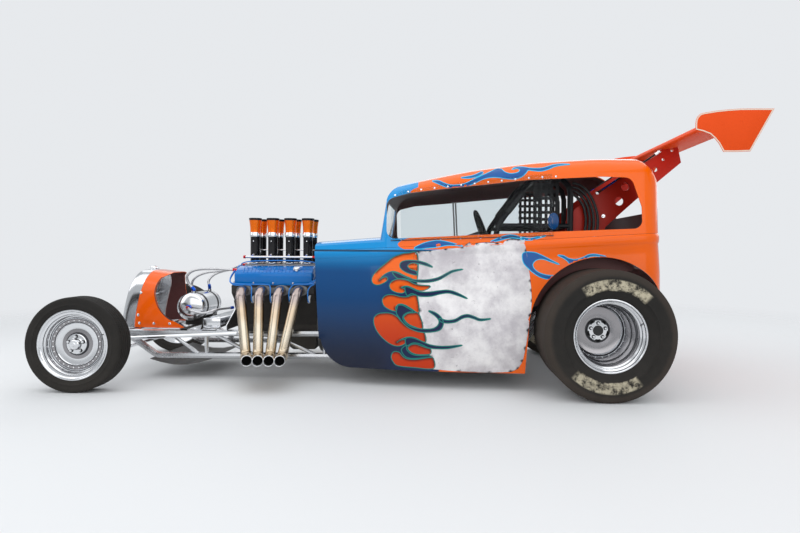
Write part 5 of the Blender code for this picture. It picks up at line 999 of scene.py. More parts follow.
# %% Flames, waves and the blank panel
SHAPES = (
    ("panel", ((-0.096, 0.831), (-0.12, 0.84), (-0.192, 0.843), (-0.288, 0.857), (-0.384, 0.865),
        (-0.408, 0.883), (-0.432, 0.898), (-0.468, 0.892), (-0.528, 0.897), (-0.594, 0.894),
        (-0.654, 0.912), (-0.684, 0.923), (-0.72, 0.917), (-0.756, 0.932), (-0.768, 0.851), (-0.78, 0.761),
        (-0.792, 0.671), (-0.798, 0.611), (-0.801, 0.551), (-0.795, 0.461), (-0.783, 0.371),
        (-0.768, 0.263), (-0.753, 0.185), (-0.726, 0.137), (-0.684, 0.116), (-0.552, 0.108),
        (-0.372, 0.112), (-0.204, 0.122), (-0.198, 0.195), (-0.18, 0.255), (-0.159, 0.315),
        (-0.141, 0.405), (-0.126, 0.483), (-0.114, 0.555), (-0.108, 0.645), (-0.102, 0.735),
        (-0.093, 0.783))),
    ("flame", ((-0.114, 0.822), (-0.06, 0.828), (-0.012, 0.82), (0.036, 0.799), (0.084, 0.76),
        (0.126, 0.725), (0.156, 0.689), (0.165, 0.659), (0.153, 0.638), (0.126, 0.633), (0.09, 0.646),
        (0.068, 0.665), (0.074, 0.68), (0.099, 0.675), (0.118, 0.659), (0.102, 0.685), (0.072, 0.707),
        (0.036, 0.718), (0, 0.711), (-0.036, 0.694), (-0.072, 0.68), (-0.114, 0.672))),
    ("flame", ((-0.192, 0.63), (-0.138, 0.633), (-0.096, 0.642), (-0.06, 0.66), (-0.024, 0.668),
        (0.012, 0.667), (0.042, 0.652), (0.054, 0.628), (0.042, 0.604), (0.012, 0.589), (-0.024, 0.586),
        (-0.042, 0.598), (-0.038, 0.611), (-0.015, 0.618), (-0.036, 0.628), (-0.06, 0.629), (-0.09, 0.618),
        (-0.12, 0.605), (-0.15, 0.603), (-0.18, 0.615))),
    ("flame", ((-0.114, 0.567), (-0.096, 0.573), (-0.078, 0.57), (-0.054, 0.561), (-0.012, 0.562),
        (0.03, 0.572), (0.066, 0.571), (0.091, 0.556), (0.098, 0.532), (0.084, 0.502), (0.048, 0.481),
        (0.012, 0.474), (0.018, 0.49), (0.009, 0.51), (-0.012, 0.52), (-0.042, 0.514), (-0.078, 0.495),
        (-0.126, 0.471))),
    ("flame", ((-0.156, 0.357), (-0.132, 0.357), (-0.084, 0.369), (-0.048, 0.387), (-0.018, 0.412),
        (0.006, 0.439), (0.042, 0.457), (0.084, 0.46), (0.126, 0.452), (0.15, 0.425), (0.147, 0.383),
        (0.126, 0.341), (0.09, 0.301), (0.048, 0.271), (0.006, 0.259), (-0.03, 0.268), (-0.048, 0.285),
        (-0.04, 0.299), (-0.017, 0.295), (0.009, 0.28), (-0.012, 0.298), (-0.042, 0.313), (-0.072, 0.319),
        (-0.108, 0.313), (-0.168, 0.291))),
    ("flame", ((-0.216, 0.188), (-0.189, 0.192), (-0.15, 0.185), (-0.102, 0.177), (-0.054, 0.18),
        (-0.026, 0.196), (-0.012, 0.214), (0.006, 0.222), (0.03, 0.218), (0.042, 0.19), (0.03, 0.16),
        (0, 0.136), (-0.102, 0.129), (-0.216, 0.128))),
    ("flame", ((-0.114, 0.762), (-0.078, 0.768), (-0.056, 0.753), (-0.072, 0.732), (-0.114, 0.72))),
    ("flame", ((-0.126, 0.459), (-0.09, 0.464), (-0.06, 0.461), (-0.037, 0.442), (-0.04, 0.425),
        (-0.06, 0.402), (-0.096, 0.384), (-0.15, 0.375))),
    ("flame", ((-0.198, 0.246), (-0.174, 0.252), (-0.138, 0.264), (-0.108, 0.273), (-0.078, 0.267),
        (-0.061, 0.249), (-0.076, 0.227), (-0.108, 0.213), (-0.156, 0.212), (-0.198, 0.219))),
    ("navy", ((-0.009, 0.754), (-0.018, 0.772), (-0.048, 0.782), (-0.09, 0.783), (-0.132, 0.778),
        (-0.174, 0.765), (-0.207, 0.745), (-0.168, 0.755), (-0.126, 0.766), (-0.084, 0.77), (-0.06, 0.759),
        (-0.055, 0.747), (-0.072, 0.729), (-0.108, 0.717), (-0.111, 0.697), (-0.072, 0.704),
        (-0.036, 0.719), (-0.015, 0.736))),
    ("navy", ((0.036, 0.71), (0, 0.702), (-0.036, 0.685), (-0.072, 0.672), (-0.114, 0.665), (-0.18, 0.667),
        (-0.24, 0.68), (-0.288, 0.704), (-0.33, 0.725), (-0.39, 0.733), (-0.33, 0.717), (-0.288, 0.693),
        (-0.246, 0.669), (-0.186, 0.655), (-0.114, 0.656), (-0.042, 0.673), (0.006, 0.676))),
    ("navy", ((-0.042, 0.619), (-0.06, 0.621), (-0.09, 0.609), (-0.132, 0.593), (-0.192, 0.593),
        (-0.252, 0.602), (-0.306, 0.605), (-0.36, 0.589), (-0.417, 0.558), (-0.36, 0.577), (-0.306, 0.591),
        (-0.252, 0.584), (-0.198, 0.57), (-0.132, 0.569), (-0.084, 0.584), (-0.054, 0.573))),
    ("navy", ((0.002, 0.502), (-0.003, 0.51), (-0.03, 0.508), (-0.066, 0.489), (-0.09, 0.474),
        (-0.06, 0.469), (-0.03, 0.448), (-0.03, 0.421), (-0.054, 0.393), (-0.09, 0.376), (-0.144, 0.368),
        (-0.204, 0.37), (-0.24, 0.389), (-0.25, 0.42), (-0.228, 0.45), (-0.186, 0.48), (-0.228, 0.468),
        (-0.262, 0.44), (-0.274, 0.404), (-0.256, 0.368), (-0.204, 0.353), (-0.138, 0.351),
        (-0.078, 0.369), (-0.036, 0.4), (-0.006, 0.438), (0.01, 0.466))),
    ("navy", ((-0.252, 0.434), (-0.3, 0.424), (-0.348, 0.432), (-0.384, 0.453), (-0.42, 0.461),
        (-0.456, 0.451), (-0.498, 0.436), (-0.558, 0.439), (-0.498, 0.427), (-0.456, 0.439),
        (-0.42, 0.447), (-0.384, 0.437), (-0.348, 0.417), (-0.3, 0.41), (-0.264, 0.416))),
    ("navy", ((-0.048, 0.305), (-0.084, 0.312), (-0.132, 0.297), (-0.192, 0.273), (-0.252, 0.265),
        (-0.312, 0.267), (-0.39, 0.275), (-0.312, 0.255), (-0.252, 0.251), (-0.192, 0.255),
        (-0.132, 0.279), (-0.09, 0.282), (-0.054, 0.265))),
    ("navy", ((-0.022, 0.238), (-0.048, 0.261), (-0.052, 0.237), (-0.078, 0.213), (-0.114, 0.203),
        (-0.192, 0.203), (-0.192, 0.197), (-0.15, 0.192), (-0.102, 0.186), (-0.06, 0.189),
        (-0.034, 0.208))),
    ("wave", ((-0.75, 0.833), (-0.81, 0.837), (-0.852, 0.823), (-0.906, 0.796), (-0.963, 0.767),
        (-0.906, 0.786), (-0.882, 0.795), (-0.852, 0.799), (-0.822, 0.79), (-0.804, 0.765),
        (-0.816, 0.736), (-0.852, 0.712), (-0.906, 0.7), (-0.96, 0.704), (-1.006, 0.727), (-1.028, 0.754),
        (-1.018, 0.783), (-0.99, 0.805), (-0.957, 0.821), (-0.99, 0.818), (-1.02, 0.802), (-1.062, 0.796),
        (-1.104, 0.807), (-1.14, 0.824), (-1.182, 0.828), (-1.248, 0.814), (-1.176, 0.819), (-1.14, 0.812),
        (-1.104, 0.789), (-1.074, 0.774), (-1.06, 0.767), (-1.044, 0.729), (-1.008, 0.708),
        (-0.966, 0.685), (-0.906, 0.679), (-0.852, 0.691), (-0.81, 0.716), (-0.786, 0.737),
        (-0.75, 0.779))),
    ("wave", ((-0.204, 1.281), (-0.241, 1.281), (-0.272, 1.265), (-0.315, 1.249), (-0.371, 1.25),
        (-0.414, 1.261), (-0.463, 1.286), (-0.513, 1.31), (-0.562, 1.334), (-0.602, 1.355), (-0.63, 1.352),
        (-0.639, 1.339), (-0.655, 1.326), (-0.685, 1.318), (-0.723, 1.324), (-0.74, 1.339), (-0.735, 1.35),
        (-0.716, 1.354), (-0.695, 1.347), (-0.716, 1.362), (-0.76, 1.364), (-0.809, 1.354),
        (-0.871, 1.354), (-0.914, 1.366), (-0.951, 1.378), (-0.994, 1.384), (-1.05, 1.382),
        (-0.994, 1.375), (-0.951, 1.365), (-0.908, 1.346), (-0.865, 1.335), (-0.821, 1.338),
        (-0.79, 1.341), (-0.775, 1.324), (-0.747, 1.299), (-0.704, 1.285), (-0.655, 1.287),
        (-0.611, 1.295), (-0.562, 1.296), (-0.513, 1.285), (-0.463, 1.261), (-0.414, 1.24),
        (-0.364, 1.228), (-0.309, 1.232), (-0.266, 1.247), (-0.229, 1.265))),
    ("wave", ((-0.383, 1.298), (-0.438, 1.307), (-0.476, 1.319), (-0.506, 1.335), (-0.516, 1.327),
        (-0.488, 1.307), (-0.451, 1.296), (-0.408, 1.293))),
    ("wave", ((-0.096, 0.858), (-0.144, 0.885), (-0.192, 0.899), (-0.24, 0.905), (-0.288, 0.899),
        (-0.342, 0.886), (-0.389, 0.872), (-0.342, 0.877), (-0.294, 0.877), (-0.24, 0.867), (-0.18, 0.861),
        (-0.132, 0.855))),
    ("wave", ((-0.557, 0.9), (-0.593, 0.918), (-0.629, 0.932), (-0.671, 0.941), (-0.712, 0.935),
        (-0.742, 0.92), (-0.682, 0.925), (-0.641, 0.917), (-0.599, 0.906))),
    ("wave", ((-0.742, 0.925), (-0.79, 0.921), (-0.832, 0.929), (-0.886, 0.938), (-0.832, 0.921),
        (-0.79, 0.911), (-0.742, 0.914))),
)
INK = {"panel": (0, None), "flame": (1, 5), "navy": (2, 5), "wave": (3, 4)}
LIFT = {"panel": 0.0007, "flame": 0.0010, "navy": 0.0016, "wave": 0.0010}


def rim_depth(tree):
    """How far a point lies in from its shape's rim, from 0 to 1."""
    node = tree.nodes.new("ShaderNodeAttribute")
    node.attribute_name = "rim"
    return node.outputs["Fac"]


def lick_color(tree):
    """Orange darkened down the side by painted shade, and dark red at the sprayed rims of each lick."""
    lit = ramp(tree, rim_depth(tree), 0.0, 1.0)
    # Painted shade: the licks darken towards the bottom of the body.
    body = color_mix(tree, ramp(tree, object_place(tree)[3], 0.25, 0.80), (0.52, 0.034, 0.001),
                     (0.88, 0.130, 0.002))
    return color_mix(tree, lit, (0.11, 0.005, 0.002), body)


def panel_color(tree):
    """Off-white with mauve and grey clouds and a sooty rim, as an old painted board."""
    place = tree.nodes.new("ShaderNodeTexCoord").outputs["Object"]
    clouds = ramp(tree, noise_node(tree, place, 4.2, 6.0, 0.65), 0.34, 0.66)
    worn = color_mix(tree, clouds, (0.52, 0.49, 0.52), (0.90, 0.88, 0.88))
    flecks = ramp(tree, noise_node(tree, place, 38.0, 6.0, 0.75), 0.60, 0.74)
    flecked = color_mix(tree, flecks, worn, (0.16, 0.13, 0.15))
    torn = plus(tree, rim_depth(tree),
                times_plus(tree, noise_node(tree, place, 26.0, 5.0, 0.7), 0.8, -0.42))
    return color_mix(tree, ramp(tree, torn, 0.05, 0.40), (0.018, 0.012, 0.016), flecked)


LICK = finish("flame_enamel_with_painted_shade", (0, 0, 0), (0.16, 0.26), coat=0.8, bump=0.012, vary=0.06, paint=lick_color)
BOARD = finish("weathered_white_panel", (0, 0, 0), (0.30, 0.48), coat=0.4, bump=0.03, grain_scale=90.0,
               dusty=0.25, dust_top=0.4, vary=0.10, paint=panel_color)
WAVE = finish("wave_blue_enamel", (0.003, 0.085, 0.32), (0.16, 0.26), coat=0.8, bump=0.012)


def mesh_net(*pieces):
    """A search tree over the faces of some pieces, to drop things onto them."""
    points, faces = [], []
    for piece in pieces:
        start = len(points)
        points += [v.co.copy() for v in piece.data.vertices]
        faces += [[start + i for i in p.vertices] for p in piece.data.polygons]
    return BVHTree.FromPolygons(points, faces)


def side_hit(net, x, z, start_y=1.2):
    """Where a level line from the car's left first meets a net, and the surface's direction there."""
    spot, normal, _, _ = net.ray_cast(Vector((x, start_y, z)), Vector((0, -1, 0)))
    return spot, normal


NET = mesh_net(side_shell, roof_shell)


def dropped(x, z, lift):
    """The point of the body's left side that lies behind (x, z), a little proud of it."""
    spot, normal = side_hit(NET, x, z)
    if spot is None or spot.y < 0.2:
        return None
    return spot + normal * (lift if normal.y > 0 else -lift)


def closed_curve(outline, per_span=5):
    """A smooth closed line through the outline."""
    points = [Vector(p) for p in outline]
    fours = zip(*[points[k:] + points[:k] for k in (-1, 0, 1, 2)])
    return [spline(*four, k / per_span) for four in fours for k in range(per_span)]


def inside(point, line):
    hit = False
    for a, b in zip(line, line[1:] + line[:1]):
        if (a.y > point.y) != (b.y > point.y) and point.x < (b.x - a.x) * (point.y - a.y) / (b.y - a.y) + a.x:
            hit = not hit
    return hit


def outward(line):
    """The outward direction at each point of a closed line."""
    turn = sum(a.x * b.y - b.x * a.y for a, b in zip(line, line[1:] + line[:1]))
    ways = []
    for i, here in enumerate(line):
        run = line[(i + 1) % len(line)] - line[i - 1]
        way = Vector((run.y, -run.x)) * (1 if turn > 0 else -1)
        ways.append(way.normalized() if way.length > 1e-9 else Vector((0, 1)))
    return ways


def add_shape(bm, rim, kind, outline, net_step=0.011):
    """One painted shape with its pinstripe, on both sides of the body."""
    slot, stripe = INK[kind]
    line = [Vector(p) for p in outline] if kind == "panel" else closed_curve(outline)
    ways = outward(line)
    shaded = [p for p, way in zip(line, ways) if kind == "panel" or way.y - way.x * 0.5 > 0.25]
    low = Vector((min(p.x for p in line), min(p.y for p in line)))
    high = Vector((max(p.x for p in line), max(p.y for p in line)))
    net = []
    for i in range(int((high.x - low.x) / net_step) + 1):
        for j in range(int((high.y - low.y) / net_step) + 1):
            p = low + Vector((i + 0.5 * (j % 2), j)) * net_step
            if inside(p, line) and min((p - q).length for q in line) > net_step * 0.45:
                net.append(p)
    flat, _, faces, _, _, _ = delaunay_2d_cdt(line + net, [], [list(range(len(line)))], 1, 1e-6)
    reach = 0.045 if kind == "panel" else 0.020
    spots = [dropped(p.x, p.y, LIFT[kind]) for p in flat]
    depth = [min([1.0] + [(p - q).length / reach for q in shaded]) for p in flat]
    width = 0.0045 if kind != "wave" else 0.004
    ribbon = []
    if stripe is not None:
        ribbon = [[dropped(*(p - way * 0.0012), LIFT[kind] + 0.0003),
                   dropped(*(p + way * width), LIFT[kind] + 0.0003)]
                  for p, way in zip(line, ways)]
    for side in (1, -1):
        made = [spot and bm.verts.new((spot.x, spot.y * side, spot.z)) for spot in spots]
        for vert, value in zip(made, depth):
            if vert:
                vert[rim] = value
        for face in faces:
            corners = [made[i] for i in face]
            if all(corners):
                bm.faces.new(corners).material_index = slot
        strip = [[spot and bm.verts.new((spot.x, spot.y * side,
                                         spot.z)) for spot in pair] for pair in ribbon]
        for one, two in zip(strip, strip[1:] + strip[:1]):
            if all(one) and all(two):
                bm.faces.new((one[0], one[1], two[1], two[0])).material_index = stripe


flames = bmesh.new()
rim_layer = flames.verts.layers.float.new("rim")
for kind, outline in SHAPES:
    add_shape(flames, rim_layer, kind, outline)
bmesh.ops.delete(flames, geom=[v for v in flames.verts if not v.link_faces], context="VERTS")
flame_piece = finished("painted_flames", flames, [BOARD, LICK, NAVY, WAVE, SKY, TEAL], sharp=80)
print("flames", len(flame_piece.data.polygons))

# %% [markdown]
# Clear plastic sheets are screwed on over the openings. Each is a slice of the same roof surface,
# grown by a hair, so it follows the body's curve and mirrors the sky in one long streak. A row of
# pan-head screws runs along its upper edge, about a hand's width apart.

# %% Clear sheets and screws
def clear_plastic():
    material, tree, shader = new_material("clear_plastic")
    shader.inputs["Base Color"].default_value = (0.86, 0.90, 0.91, 1)
    shader.inputs["Transmission Weight"].default_value = 1.0
    shader.inputs["IOR"].default_value = 1.12
    haze = use_group(tree, grain, Scale=35.0, Rough_Low=0.01, Rough_High=0.07)
    tree.links.new(haze.outputs["Roughness"], shader.inputs["Roughness"])
    return material


CLEAR = clear_plastic()
SHEET_ROOM = ((0.048, 0.903), (0.052, 1.165), (-0.012, 1.222), (-0.400, 1.269), (-0.800, 1.309),
              (-0.930, 1.316),
              (-0.930, 0.938))


def room_for_side_sheets(bm):
    for low, high in ((0.38, 0.75), (-0.75, -0.38)):
        add_plate(bm, SHEET_ROOM, low, high)


side_sheets = cut_sheet("clear_side_sheets", roof_rows(grow=0.0012), [room_for_side_sheets], CLEAR,
                        wall=0.003, offset=1, operation="INTERSECT",
                        stands_for=["side_window_left", "side_window_right"])
coat(["windscreen"], CLEAR, sharp=30)
coat(["cowl_top"], BODY_PAINT, sharp=30)


def add_shell_screws(bm, spots, radius, height, net=None):
    """Screws square to the body's side at each (x, z), on both sides."""
    for x, z in spots:
        point, normal = side_hit(net or NET, x, z)
        if point is None:
            continue
        normal = normal if normal.y > 0 else -normal
        for side in (1, -1):
            add_stud(bm, (point.x, point.y * side, point.z), (normal.x, normal.y * side, normal.z), radius,
                     height, 12, dome=0.7)


def window_edge(x):
    """Height of the side opening's upper edge."""
    return along(((0.078, 1.165), (-0.060, 1.203), (-0.800, 1.279), (-1.240, 1.303), (-1.425, 1.300)), x)


screws = bmesh.new()
add_shell_screws(screws, [(0.030 - 0.0822 * i, window_edge(0.030 - 0.0822 * i) + 0.013) for i in range(13)],
                 0.0065, 0.0052)
add_shell_screws(screws, [(-0.016 - 0.120 * i, 0.9085 + 0.0036 * i) for i in range(8)], 0.0055, 0.0050)
finished("sheet_screws", screws, CHROME)

black_edge = bmesh.new()
for side in (1, -1):
    low = [(x, z) for x, z in ((0.05, 0.9045), (-0.30, 0.9165), (-0.62, 0.9275), (-0.93, 0.9385))]
    path = []
    for x, z in low:
        spot = side_hit(NET, x, z)[0]
        if spot is not None:
            path.append((x, (spot.y + 0.0050) * side, z))
    add_tube(black_edge, curve_through(path, 4), 0.0022, 8)
finished("sheet_edge_strip", black_edge, HOSE_BLACK)
print("clear sheets", len(side_sheets.data.polygons))

# %% [markdown]
# The wheel is a small racing one: a suede-wrapped rim, three spokes of two rods each and a screwed
# hub on a raked column. It turns with the steering joint.

# %% Steering wheel, cage padding and window net
RAKE_AXIS = Vector((-0.939373, 0, 0.342898)).normalized()


def along_axis(point, axis):
    """A matrix that puts a piece's own Y axis along the given direction."""
    return Matrix.Translation(point) @ Vector((0, 1, 0)).rotation_difference(axis).to_matrix().to_4x4()


wheel = bmesh.new()
rim_ring = [(0.150 + 0.0122 * c, 0.0122 * s) for c, s in directions(14)]
add_lathe(wheel, rim_ring, 72, closed=True)
for k in range(3):
    angle = math.radians(90 + 120 * k)
    out = Vector((math.cos(angle), 0, math.sin(angle)))
    across = Vector((-out.z, 0, out.x))
    for shift in (-0.007, 0.007):
        add_tube(wheel, [out * 0.025 + across * shift * 1.6, out * 0.145 + across * shift], 0.0042, 10,
                 slot=1)
add_lathe(wheel, [(0, -0.020), (0.030, -0.020), (0.034, -0.014), (0.034, 0.008), (0.028, 0.014),
                  (0, 0.016)], 48, slot=1)
for c, s in directions(6):
    add_stud(wheel, (0.026 * c, 0.009, 0.026 * s), (0, 1, 0), 0.0035, 0.009, 6, slot=2)
SUEDE = finish("black_suede", (0.016, 0.015, 0.015), (0.75, 0.92), bump=0.25, grain_scale=500.0)
finished("steering_wheel_dressed", wheel, [SUEDE, SATIN_BLACK, CHROME], "steering_wheel",
         along_axis(Vector((-0.56, 0, 0.985)), RAKE_AXIS), stands_for=["steering_wheel"])

padding = bmesh.new()
for side in (1, -1):
    add_tube(padding, [(-0.872, 0.262 * side, 1.335), (-1.05, 0.262 * side, 1.335)], 0.031, 18)
    add_tube(padding, [(-0.70, 0.262 * side, 1.105), (-0.80, 0.262 * side, 1.235)], 0.0245, 18)
finished("cage_padding", padding, HOSE_BLACK)

net = bmesh.new()
for side in (1, -1):
    y = 0.288 * side
    for k in range(5):
        x = -0.880 - 0.036 * k
        add_box(net, (x - 0.010, y - 0.0012, 0.985), (x + 0.010, y + 0.0012, 1.318), bevel=0.0008)
    for k in range(7):
        z = 1.010 + 0.046 * k
        add_box(net, (-1.038, y - 0.0032, z - 0.010), (-0.866, y - 0.0008, z + 0.010), bevel=0.0008)
finished("window_net", net, BLACK_CLOTH)
print("cabin done")

# %% [markdown]
# The nose is a polished grille shell like an upside-down U, leaning back and bowed from side to side,
# with a fine upright grille and a screw-on filler cap. Behind it a painted hood flares out and stops
# at a hollow curve, edged with a rolled bead and held with quarter-turn buttons.

# %% Grille shell and hood
NOSE_LOW, NOSE_TOP, NOSE_HALF = 0.3177, 0.700, 0.200


def nose_half(half_width, low, high, radius, steps=14):
    """Half of an upside-down U, from the left foot over the shoulder to the middle of the top."""
    points = [(half_width, mix(low, high - radius, k / 8)) for k in range(8)]
    points += arc((half_width - radius, high - radius), radius, 0, 90, steps)
    return points + [(mix(half_width - radius, 0, k / 3), high) for k in range(1, 4)]


def nose_front(y, z):
    share = max(0, (z - NOSE_LOW) / (NOSE_TOP - NOSE_LOW))
    return 1.908 - 0.085 * share ** 1.6 - 0.020 * (y / NOSE_HALF) ** 2


def grille_shell():
    half = nose_half(NOSE_HALF, NOSE_LOW, NOSE_TOP, 0.150)
    steps = [(0.085, 0.0), (0.040, 0.0), (0.012, 0.0)]
    steps += [(0.012 - 0.012 * math.sin(a),
               0.012 - 0.012 * math.cos(a)) for a in (math.pi / 8 * k for k in (1, 2, 3, 4))]
    steps += [(0.0, 0.022), (0.0015, 0.030), (0.006, 0.034)]
    rows = []
    for back, inward in steps:
        row = []
        for y, z in half:
            above = z > 0.550
            spoke = Vector((y - 0.050, z - 0.550) if y > 0.050 and above else (0, 1) if above else (1, 0))
            step = spoke.normalized() * inward
            spot_y, spot_z = max(0, y - step.x), z - step.y
            row.append((nose_front(spot_y, spot_z) - back, spot_y, spot_z))
        rows.append(row)
    return rows


grille_piece = cut_sheet("nose_shell_dressed", grille_shell(), [], POLISHED, wall=0.0055, sharp=30,
                         stands_for=["nose_shell"])

grille = bmesh.new()
for k in range(-15, 16):
    y = 0.161 * k / 15
    bend = max(0, abs(y) - 0.050)
    top = 0.550 + math.sqrt(0.150 ** 2 - bend ** 2) - 0.030
    path = [(nose_front(y, z) - 0.007, y, z) for z in (mix(NOSE_LOW + 0.012, top, i / 8) for i in range(9))]
    add_tube(grille, path, 0.0022, 8)
for z in (0.3315, 0.430, 0.515, 0.600):
    reach = 0.193 if z < 0.56 else 0.168
    path = [(nose_front(reach * i / 6, z) - 0.0125, reach * i / 6, z) for i in range(-6, 7)]
    add_tube(grille, path, 0.0032, 8)
for side in (1, -1):
    add_box(grille, (1.7405, min(side * 0.167, side * 0.198), 0.317),
            (1.858, max(side * 0.167, side * 0.198), 0.3225),
            bevel=0.001)
finished("nose_grille", grille, CHROME)

cap = bmesh.new()
lean = Matrix.Translation((1.781, 0, 0.6965)) @ Matrix.Rotation(math.radians(-18.5), 4, "Y")
upright = lean @ Matrix.Rotation(math.radians(90), 4, "X")
add_lathe(cap, [(0, -0.004), (0.024, -0.004), (0.024, 0.006), (0.0275, 0.008), (0.0295, 0.012),
                (0.0295, 0.020),
                (0.0270, 0.024), (0.020, 0.0265), (0.011, 0.0275), (0.011, 0.0305), (0.009, 0.032),
                (0, 0.032)],
          64, place=upright)
for c, s in directions(24):
    add_tube(cap, [lean @ Vector((0.0293 * c, 0.0293 * s, up)) for up in (0.0125, 0.0195)], 0.0016, 6)
finished("filler_cap", cap, CHROME)


def hood_rows():
    half = nose_half(NOSE_HALF, NOSE_LOW, NOSE_TOP, 0.150)
    wide = nose_half(0.232, NOSE_LOW, 0.676, 0.165)
    rows = []
    for k in range(15):
        share = k / 14
        ease = math.sin(math.pi / 2 * share)
        rows.append([(mix(nose_front(y0, z0) - 0.0865, 1.440, share), mix(y0, y1, ease), mix(z0, z1, ease))
                     for (y0, z0), (y1, z1) in zip(half, wide)])
    return rows


HOOD_CURVE = [(1.600, 0.720), (1.600, 0.676)] + arc((1.440, 0.561), 0.215, 25, -65, 28) + [(1.440, 0.317)]


def cut_hood(bm):
    add_plate(bm, HOOD_CURVE + [(1.400, 0.317), (1.400, 0.720)], -0.30, 0.30)


# The hood's inner side takes the dark red-brown painted shade.
hood_piece = cut_sheet("nose_hood_dressed", hood_rows(), [cut_hood], [ORANGE, SHADED_INSIDE], wall=0.004,
                       stands_for=["nose_hood"])


hood_net = mesh_net(hood_piece)
bead = bmesh.new()
for side in (1, -1):
    path = []
    for x, z in HOOD_CURVE[2:-1]:
        spot = side_hit(hood_net, x + 0.0035, z, 0.5)[0]
        if spot is not None:
            path.append(spot)
    path = [Vector((p.x, (p.y - 0.001) * side, p.z)) for p in path]
    add_tube(bead, path, 0.0032, 10)
finished("hood_bead", bead, HOSE_BLACK)

buttons = bmesh.new()
add_shell_screws(buttons, [(1.775, 0.40), (1.758, 0.55), (1.765, 0.345), (1.66, 0.345), (1.55, 0.345),
                           (1.47, 0.338)],
                 0.0095, 0.0042, hood_net)
finished("hood_buttons", buttons, POLISHED)
print("nose", len(grille_piece.data.polygons), len(hood_piece.data.polygons))

# %% [markdown]
# Between the nose and the engine lies a spun drum tank on a saddle, with two strap bands and screwed
# fittings. Three braided hoses arch back from its top and a fourth runs low from its end, each with
# anodised ends. A low catch box lies behind the tank.

# %% Tank, catch box and braided hoses
def braided(name, color, scale=260.0):
    """Woven steel wire: two crossing waves raise the bump and darken the gaps between strands with painted
    shade.
    """
    def strands(tree):
        _, x, _, z = object_place(tree)
        one, two = [math_node(tree, "SINE", times(tree, math_node(tree, way, x, z), scale * 6))
                    for way in ("ADD", "SUBTRACT")]
        # Painted shade in the gaps between the strands.
        return color_mix(tree, ramp(tree, times(tree, one, two), -0.6, 0.5),
                         tuple(c * 0.45 for c in color), color)
    return finish(name, color, (0.28, 0.42), metallic=0.9, bump=0.12, grain_scale=scale, paint=strands)


BRAID = braided("braided_steel_hose", (0.80, 0.80, 0.82))
RED_ANODISED = finish("red_anodised", (0.55, 0.015, 0.02), (0.2, 0.3), metallic=0.9)
BLUE_ANODISED = finish("blue_anodised", (0.01, 0.10, 0.60), (0.2, 0.3), metallic=0.9)

tank = bmesh.new()
DRUM_X, DRUM_Z, DRUM_RADIUS = 1.450, 0.450, 0.095
drum = Matrix.Translation((DRUM_X, 0, DRUM_Z))
half_profile = [(0, 0.170), (0.020, 0.1695), (0.045, 0.1665), (0.065, 0.161), (0.080, 0.154),
                (0.089, 0.147),
                (0.0938, 0.141), (0.095, 0.1385), (0.0950, 0.1280), (0.0936, 0.1265), (0.0936, 0.1225),
                (0.0950, 0.1210)]
add_lathe(tank, half_profile + [(0.095, 0.0)] + [(r, -h) for r, h in reversed(half_profile)], 96,
          place=drum)
for y in (-0.085, 0.085):
    band = [(0.0942, y - 0.010), (0.0964, y - 0.010), (0.0964, y + 0.010), (0.0942, y + 0.010)]
    add_lathe(tank, band, 96, slot=1, closed=True, place=drum)
    add_box(tank, (1.393, y - 0.010, 0.3205), (1.507, y + 0.010, 0.392), slot=1, bevel=0.002)
    add_stud(tank, (1.540 - 0.010, y, 0.452), (1, 0, 0), 0.006, 0.012, 6, slot=2)
add_box(tank, (1.398, -0.311, 0.3205), (1.4385, 0.311, 0.326), slot=1, bevel=0.0008)
for side in (1, -1):
    add_lathe(tank, [(0, 0.1690), (0.017, 0.1690), (0.018, 0.172), (0.018, 0.181), (0.014, 0.184),
                     (0.0, 0.184)], 6,
              side=side, slot=3, place=drum)
for x, y, slot in ((1.440, 0.115, 3), (1.475, 0.050, 4), (1.430, -0.110, 3)):
    top = DRUM_Z + math.sqrt(DRUM_RADIUS ** 2 - (x - DRUM_X) ** 2)
    add_tube(tank, [(x, y, top - 0.004), (x, y, top + 0.012)], 0.013, 24, slot=2)
    add_tube(tank, [(x, y, top + 0.010), (x, y, top + 0.026)], 0.0112, 6, slot=slot)
finished("fuel_tank_dressed", tank, [POLISHED, SATIN_BLACK, CHROME, BLUE_ANODISED, RED_ANODISED],
         stands_for=["fuel_tank"])

catch_box = bmesh.new()
add_box(catch_box, (1.196, -0.262, 0.323), (1.312, 0.262, 0.388), bevel=0.008)
for side in (1, -1):
    low, high = sorted((side * 0.255, side * 0.318))
    add_box(catch_box, (1.205, low, 0.3195), (1.303, high, 0.3235), bevel=0.0008)
    for x in (1.218, 1.290):
        add_stud(catch_box, (x, side * 0.300, 0.3235), (0, 0, 1), 0.0065, 0.0055, 6, slot=1)
for x in (1.225, 1.254, 1.283):
    add_tube(catch_box, [(x, -0.20, 0.3875), (x, 0.20, 0.3875)], 0.0035, 10)
finished("catch_box", catch_box, [POLISHED, CHROME])


def add_hose(bm, points, radius, slot=0, nut_slots=(1, 2), nut=1.45, length=0.024):
    """A hose with a hexagon nut and collar at each end."""
    path = curve_through(points, 8)
    add_tube(bm, path, radius, 16, slot)
    for here, ahead, colour in ((path[0], path[1], nut_slots[0]), (path[-1], path[-2], nut_slots[1])):
        way = (ahead - here).normalized()
        add_tube(bm, [here - way * 0.004, here + way * length * 0.55], radius * nut, 6, colour)
        add_tube(bm, [here + way * length * 0.45, here + way * length], radius * 1.22, 16, colour)


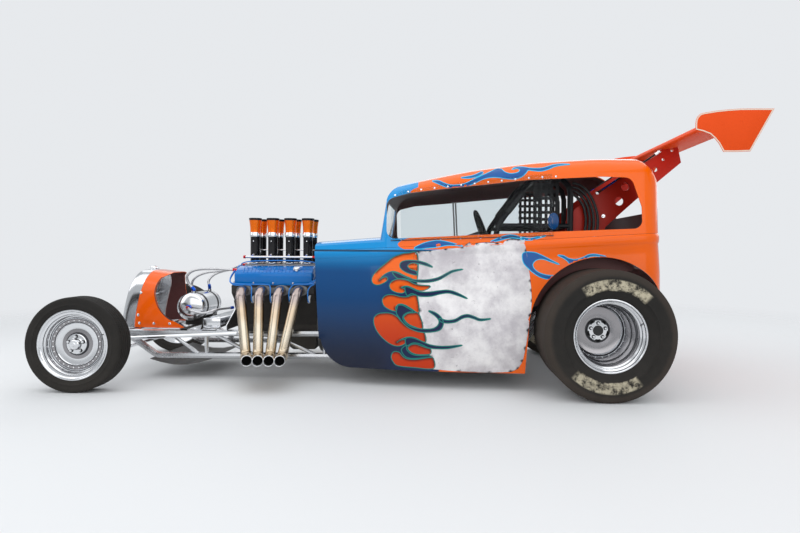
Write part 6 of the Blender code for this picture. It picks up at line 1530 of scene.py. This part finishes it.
hoses = bmesh.new()
add_hose(hoses, [(1.440, 0.115, 0.566), (1.475, 0.125, 0.615), (1.475, 0.140, 0.665), (1.415, 0.150, 0.703),
                 (1.300, 0.152, 0.712), (1.180, 0.150, 0.707), (1.134, 0.150, 0.704)], 0.0085)
add_hose(hoses, [(1.475, 0.050, 0.563), (1.480, 0.060, 0.610), (1.440, 0.072, 0.655), (1.360, 0.075, 0.685),
                 (1.240, 0.060, 0.700), (1.150, 0.045, 0.735), (1.104, 0.045, 0.740)], 0.0075)
add_hose(hoses, [(1.430, -0.110, 0.566), (1.440, -0.120, 0.620), (1.390, -0.140, 0.670),
                 (1.270, -0.150, 0.700),
                 (1.134, -0.150, 0.704)], 0.0085)
add_hose(hoses, [(1.454, 0.182, 0.450), (1.400, 0.235, 0.435), (1.320, 0.250, 0.420), (1.240, 0.215, 0.440),
                 (1.186, 0.080, 0.440)], 0.0080, nut_slots=(2, 1))
finished("braided_hoses", hoses, [BRAID, BLUE_ANODISED, RED_ANODISED])
print("front done")

# %% [markdown]
# The engine is a big vee with a stack of its own for every cylinder. The block keeps its CAD form in
# dark cast paint. What the eye reads is built finer: blue rocker covers, black stacks with bright
# rings and orange trumpets, and heat-tinted headers that sweep down and turn out.

# %% Engine finishes
CAST_BLACK = finish("dark_cast_iron", (0.022, 0.021, 0.021), (0.45, 0.65), metallic=0.3, bump=0.22,
                    grain_scale=160.0,
                    dusty=0.35, dust_top=0.7)
CAST_ALLOY = finish("cast_alloy", (0.33, 0.33, 0.34), (0.38, 0.55), metallic=0.8, bump=0.20,
                    grain_scale=190.0)
STACK_BLACK = finish("stack_black_enamel", (0.010, 0.010, 0.011), (0.14, 0.24), coat=0.8, bump=0.01)
TRUMPET = finish("orange_trumpet", (0.92, 0.17, 0.004), (0.14, 0.26), metallic=0.55, coat=0.6, bump=0.01)
# Near-black: soot in the header bores, and painted shade inside the stacks' throats and on the faces that
# close the bores.
SOOT_AND_SHADE = finish("soot_and_painted_shade", (0.008, 0.008, 0.008), (0.8, 0.95))


def heat_tint(tree):
    """Steel that straws and browns where it runs hottest, in bands down the pipe."""
    place, _, _, z = object_place(tree)
    drift = times_plus(tree, noise_node(tree, place, 7.0, 4.0), 0.16, z)
    hot = color_mix(tree, ramp(tree, drift, 0.62, 0.54), (0.42, 0.35, 0.33), (0.60, 0.48, 0.35))
    warm = color_mix(tree, ramp(tree, drift, 0.52, 0.40), hot, (0.70, 0.62, 0.50))
    return color_mix(tree, ramp(tree, drift, 0.36, 0.22), warm, (0.56, 0.43, 0.28))


HEADER_STEEL = finish("heat_tinted_steel", (0, 0, 0), (0.16, 0.30), metallic=1.0, bump=0.02,
                      grain_scale=90.0,
                      dusty=0.15, dust_top=0.4, paint=heat_tint)
coat(["engine_block"], CAST_BLACK, 30)
coat(["intake_manifold"], CAST_ALLOY, 30)
print("engine finishes", len(bpy.data.materials))

# %% Rocker covers
BORES = [0.85 + (1.5 - i) * 0.1229 for i in range(4)]
SLOPE, SQUARE = Vector((-0.965, 0.2625)), Vector((0.2625, 0.965))
COVER_FOOT = Vector((0.268, 0.6056))


def cover_spot(x, across, rise, side=1):
    """A point on a rocker cover: so far up the head's slope and so far square to it."""
    spot = COVER_FOOT + SLOPE * across + SQUARE * rise
    return Vector((x, spot.x * side, spot.y))


def add_cover(bm, side):
    def outline(pairs):
        return [(cover_spot(0, a, r, side).y, cover_spot(0, a, r, side).z) for a, r in pairs]

    shoulder = [(0.013, 0.010), (0.018, 0.050), (0.023, 0.070), (0.030, 0.080), (0.040, 0.0855),
                (0.105, 0.0965),
                (0.140, 0.0970), (0.158, 0.092), (0.168, 0.080), (0.176, 0.060), (0.190, 0.020),
                (0.193, 0.010)]
    add_plate(bm, outline(shoulder), 0.5915, 1.1085, "X", bevel=0.010)
    add_plate(bm, outline([(0.0125, 0.0), (0.0125, 0.012), (0.195, 0.012), (0.195, 0.0)]), 0.5765, 1.1235,
              "X",
              bevel=0.002)
    for k in range(17):
        x = 0.640 + 0.0255 * k
        path = [cover_spot(x + 0.012 * t, mix(0.034, 0.098, t), mix(0.0838, 0.0958, t), side)
                for t in (0, 0.5, 1)]
        add_tube(bm, path, 0.0030, 8)
    for x in (0.588, 0.719, 0.850, 0.981, 1.112):
        for across in (0.0185, 0.188):
            if 0.60 < x < 1.10:
                across = 0.0145 if across < 0.1 else 0.191
            point = cover_spot(x, across, 0.0115, side)
            add_stud(bm, point, (0, SQUARE.x * side, SQUARE.y), 0.0055, 0.009, 6, slot=1)


covers = bmesh.new()
for side in (1, -1):
    add_cover(covers, side)
    cap_spot = cover_spot(0.700, 0.062, 0.088, side)
    way = Vector((0, SQUARE.x * side, SQUARE.y))
    add_tube(covers, [cap_spot, cap_spot + way * 0.006, cap_spot + way * 0.007, cap_spot + way * 0.020,
                      cap_spot + way * 0.0245], [0.016, 0.016, 0.0215, 0.0215, 0.0170], 40, slot=2)
    for c, s in directions(20):
        edge = Vector((c, 0, 0)) + way.cross(Vector((1, 0, 0))) * s
        foot = cap_spot + edge * 0.0213
        add_tube(covers, [foot + way * 0.008, foot + way * 0.019], 0.0011, 6, slot=2)
finished("valve_covers_dressed", covers, [ENGINE_BLUE, CHROME, CHROME],
         stands_for=["valve_cover_left", "valve_cover_right"])
print("covers", len(BORES))

# %% Stacks, fuel rails and linkage
stacks = bmesh.new()
STACK_PROFILE = [(0.0285, 0.7456), (0.0305, 0.752), (0.0305, 0.7620), (0.0315, 0.7640), (0.0325, 0.930),
                 (0.0330, 0.9345)]
RING_PROFILE = [(0.0332, 0.9345), (0.0360, 0.9360), (0.0364, 0.9400), (0.0364, 0.9610), (0.0356, 0.9660),
                (0.0340, 0.9670)]
TRUMPET_OUT = [(0.0338, 0.9670)] + [(0.0338 + 0.0092 * t ** 1.9,
                                     0.967 + 0.092 * t) for t in (k / 10 for k in range(1, 10))]
LIP = [(0.0413, 1.0498), (0.0437, 1.0600), (0.0434, 1.0645), (0.0422, 1.0660), (0.0408, 1.0650),
       (0.0402, 1.0610)]
THROAT = [(0.0402, 1.0610), (0.0372, 1.0400), (0.0340, 1.0000), (0.0315, 0.9500), (0.0290, 0.8800),
          (0.0290, 0.8600)]
for side in (1, -1):
    for x in BORES:
        upright = Matrix.Translation((x, side * 0.070, 0)) @ Matrix.Rotation(math.radians(90), 4, "X")
        # The last profile, the throat inside each trumpet and stack, is near-black painted shade.
        for slot, profile in enumerate((STACK_PROFILE, RING_PROFILE, TRUMPET_OUT, LIP, THROAT)):
            add_lathe(stacks, profile, 64, slot=slot, place=upright)
        # A near-black disc of painted shade closes the bore inside the stack.
        add_lathe(stacks, [(0.0, 0.900), (0.0285, 0.900)], 32, slot=4, place=upright)
        add_lathe(stacks, [(0.0315, 0.7465), (0.0385, 0.7465), (0.0395, 0.7490), (0.0395, 0.7550),
                           (0.0375, 0.7580),
                           (0.0315, 0.7580)], 48, slot=5, place=upright)
        add_tube(stacks, [(x, side * 0.100, 0.815), (x, side * 0.122, 0.800)], 0.0068, 12, slot=1)
        add_tube(stacks, [(x, side * 0.118, 0.803), (x, side * 0.1285, 0.796)], 0.0085, 6, slot=6)
        add_stud(stacks, (x + 0.0315, side * 0.070, 0.790), (1, 0, 0), 0.0055, 0.008, 6, slot=1)
        add_stud(stacks, (x, side * 0.1030, 0.905), (0, side, 0), 0.0045, 0.006, 6, slot=1)
    rail_y = side * 0.1275
    add_tube(stacks, [(0.620, rail_y, 0.7955), (1.080, rail_y, 0.7955)], 0.0085, 20, slot=5)
    for x, way in ((1.080, 1), (0.620, -1)):
        add_tube(stacks, [(x, rail_y, 0.7955), (x + way * 0.014, rail_y, 0.7955)], 0.0115, 6, slot=7)
    add_tube(stacks, [(0.640, side * 0.034, 0.845), (1.062, side * 0.034, 0.845)], 0.0040, 12, slot=1)
    for x in BORES:
        add_box(stacks, (x - 0.006, min(side * 0.030, side * 0.042), 0.815),
                (x + 0.006, max(side * 0.030, side * 0.042), 0.848),
                slot=1, bevel=0.0015)
add_tube(stacks, [(1.062, -0.034, 0.845), (1.062, 0.034, 0.845)], 0.0040, 12, slot=1)
stack_piece = finished("injector_stacks_dressed", stacks,
                       [STACK_BLACK, CHROME, TRUMPET, STACK_BLACK, SOOT_AND_SHADE, POLISHED, BLUE_ANODISED,
                        RED_ANODISED],
                       sharp=32, stands_for=["injector_stacks_left", "injector_stacks_right"])
print("stacks", len(stack_piece.data.polygons))

# %% Headers
PORT_Z, PIPE_RADIUS = 0.575, 0.0318


def header_path(x, side):
    low_x = mix(0.85, x, 0.52) + 0.005
    return smooth_path([(x, side * 0.2783, PORT_Z), (x, side * 0.3487, PORT_Z),
                        (low_x + (x - low_x) * 0.2, side * 0.420, 0.165),
                        (low_x - 0.080, side * 0.680, 0.195)],
                       0.055, 10)


def add_pipe(bm, path, radius, wall, segments=32):
    """An open pipe with a rolled rim at its mouth and a sooty black bore, closed a little way in by a black
    face of painted shade.
    """
    frames = frame_along(path)
    end = (Vector(path[-1]) - Vector(path[-2])).normalized()
    sections = [(f, radius, 0) for f in frames]
    sections[-1] = ((frames[-1][0] - end * 0.0012, *frames[-1][1:]), radius, 0)
    sections.append(((frames[-1][0], *frames[-1][1:]), radius - wall * 0.45, 1))
    sections.append(((frames[-1][0] - end * 0.0012, *frames[-1][1:]), radius - wall, 1))
    # The bore's last stretch and its closing face are near-black: soot, and painted shade where the pipe runs
    # on.
    for back in (0.02, 0.06, 0.10):
        sections.append(((frames[-1][0] - end * back, *frames[-1][1:]), radius - wall, 2))
    rings = [(ring_round(bm, station, r, segments), slot) for station, r, slot in sections]
    for (one, _), (two, slot) in zip(rings, rings[1:]):
        join_rings(bm, one, two, slot)
    bm.faces.new(rings[0][0]).material_index = 0
    bm.faces.new(rings[-1][0]).material_index = 2


def add_collar(bm, path, at_share, radius, height, slot):
    """A band round a pipe at a share of its length, its edges rolled."""
    lengths = [0]
    for a, b in zip(path, path[1:]):
        lengths.append(lengths[-1] + (Vector(b) - Vector(a)).length)
    want = lengths[-1] * at_share
    for a, b, la, lb in zip(path, path[1:], lengths, lengths[1:]):
        if la <= want <= lb:
            middle = Vector(a).lerp(Vector(b), (want - la) / (lb - la))
            way = (Vector(b) - Vector(a)).normalized()
            add_tube(bm, [middle - way * height / 2, middle - way * height * 0.35,
                          middle + way * height * 0.35, middle + way * height / 2],
                     [radius * 0.985, radius * 1.06, radius * 1.06, radius * 0.985], 32, slot)
            return


for name, side in SIDES:
    pipes = bmesh.new()
    for x in BORES:
        path = header_path(x, side)
        add_pipe(pipes, path, PIPE_RADIUS, 0.0034)
        for share in (0.655, 0.685):
            add_collar(pipes, path, share, PIPE_RADIUS, 0.006, 0)
        add_collar(pipes, path, 0.125, PIPE_RADIUS, 0.0045, 0)
        add_plate(pipes, [(x + 0.052 * c, PORT_Z + 0.036 * s) for c, s in directions(40)],
                  *sorted((side * 0.2690, side * 0.2785)), slot=3, bevel=0.0015)
        for shift in (-0.0425, 0.0425):
            add_tube(pipes, [(x + shift, side * 0.2785, PORT_Z), (x + shift, side * 0.2800, PORT_Z)],
                     0.0085, 20, slot=3)
            add_stud(pipes, (x + shift, side * 0.2798, PORT_Z), (0, side, 0), 0.0062, 0.0075, 6, slot=3)
    add_plate(pipes, [(0.632, 0.556), (1.068, 0.556), (1.068, 0.594), (0.632, 0.594)],
              *sorted((side * 0.2684, side * 0.2755)), slot=3, bevel=0.001)
    piece = finished(f"header_{name}_dressed", pipes, [HEADER_STEEL, CHROME, SOOT_AND_SHADE, GREY], sharp=40,
                     stands_for=[f"header_{name}"])
print("headers", len(piece.data.polygons))

# %% Plug leads
MAGNETO_X = 1.144
leads = bmesh.new()
for side in (1, -1):
    for i, x in enumerate(BORES):
        plug_x = x - 0.0615
        shift = 0.0085 * i
        if i < 2:
            run = [(plug_x + 0.040, side * 0.290, 0.6125 + shift * 0.3),
                   (1.095, side * 0.289, 0.612 + shift),
                   (1.134, side * 0.262, 0.640 + shift), (1.142, side * 0.170, 0.690 + shift),
                   (1.147 - shift, side * 0.060, 0.735), (MAGNETO_X, side * (0.012 + shift), 0.722)]
        else:
            run = [(plug_x - 0.035, side * 0.290, 0.6125 + shift * 0.3),
                   (0.600, side * 0.289, 0.612 + shift * 0.5),
                   (0.563, side * 0.262, 0.640 + shift * 0.5), (0.555, side * 0.170, 0.700 + shift * 0.5),
                   (0.562, side * 0.135, 0.748), (0.700, side * 0.1420, 0.770),
                   (1.000, side * 0.1430, 0.768), (1.115, side * 0.095, 0.750),
                   (MAGNETO_X - shift * 0.4, side * (0.004 + shift * 0.4), 0.722)]
        boot_path = [(plug_x - 0.002, side * 0.262, 0.540), (plug_x, side * 0.285, 0.528),
                     (plug_x - 0.005, side * 0.309, 0.500)]
        add_tube(leads, curve_through(boot_path, 6), [0.0062] * 4 + [0.0080] * 9, 14, slot=1)
        lead = curve_through([boot_path[-1], (plug_x - 0.002, side * 0.321, 0.520),
                              (plug_x + 0.002, side * 0.310, 0.575),
                              (plug_x + (0.010 if i < 2 else -0.010), side * 0.294, 0.604)] + run, 6)
        add_tube(leads, lead, 0.0038, 10, slot=0)
finished("plug_leads", leads, [LEAD_BLUE, WHITE_BOOT])

spark = bmesh.new()
stand = Matrix.Translation((MAGNETO_X, 0, 0)) @ Matrix.Rotation(math.radians(90), 4, "X")
add_lathe(spark, [(0, 0.5006), (0.020, 0.5006), (0.020, 0.560), (0.030, 0.566), (0.030, 0.570)], 48, slot=1,
          place=stand)
add_lathe(spark, [(0.030, 0.570), (0.0415, 0.574), (0.0425, 0.580), (0.0425, 0.640), (0.0400, 0.645)], 48,
          slot=1, place=stand)
add_lathe(spark, [(0.0400, 0.645), (0.0430, 0.647), (0.0435, 0.655), (0.0415, 0.690), (0.0330, 0.706),
                  (0.0, 0.709)], 48,
          slot=0, place=stand)
for c, s in directions(8, 0.5):
    add_tube(spark, [(MAGNETO_X + 0.024 * c, 0.024 * s, 0.700), (MAGNETO_X + 0.025 * c, 0.025 * s, 0.7195)],
             0.0062, 14, slot=0)
for c, s in directions(8):
    x, y = MAGNETO_X + 0.0425 * c, 0.0425 * s
    add_box(spark, (x - 0.002, y - 0.002, 0.585), (x + 0.002, y + 0.002, 0.636), slot=1, bevel=0.0008)
CAP_RED = finish("red_moulding", (0.36, 0.012, 0.012), (0.25, 0.4), coat=0.3)
finished("magneto_dressed", spark, [CAP_RED, CAST_ALLOY], stands_for=["magneto"])

CRANK_Z, PUMP_Z = 0.3770, 0.4705
drive = bmesh.new()
crank = Matrix.Translation((1.1372, 0, CRANK_Z)) @ Matrix.Rotation(math.radians(-90), 4, "Z")
add_lathe(drive, [(0, 0.0005), (0.070, 0.0005), (0.0740, 0.0030), (0.0740, 0.0110), (0.0610, 0.0165),
                  (0.0610, 0.0225), (0.0740, 0.0290),
                  (0.0740, 0.0400), (0.0715, 0.0435), (0.0560, 0.0435), (0.0520, 0.0360), (0.0300, 0.0360),
                  (0.0290, 0.0442), (0.0, 0.0442)],
          72, slot=0, place=crank)
for c, s in directions(6):
    add_stud(drive, (1.1735, 0.0215 * c, CRANK_Z + 0.0215 * s), (1, 0, 0), 0.0050, 0.0075, 6, slot=1)
add_box(drive, (1.1372, -0.0545, 0.3995), (1.1595, 0.0545, 0.4935), slot=0, bevel=0.006)
pump = Matrix.Translation((1.1592, 0, PUMP_Z)) @ Matrix.Rotation(math.radians(-90), 4, "Z")
add_lathe(drive, [(0, -0.002), (0.0360, -0.002), (0.0360, 0.0040), (0.0325, 0.0075), (0.0170, 0.0110),
                  (0.0170, 0.0210), (0.0, 0.0210)], 48, slot=0, place=pump)
for c, s in directions(5):
    add_stud(drive, (1.1625, 0.0275 * c, PUMP_Z + 0.0275 * s), (1, 0, 0), 0.0040, 0.0060, 6, slot=1)
finished("front_drive_dressed", drive, [POLISHED, CHROME], stands_for=["front_drive"])
print("engine dressed")

# %% [markdown]
# The tubes of the frame catch the light like bright nickel in front of the body. The steel plates on
# the cage hold up the wing, and are holed to save weight. The wing itself is a folded sheet skin
# over ribs, closed by two end plates whose edges are picked out in a pale line.

# %% Frame finish
NICKEL = finish("brushed_nickel_tube", (0.60, 0.61, 0.63), (0.16, 0.32), metallic=1.0, bump=0.015,
                grain_scale=120.0,
                dusty=0.10, dust_top=0.3)
STRUT_RED = finish("red_strut_paint", (0.50, 0.014, 0.003), (0.34, 0.48), bump=0.012, gloss=0.3)
WING_ORANGE = finish("wing_orange_paint", (0.78, 0.070, 0.002), (0.50, 0.62), bump=0.012, gloss=0.2)
coat([n for n in nodes if n.startswith(("frame_", "cross_tube"))], NICKEL)
coat([n for n in nodes if n.startswith("wing_strut_")], STRUT_RED)
print("nickel tubes", sum(n.startswith(("frame_", "cross_tube")) for n in nodes))

# %% Wing skin and end plates
CHORD_WAY = Vector((-math.cos(math.radians(11)), math.sin(math.radians(11))))


def wing_spot(share, height):
    point = Vector((-1.722, 1.548)) + CHORD_WAY * (0.400 * share)
    return point.x, point.y + height * 0.046


UPPER = [(0.0, 0.0), (0.006, 0.18), (0.02, 0.345), (0.05, 0.49), (0.10, 0.588), (0.18, 0.615),
         (0.30, 0.590),
         (0.45, 0.480), (0.65, 0.295), (0.85, 0.135), (1.0, 0.030)]
LOWER = [(1.0, -0.030), (0.85, -0.130), (0.65, -0.272), (0.45, -0.400), (0.30, -0.490), (0.18, -0.490),
         (0.10, -0.444),
         (0.05, -0.370), (0.02, -0.272), (0.006, -0.15)]
PLATE_EDGE = [(-1.7140, 1.548), (-1.7140, 1.585), (-1.7165, 1.606), (-1.7250, 1.624), (-1.7390, 1.638),
              (-1.7580, 1.6455),
              (-1.8300, 1.658), (-1.9000, 1.6660), (-1.9750, 1.6715), (-2.0600, 1.6728), (-2.1675, 1.6730),
              (-2.0980, 1.5480), (-2.0300, 1.4260), (-1.9500, 1.4220), (-1.8750, 1.4220), (-1.8650, 1.4400),
              (-1.8480, 1.4700), (-1.8250, 1.4980), (-1.7980, 1.5220), (-1.7600, 1.5370)]


def inset(outline, amount):
    """The same outline moved in by a fixed distance at each corner."""
    done = []
    for back, here, ahead in zip(outline[-1:] + outline, outline, outline[1:] + outline[:1]):
        a, b = (Vector(here) - Vector(back)).normalized(), (Vector(ahead) - Vector(here)).normalized()
        way = Vector((a.y + b.y, -a.x - b.x)).normalized()
        spread = max(way.dot(Vector((a.y, -a.x))), 0.45)
        done.append(Vector(here) + way * amount / spread)
    middle = Vector((-1.92, 1.56))
    if sum((p - middle).length for p in done) > sum((Vector(p) - middle).length for p in outline):
        return inset(outline, -amount)
    return [tuple(p) for p in done]


wing = bmesh.new()
add_plate(wing, [wing_spot(*p) for p in UPPER + LOWER], -0.7145, 0.7145)
for side in (1, -1):
    near, far = sorted((side * 0.7150, side * 0.7186))
    add_plate(wing, PLATE_EDGE, near, far, "Y", slot=1, bevel=0.0012)
    rim, core = inset(PLATE_EDGE, 0.0016), inset(PLATE_EDGE, 0.0085)
    y = side * 0.7188
    outer_ring = [wing.verts.new((x, y, z)) for x, z in rim]
    inner_ring = [wing.verts.new((x, y, z)) for x, z in core]
    join_rings(wing, outer_ring, inner_ring, 2)
    for share, rise in ((0.10, 0.05), (0.38, 0.02), (0.66, 0.0), (0.90, 0.0)):
        x, z = wing_spot(share, rise)
        add_stud(wing, (x, side * 0.7186, z), (0, side, 0), 0.0050, 0.0004, 20, slot=1, dome=0.2)
for y in (-0.48, -0.24, 0.0, 0.24, 0.48):
    for share, height in ((0.08, 0.55), (0.24, 0.61), (0.44, 0.49), (0.64, 0.30), (0.84, 0.15)):
        for shift in (-0.008, 0.008) if abs(y) == 0.24 else (0,):
            x, z = wing_spot(share, height)
            add_stud(wing, (x, y + shift, z - 0.0004), (CHORD_WAY.y, 0, -CHORD_WAY.x), 0.0032, 0.0016, 10,
                     slot=3)
finished("wing_dressed", wing, [WING_ORANGE, WING_ORANGE, PALE, CHROME], sharp=30, stands_for=["wing"])

# %% Strut hardware
gear = bmesh.new()
HOLES = (((-1.456, 1.185), 0.030), ((-1.495, 1.282), 0.027), ((-1.696, 1.400), 0.017))
for side in (1, -1):
    for (x, z), radius in HOLES:
        ring = Matrix.Translation((x, side * 0.220, z))
        add_lathe(gear, [(radius + 0.0040, 0.0042), (radius + 0.0035, 0.0056), (radius + 0.0010, 0.0062),
                         (radius - 0.0012, 0.0050),
                         (radius - 0.0012, -0.0050), (radius + 0.0010, -0.0062), (radius + 0.0035, -0.0056),
                         (radius + 0.0040, -0.0042)], 48, side, slot=0, place=ring)
    for x, z in ((-1.748, 1.466), (-1.806, 1.528), (-1.350, 1.085), (-1.160, 0.700)):
        add_tube(gear, [(x, side * 0.2236, z), (x, side * 0.2256, z)], 0.0115, 24, slot=1)
        add_stud(gear, (x, side * 0.2250, z), (0, side, 0), 0.0078, 0.0070, 6, slot=1)
    low, bend, high = [(x, side * 0.232, z) for x, z in ((-1.325, 1.252), (-1.430, 1.3235), (-1.700, 1.5040))]
    add_tube(gear, [low, bend], 0.0065, 20, slot=2)
    add_tube(gear, [bend, high], 0.0058, 20, slot=3)
    for end, way in ((low, 1), (high, -1)):
        aim = (Vector(high) - Vector(low)).normalized() * way
        add_tube(gear, [Vector(end) - aim * 0.014, Vector(end) + aim * 0.012], 0.0085, 6, slot=1)
        eye = Vector(end) - aim * 0.022
        add_lathe(gear, [(0.0052, -0.0055), (0.0105, -0.0050), (0.0118, 0.0), (0.0105, 0.0050),
                         (0.0052, 0.0055)], 28, side,
                  slot=1, closed=True, place=Matrix.Translation(eye))
        add_tube(gear, [(eye.x, side * 0.2238, eye.z), (eye.x, side * 0.2415, eye.z)], 0.0050, 16, slot=1)
        add_stud(gear, (eye.x, side * 0.2395, eye.z), (0, side, 0), 0.0085, 0.0065, 6, slot=1)
for x, z in ((-1.640, 1.360), (-1.330, 1.060)):
    add_tube(gear, [(x, -0.2245, z), (x, 0.2245, z)], 0.0095, 20, slot=0)
finished("wing_strut_hardware", gear, [STRUT_RED, CHROME, BLUE_ANODISED, SATIN_BLACK], sharp=40)
print("wing hardware done")

# %% [markdown]
# The driver sits low against the rear axle in a plain bucket. Its two cushions are foam in black
# cloth, so each starts as a slim block and is swelled by the cloth solver until it crowns. Straps lie
# over them, flat woven webbing with steel buckles.

# %% Seat cushions
CUSHION_CLOTH = finish("black_seat_cloth", (0.022, 0.021, 0.021), (0.78, 0.92), bump=0.35,
                       grain_scale=460.0, vary=0.25)


def cushion(name, size, place, swell):
    """A slim block with rounded corners, swelled by the cloth solver and held to a few millimetres."""
    bm = bmesh.new()
    add_box(bm, [-s / 2 for s in size], [s / 2 for s in size], bevel=min(size) * 0.30)
    piece = finished(name, bm, CUSHION_CLOTH,
                     place=Matrix.Translation(place[0]) @ Matrix.Rotation(place[1], 4, "Y"))
    remesh = piece.modifiers.new("even", "REMESH")
    remesh.mode, remesh.voxel_size = "VOXEL", 0.006
    with_modifiers(piece)
    before = [v.co.copy() for v in piece.data.vertices]
    cloth = piece.modifiers.new("swell", "CLOTH")
    cloth.settings.use_pressure = True
    cloth.settings.uniform_pressure_force = 4.0
    cloth.settings.effector_weights.gravity = 0.0
    for frame in range(1, 21):
        bpy.context.scene.frame_set(frame)
    with_modifiers(piece)
    for vertex, old in zip(piece.data.vertices, before):
        step = vertex.co - old
        if step.length > swell:
            vertex.co = old + step.normalized() * swell
    bpy.context.scene.frame_set(1)
    finer = piece.modifiers.new("finer", "SUBSURF")
    finer.levels = 1
    with_modifiers(piece)
    piece.data.polygons.foreach_set("use_smooth", [True] * len(piece.data.polygons))
    return piece


def with_modifiers(piece):
    """Bake a piece's modifiers into its mesh."""
    graph = bpy.context.evaluated_depsgraph_get()
    baked = bpy.data.meshes.new_from_object(piece.evaluated_get(graph))
    piece.modifiers.clear()
    piece.data = baked


base = cushion("seat_base_cushion", (0.250, 0.320, 0.034), ((-0.778, 0, 0.4720), -0.03), 0.009)
back = cushion("seat_back_cushion", (0.034, 0.300, 0.400), ((-0.918, 0, 0.700), -0.075), 0.009)
print("cushions", len(base.data.vertices), len(back.data.vertices))

# %% Harness
def add_strap(bm, path, width, across=(0, 1, 0), thick=0.0024, slot=0):
    """Flat webbing laid along a path, its width along one direction."""
    path = curve_through(path, 5)
    rings = []
    for (point, _, _), back, ahead in zip(frame_along(path), path[:1] + path[:-1], path[1:] + path[-1:]):
        way = (ahead - back).normalized()
        wide = Vector(across) - way * way.dot(Vector(across))
        wide.normalize()
        deep = way.cross(wide) * thick / 2
        wide *= width / 2
        rings.append([bm.verts.new(point + a * wide + b * deep) for a,
                      b in ((1, 1), (-1, 1), (-1, -1), (1, -1))])
    for one, two in zip(rings, rings[1:]):
        join_rings(bm, one, two, slot)
    for ring in (rings[0], rings[-1]):
        bm.faces.new(ring).material_index = slot


harness = bmesh.new()
for side in (1, -1):
    add_strap(harness, [(-0.9250, side * 0.072, 0.9060), (-0.9030, side * 0.072, 0.8800),
                        (-0.8920, side * 0.070, 0.7800),
                        (-0.8830, side * 0.064, 0.6500), (-0.8760, side * 0.050, 0.5500),
                        (-0.8600, side * 0.034, 0.5110),
                        (-0.8200, side * 0.018, 0.5040), (-0.7900, side * 0.010, 0.5050)], 0.046)
    add_strap(harness, [(-0.9000, side * 0.1570, 0.5060), (-0.8650, side * 0.1200, 0.5045),
                        (-0.8150, side * 0.0650, 0.5040),
                        (-0.7850, side * 0.0220, 0.5060)], 0.050, (0.85, side * 0.5, 0))
    add_box(harness, (-0.8945, side * 0.070 - 0.030, 0.800), (-0.8875, side * 0.070 + 0.030, 0.838), slot=1,
            bevel=0.002)
add_strap(harness, [(-0.7750, 0, 0.5050), (-0.7300, 0, 0.5030), (-0.6850, 0, 0.5025)], 0.040)
add_tube(harness, [(-0.7880, 0, 0.5055), (-0.7880, 0, 0.5130), (-0.7880, 0, 0.5210)], [0.034, 0.034, 0.029],
         40, slot=1)
finished("seat_harness", harness, [BLACK_CLOTH, CHROME])
print("harness done")

# %% [markdown]
# Behind the driver a breather can is strapped to the wing plate, and four black ducts loop down into
# it from the hoop of the cage. A plain blue oval stands on the net where the window carries a
# sticker, with nothing on it.

# %% Breather ducts, window post and plain oval
ducts = bmesh.new()
can = Matrix.Translation((-1.190, 0.268, 0)) @ Matrix.Rotation(math.radians(90), 4, "X")
add_lathe(ducts, [(0, 0.745), (0.032, 0.745), (0.038, 0.750), (0.038, 0.872), (0.032, 0.880), (0, 0.882)],
          56, slot=1, place=can)
for z in (0.775, 0.845):
    add_lathe(ducts, [(0.0380, z - 0.008), (0.0400, z - 0.006), (0.0400, z + 0.006), (0.0380, z + 0.008)],
              56, slot=2, place=can)
    add_box(ducts, (-1.204, 0.2243, z - 0.008), (-1.176, 0.2360, z + 0.008), slot=2, bevel=0.001)
for k in range(4):
    t, y = k / 3, 0.254 + 0.008 * k
    path = [(-1.128, y, mix(1.225, 1.298, t)), (mix(-1.156, -1.176, t), y, mix(1.214, 1.284, t)),
            (mix(-1.190, -1.232, t), y, mix(1.176, 1.236, t)),
            (mix(-1.214, -1.276, t), y, mix(1.125, 1.150, t)),
            (mix(-1.224, -1.296, t), y, 1.050), (mix(-1.214, -1.282, t), y, 0.955),
            (mix(-1.200, -1.232, t), y, 0.905), (mix(-1.182, -1.206, t), y, 0.876)]
    line = curve_through(path, 9)
    add_tube(ducts, line, [0.0098 if i % 2 else 0.0084 for i in range(len(line))], 16, slot=0)
finished("breather_ducts", ducts, [HOSE_BLACK, POLISHED, SATIN_BLACK], sharp=60)

sheet_net = mesh_net(side_sheets)
trim = bmesh.new()
for shift in (-0.010, 0.010):
    ends = []
    for x, z in ((-0.398, 0.928), (-0.380, 1.243)):
        spot, _, _, _ = sheet_net.ray_cast(Vector((x + shift, -1.2, z)), Vector((0, 1, 0)))
        ends.append(spot + Vector((0, 0.011, 0)))
    add_tube(trim, [ends[0], ends[0].lerp(ends[1], 0.5) + Vector((0, 0.002, 0)), ends[1]], 0.0065, 14)
oval = [(-1.000 + 0.036 * c, 1.045 + 0.055 * s) for c, s in directions(48)]
add_plate(trim, oval, 0.2896, 0.2916, slot=1, bevel=0.0006)
finished("window_post_and_oval", trim, [WHITE_BOOT, BLUE])
print("ducts and trim done")
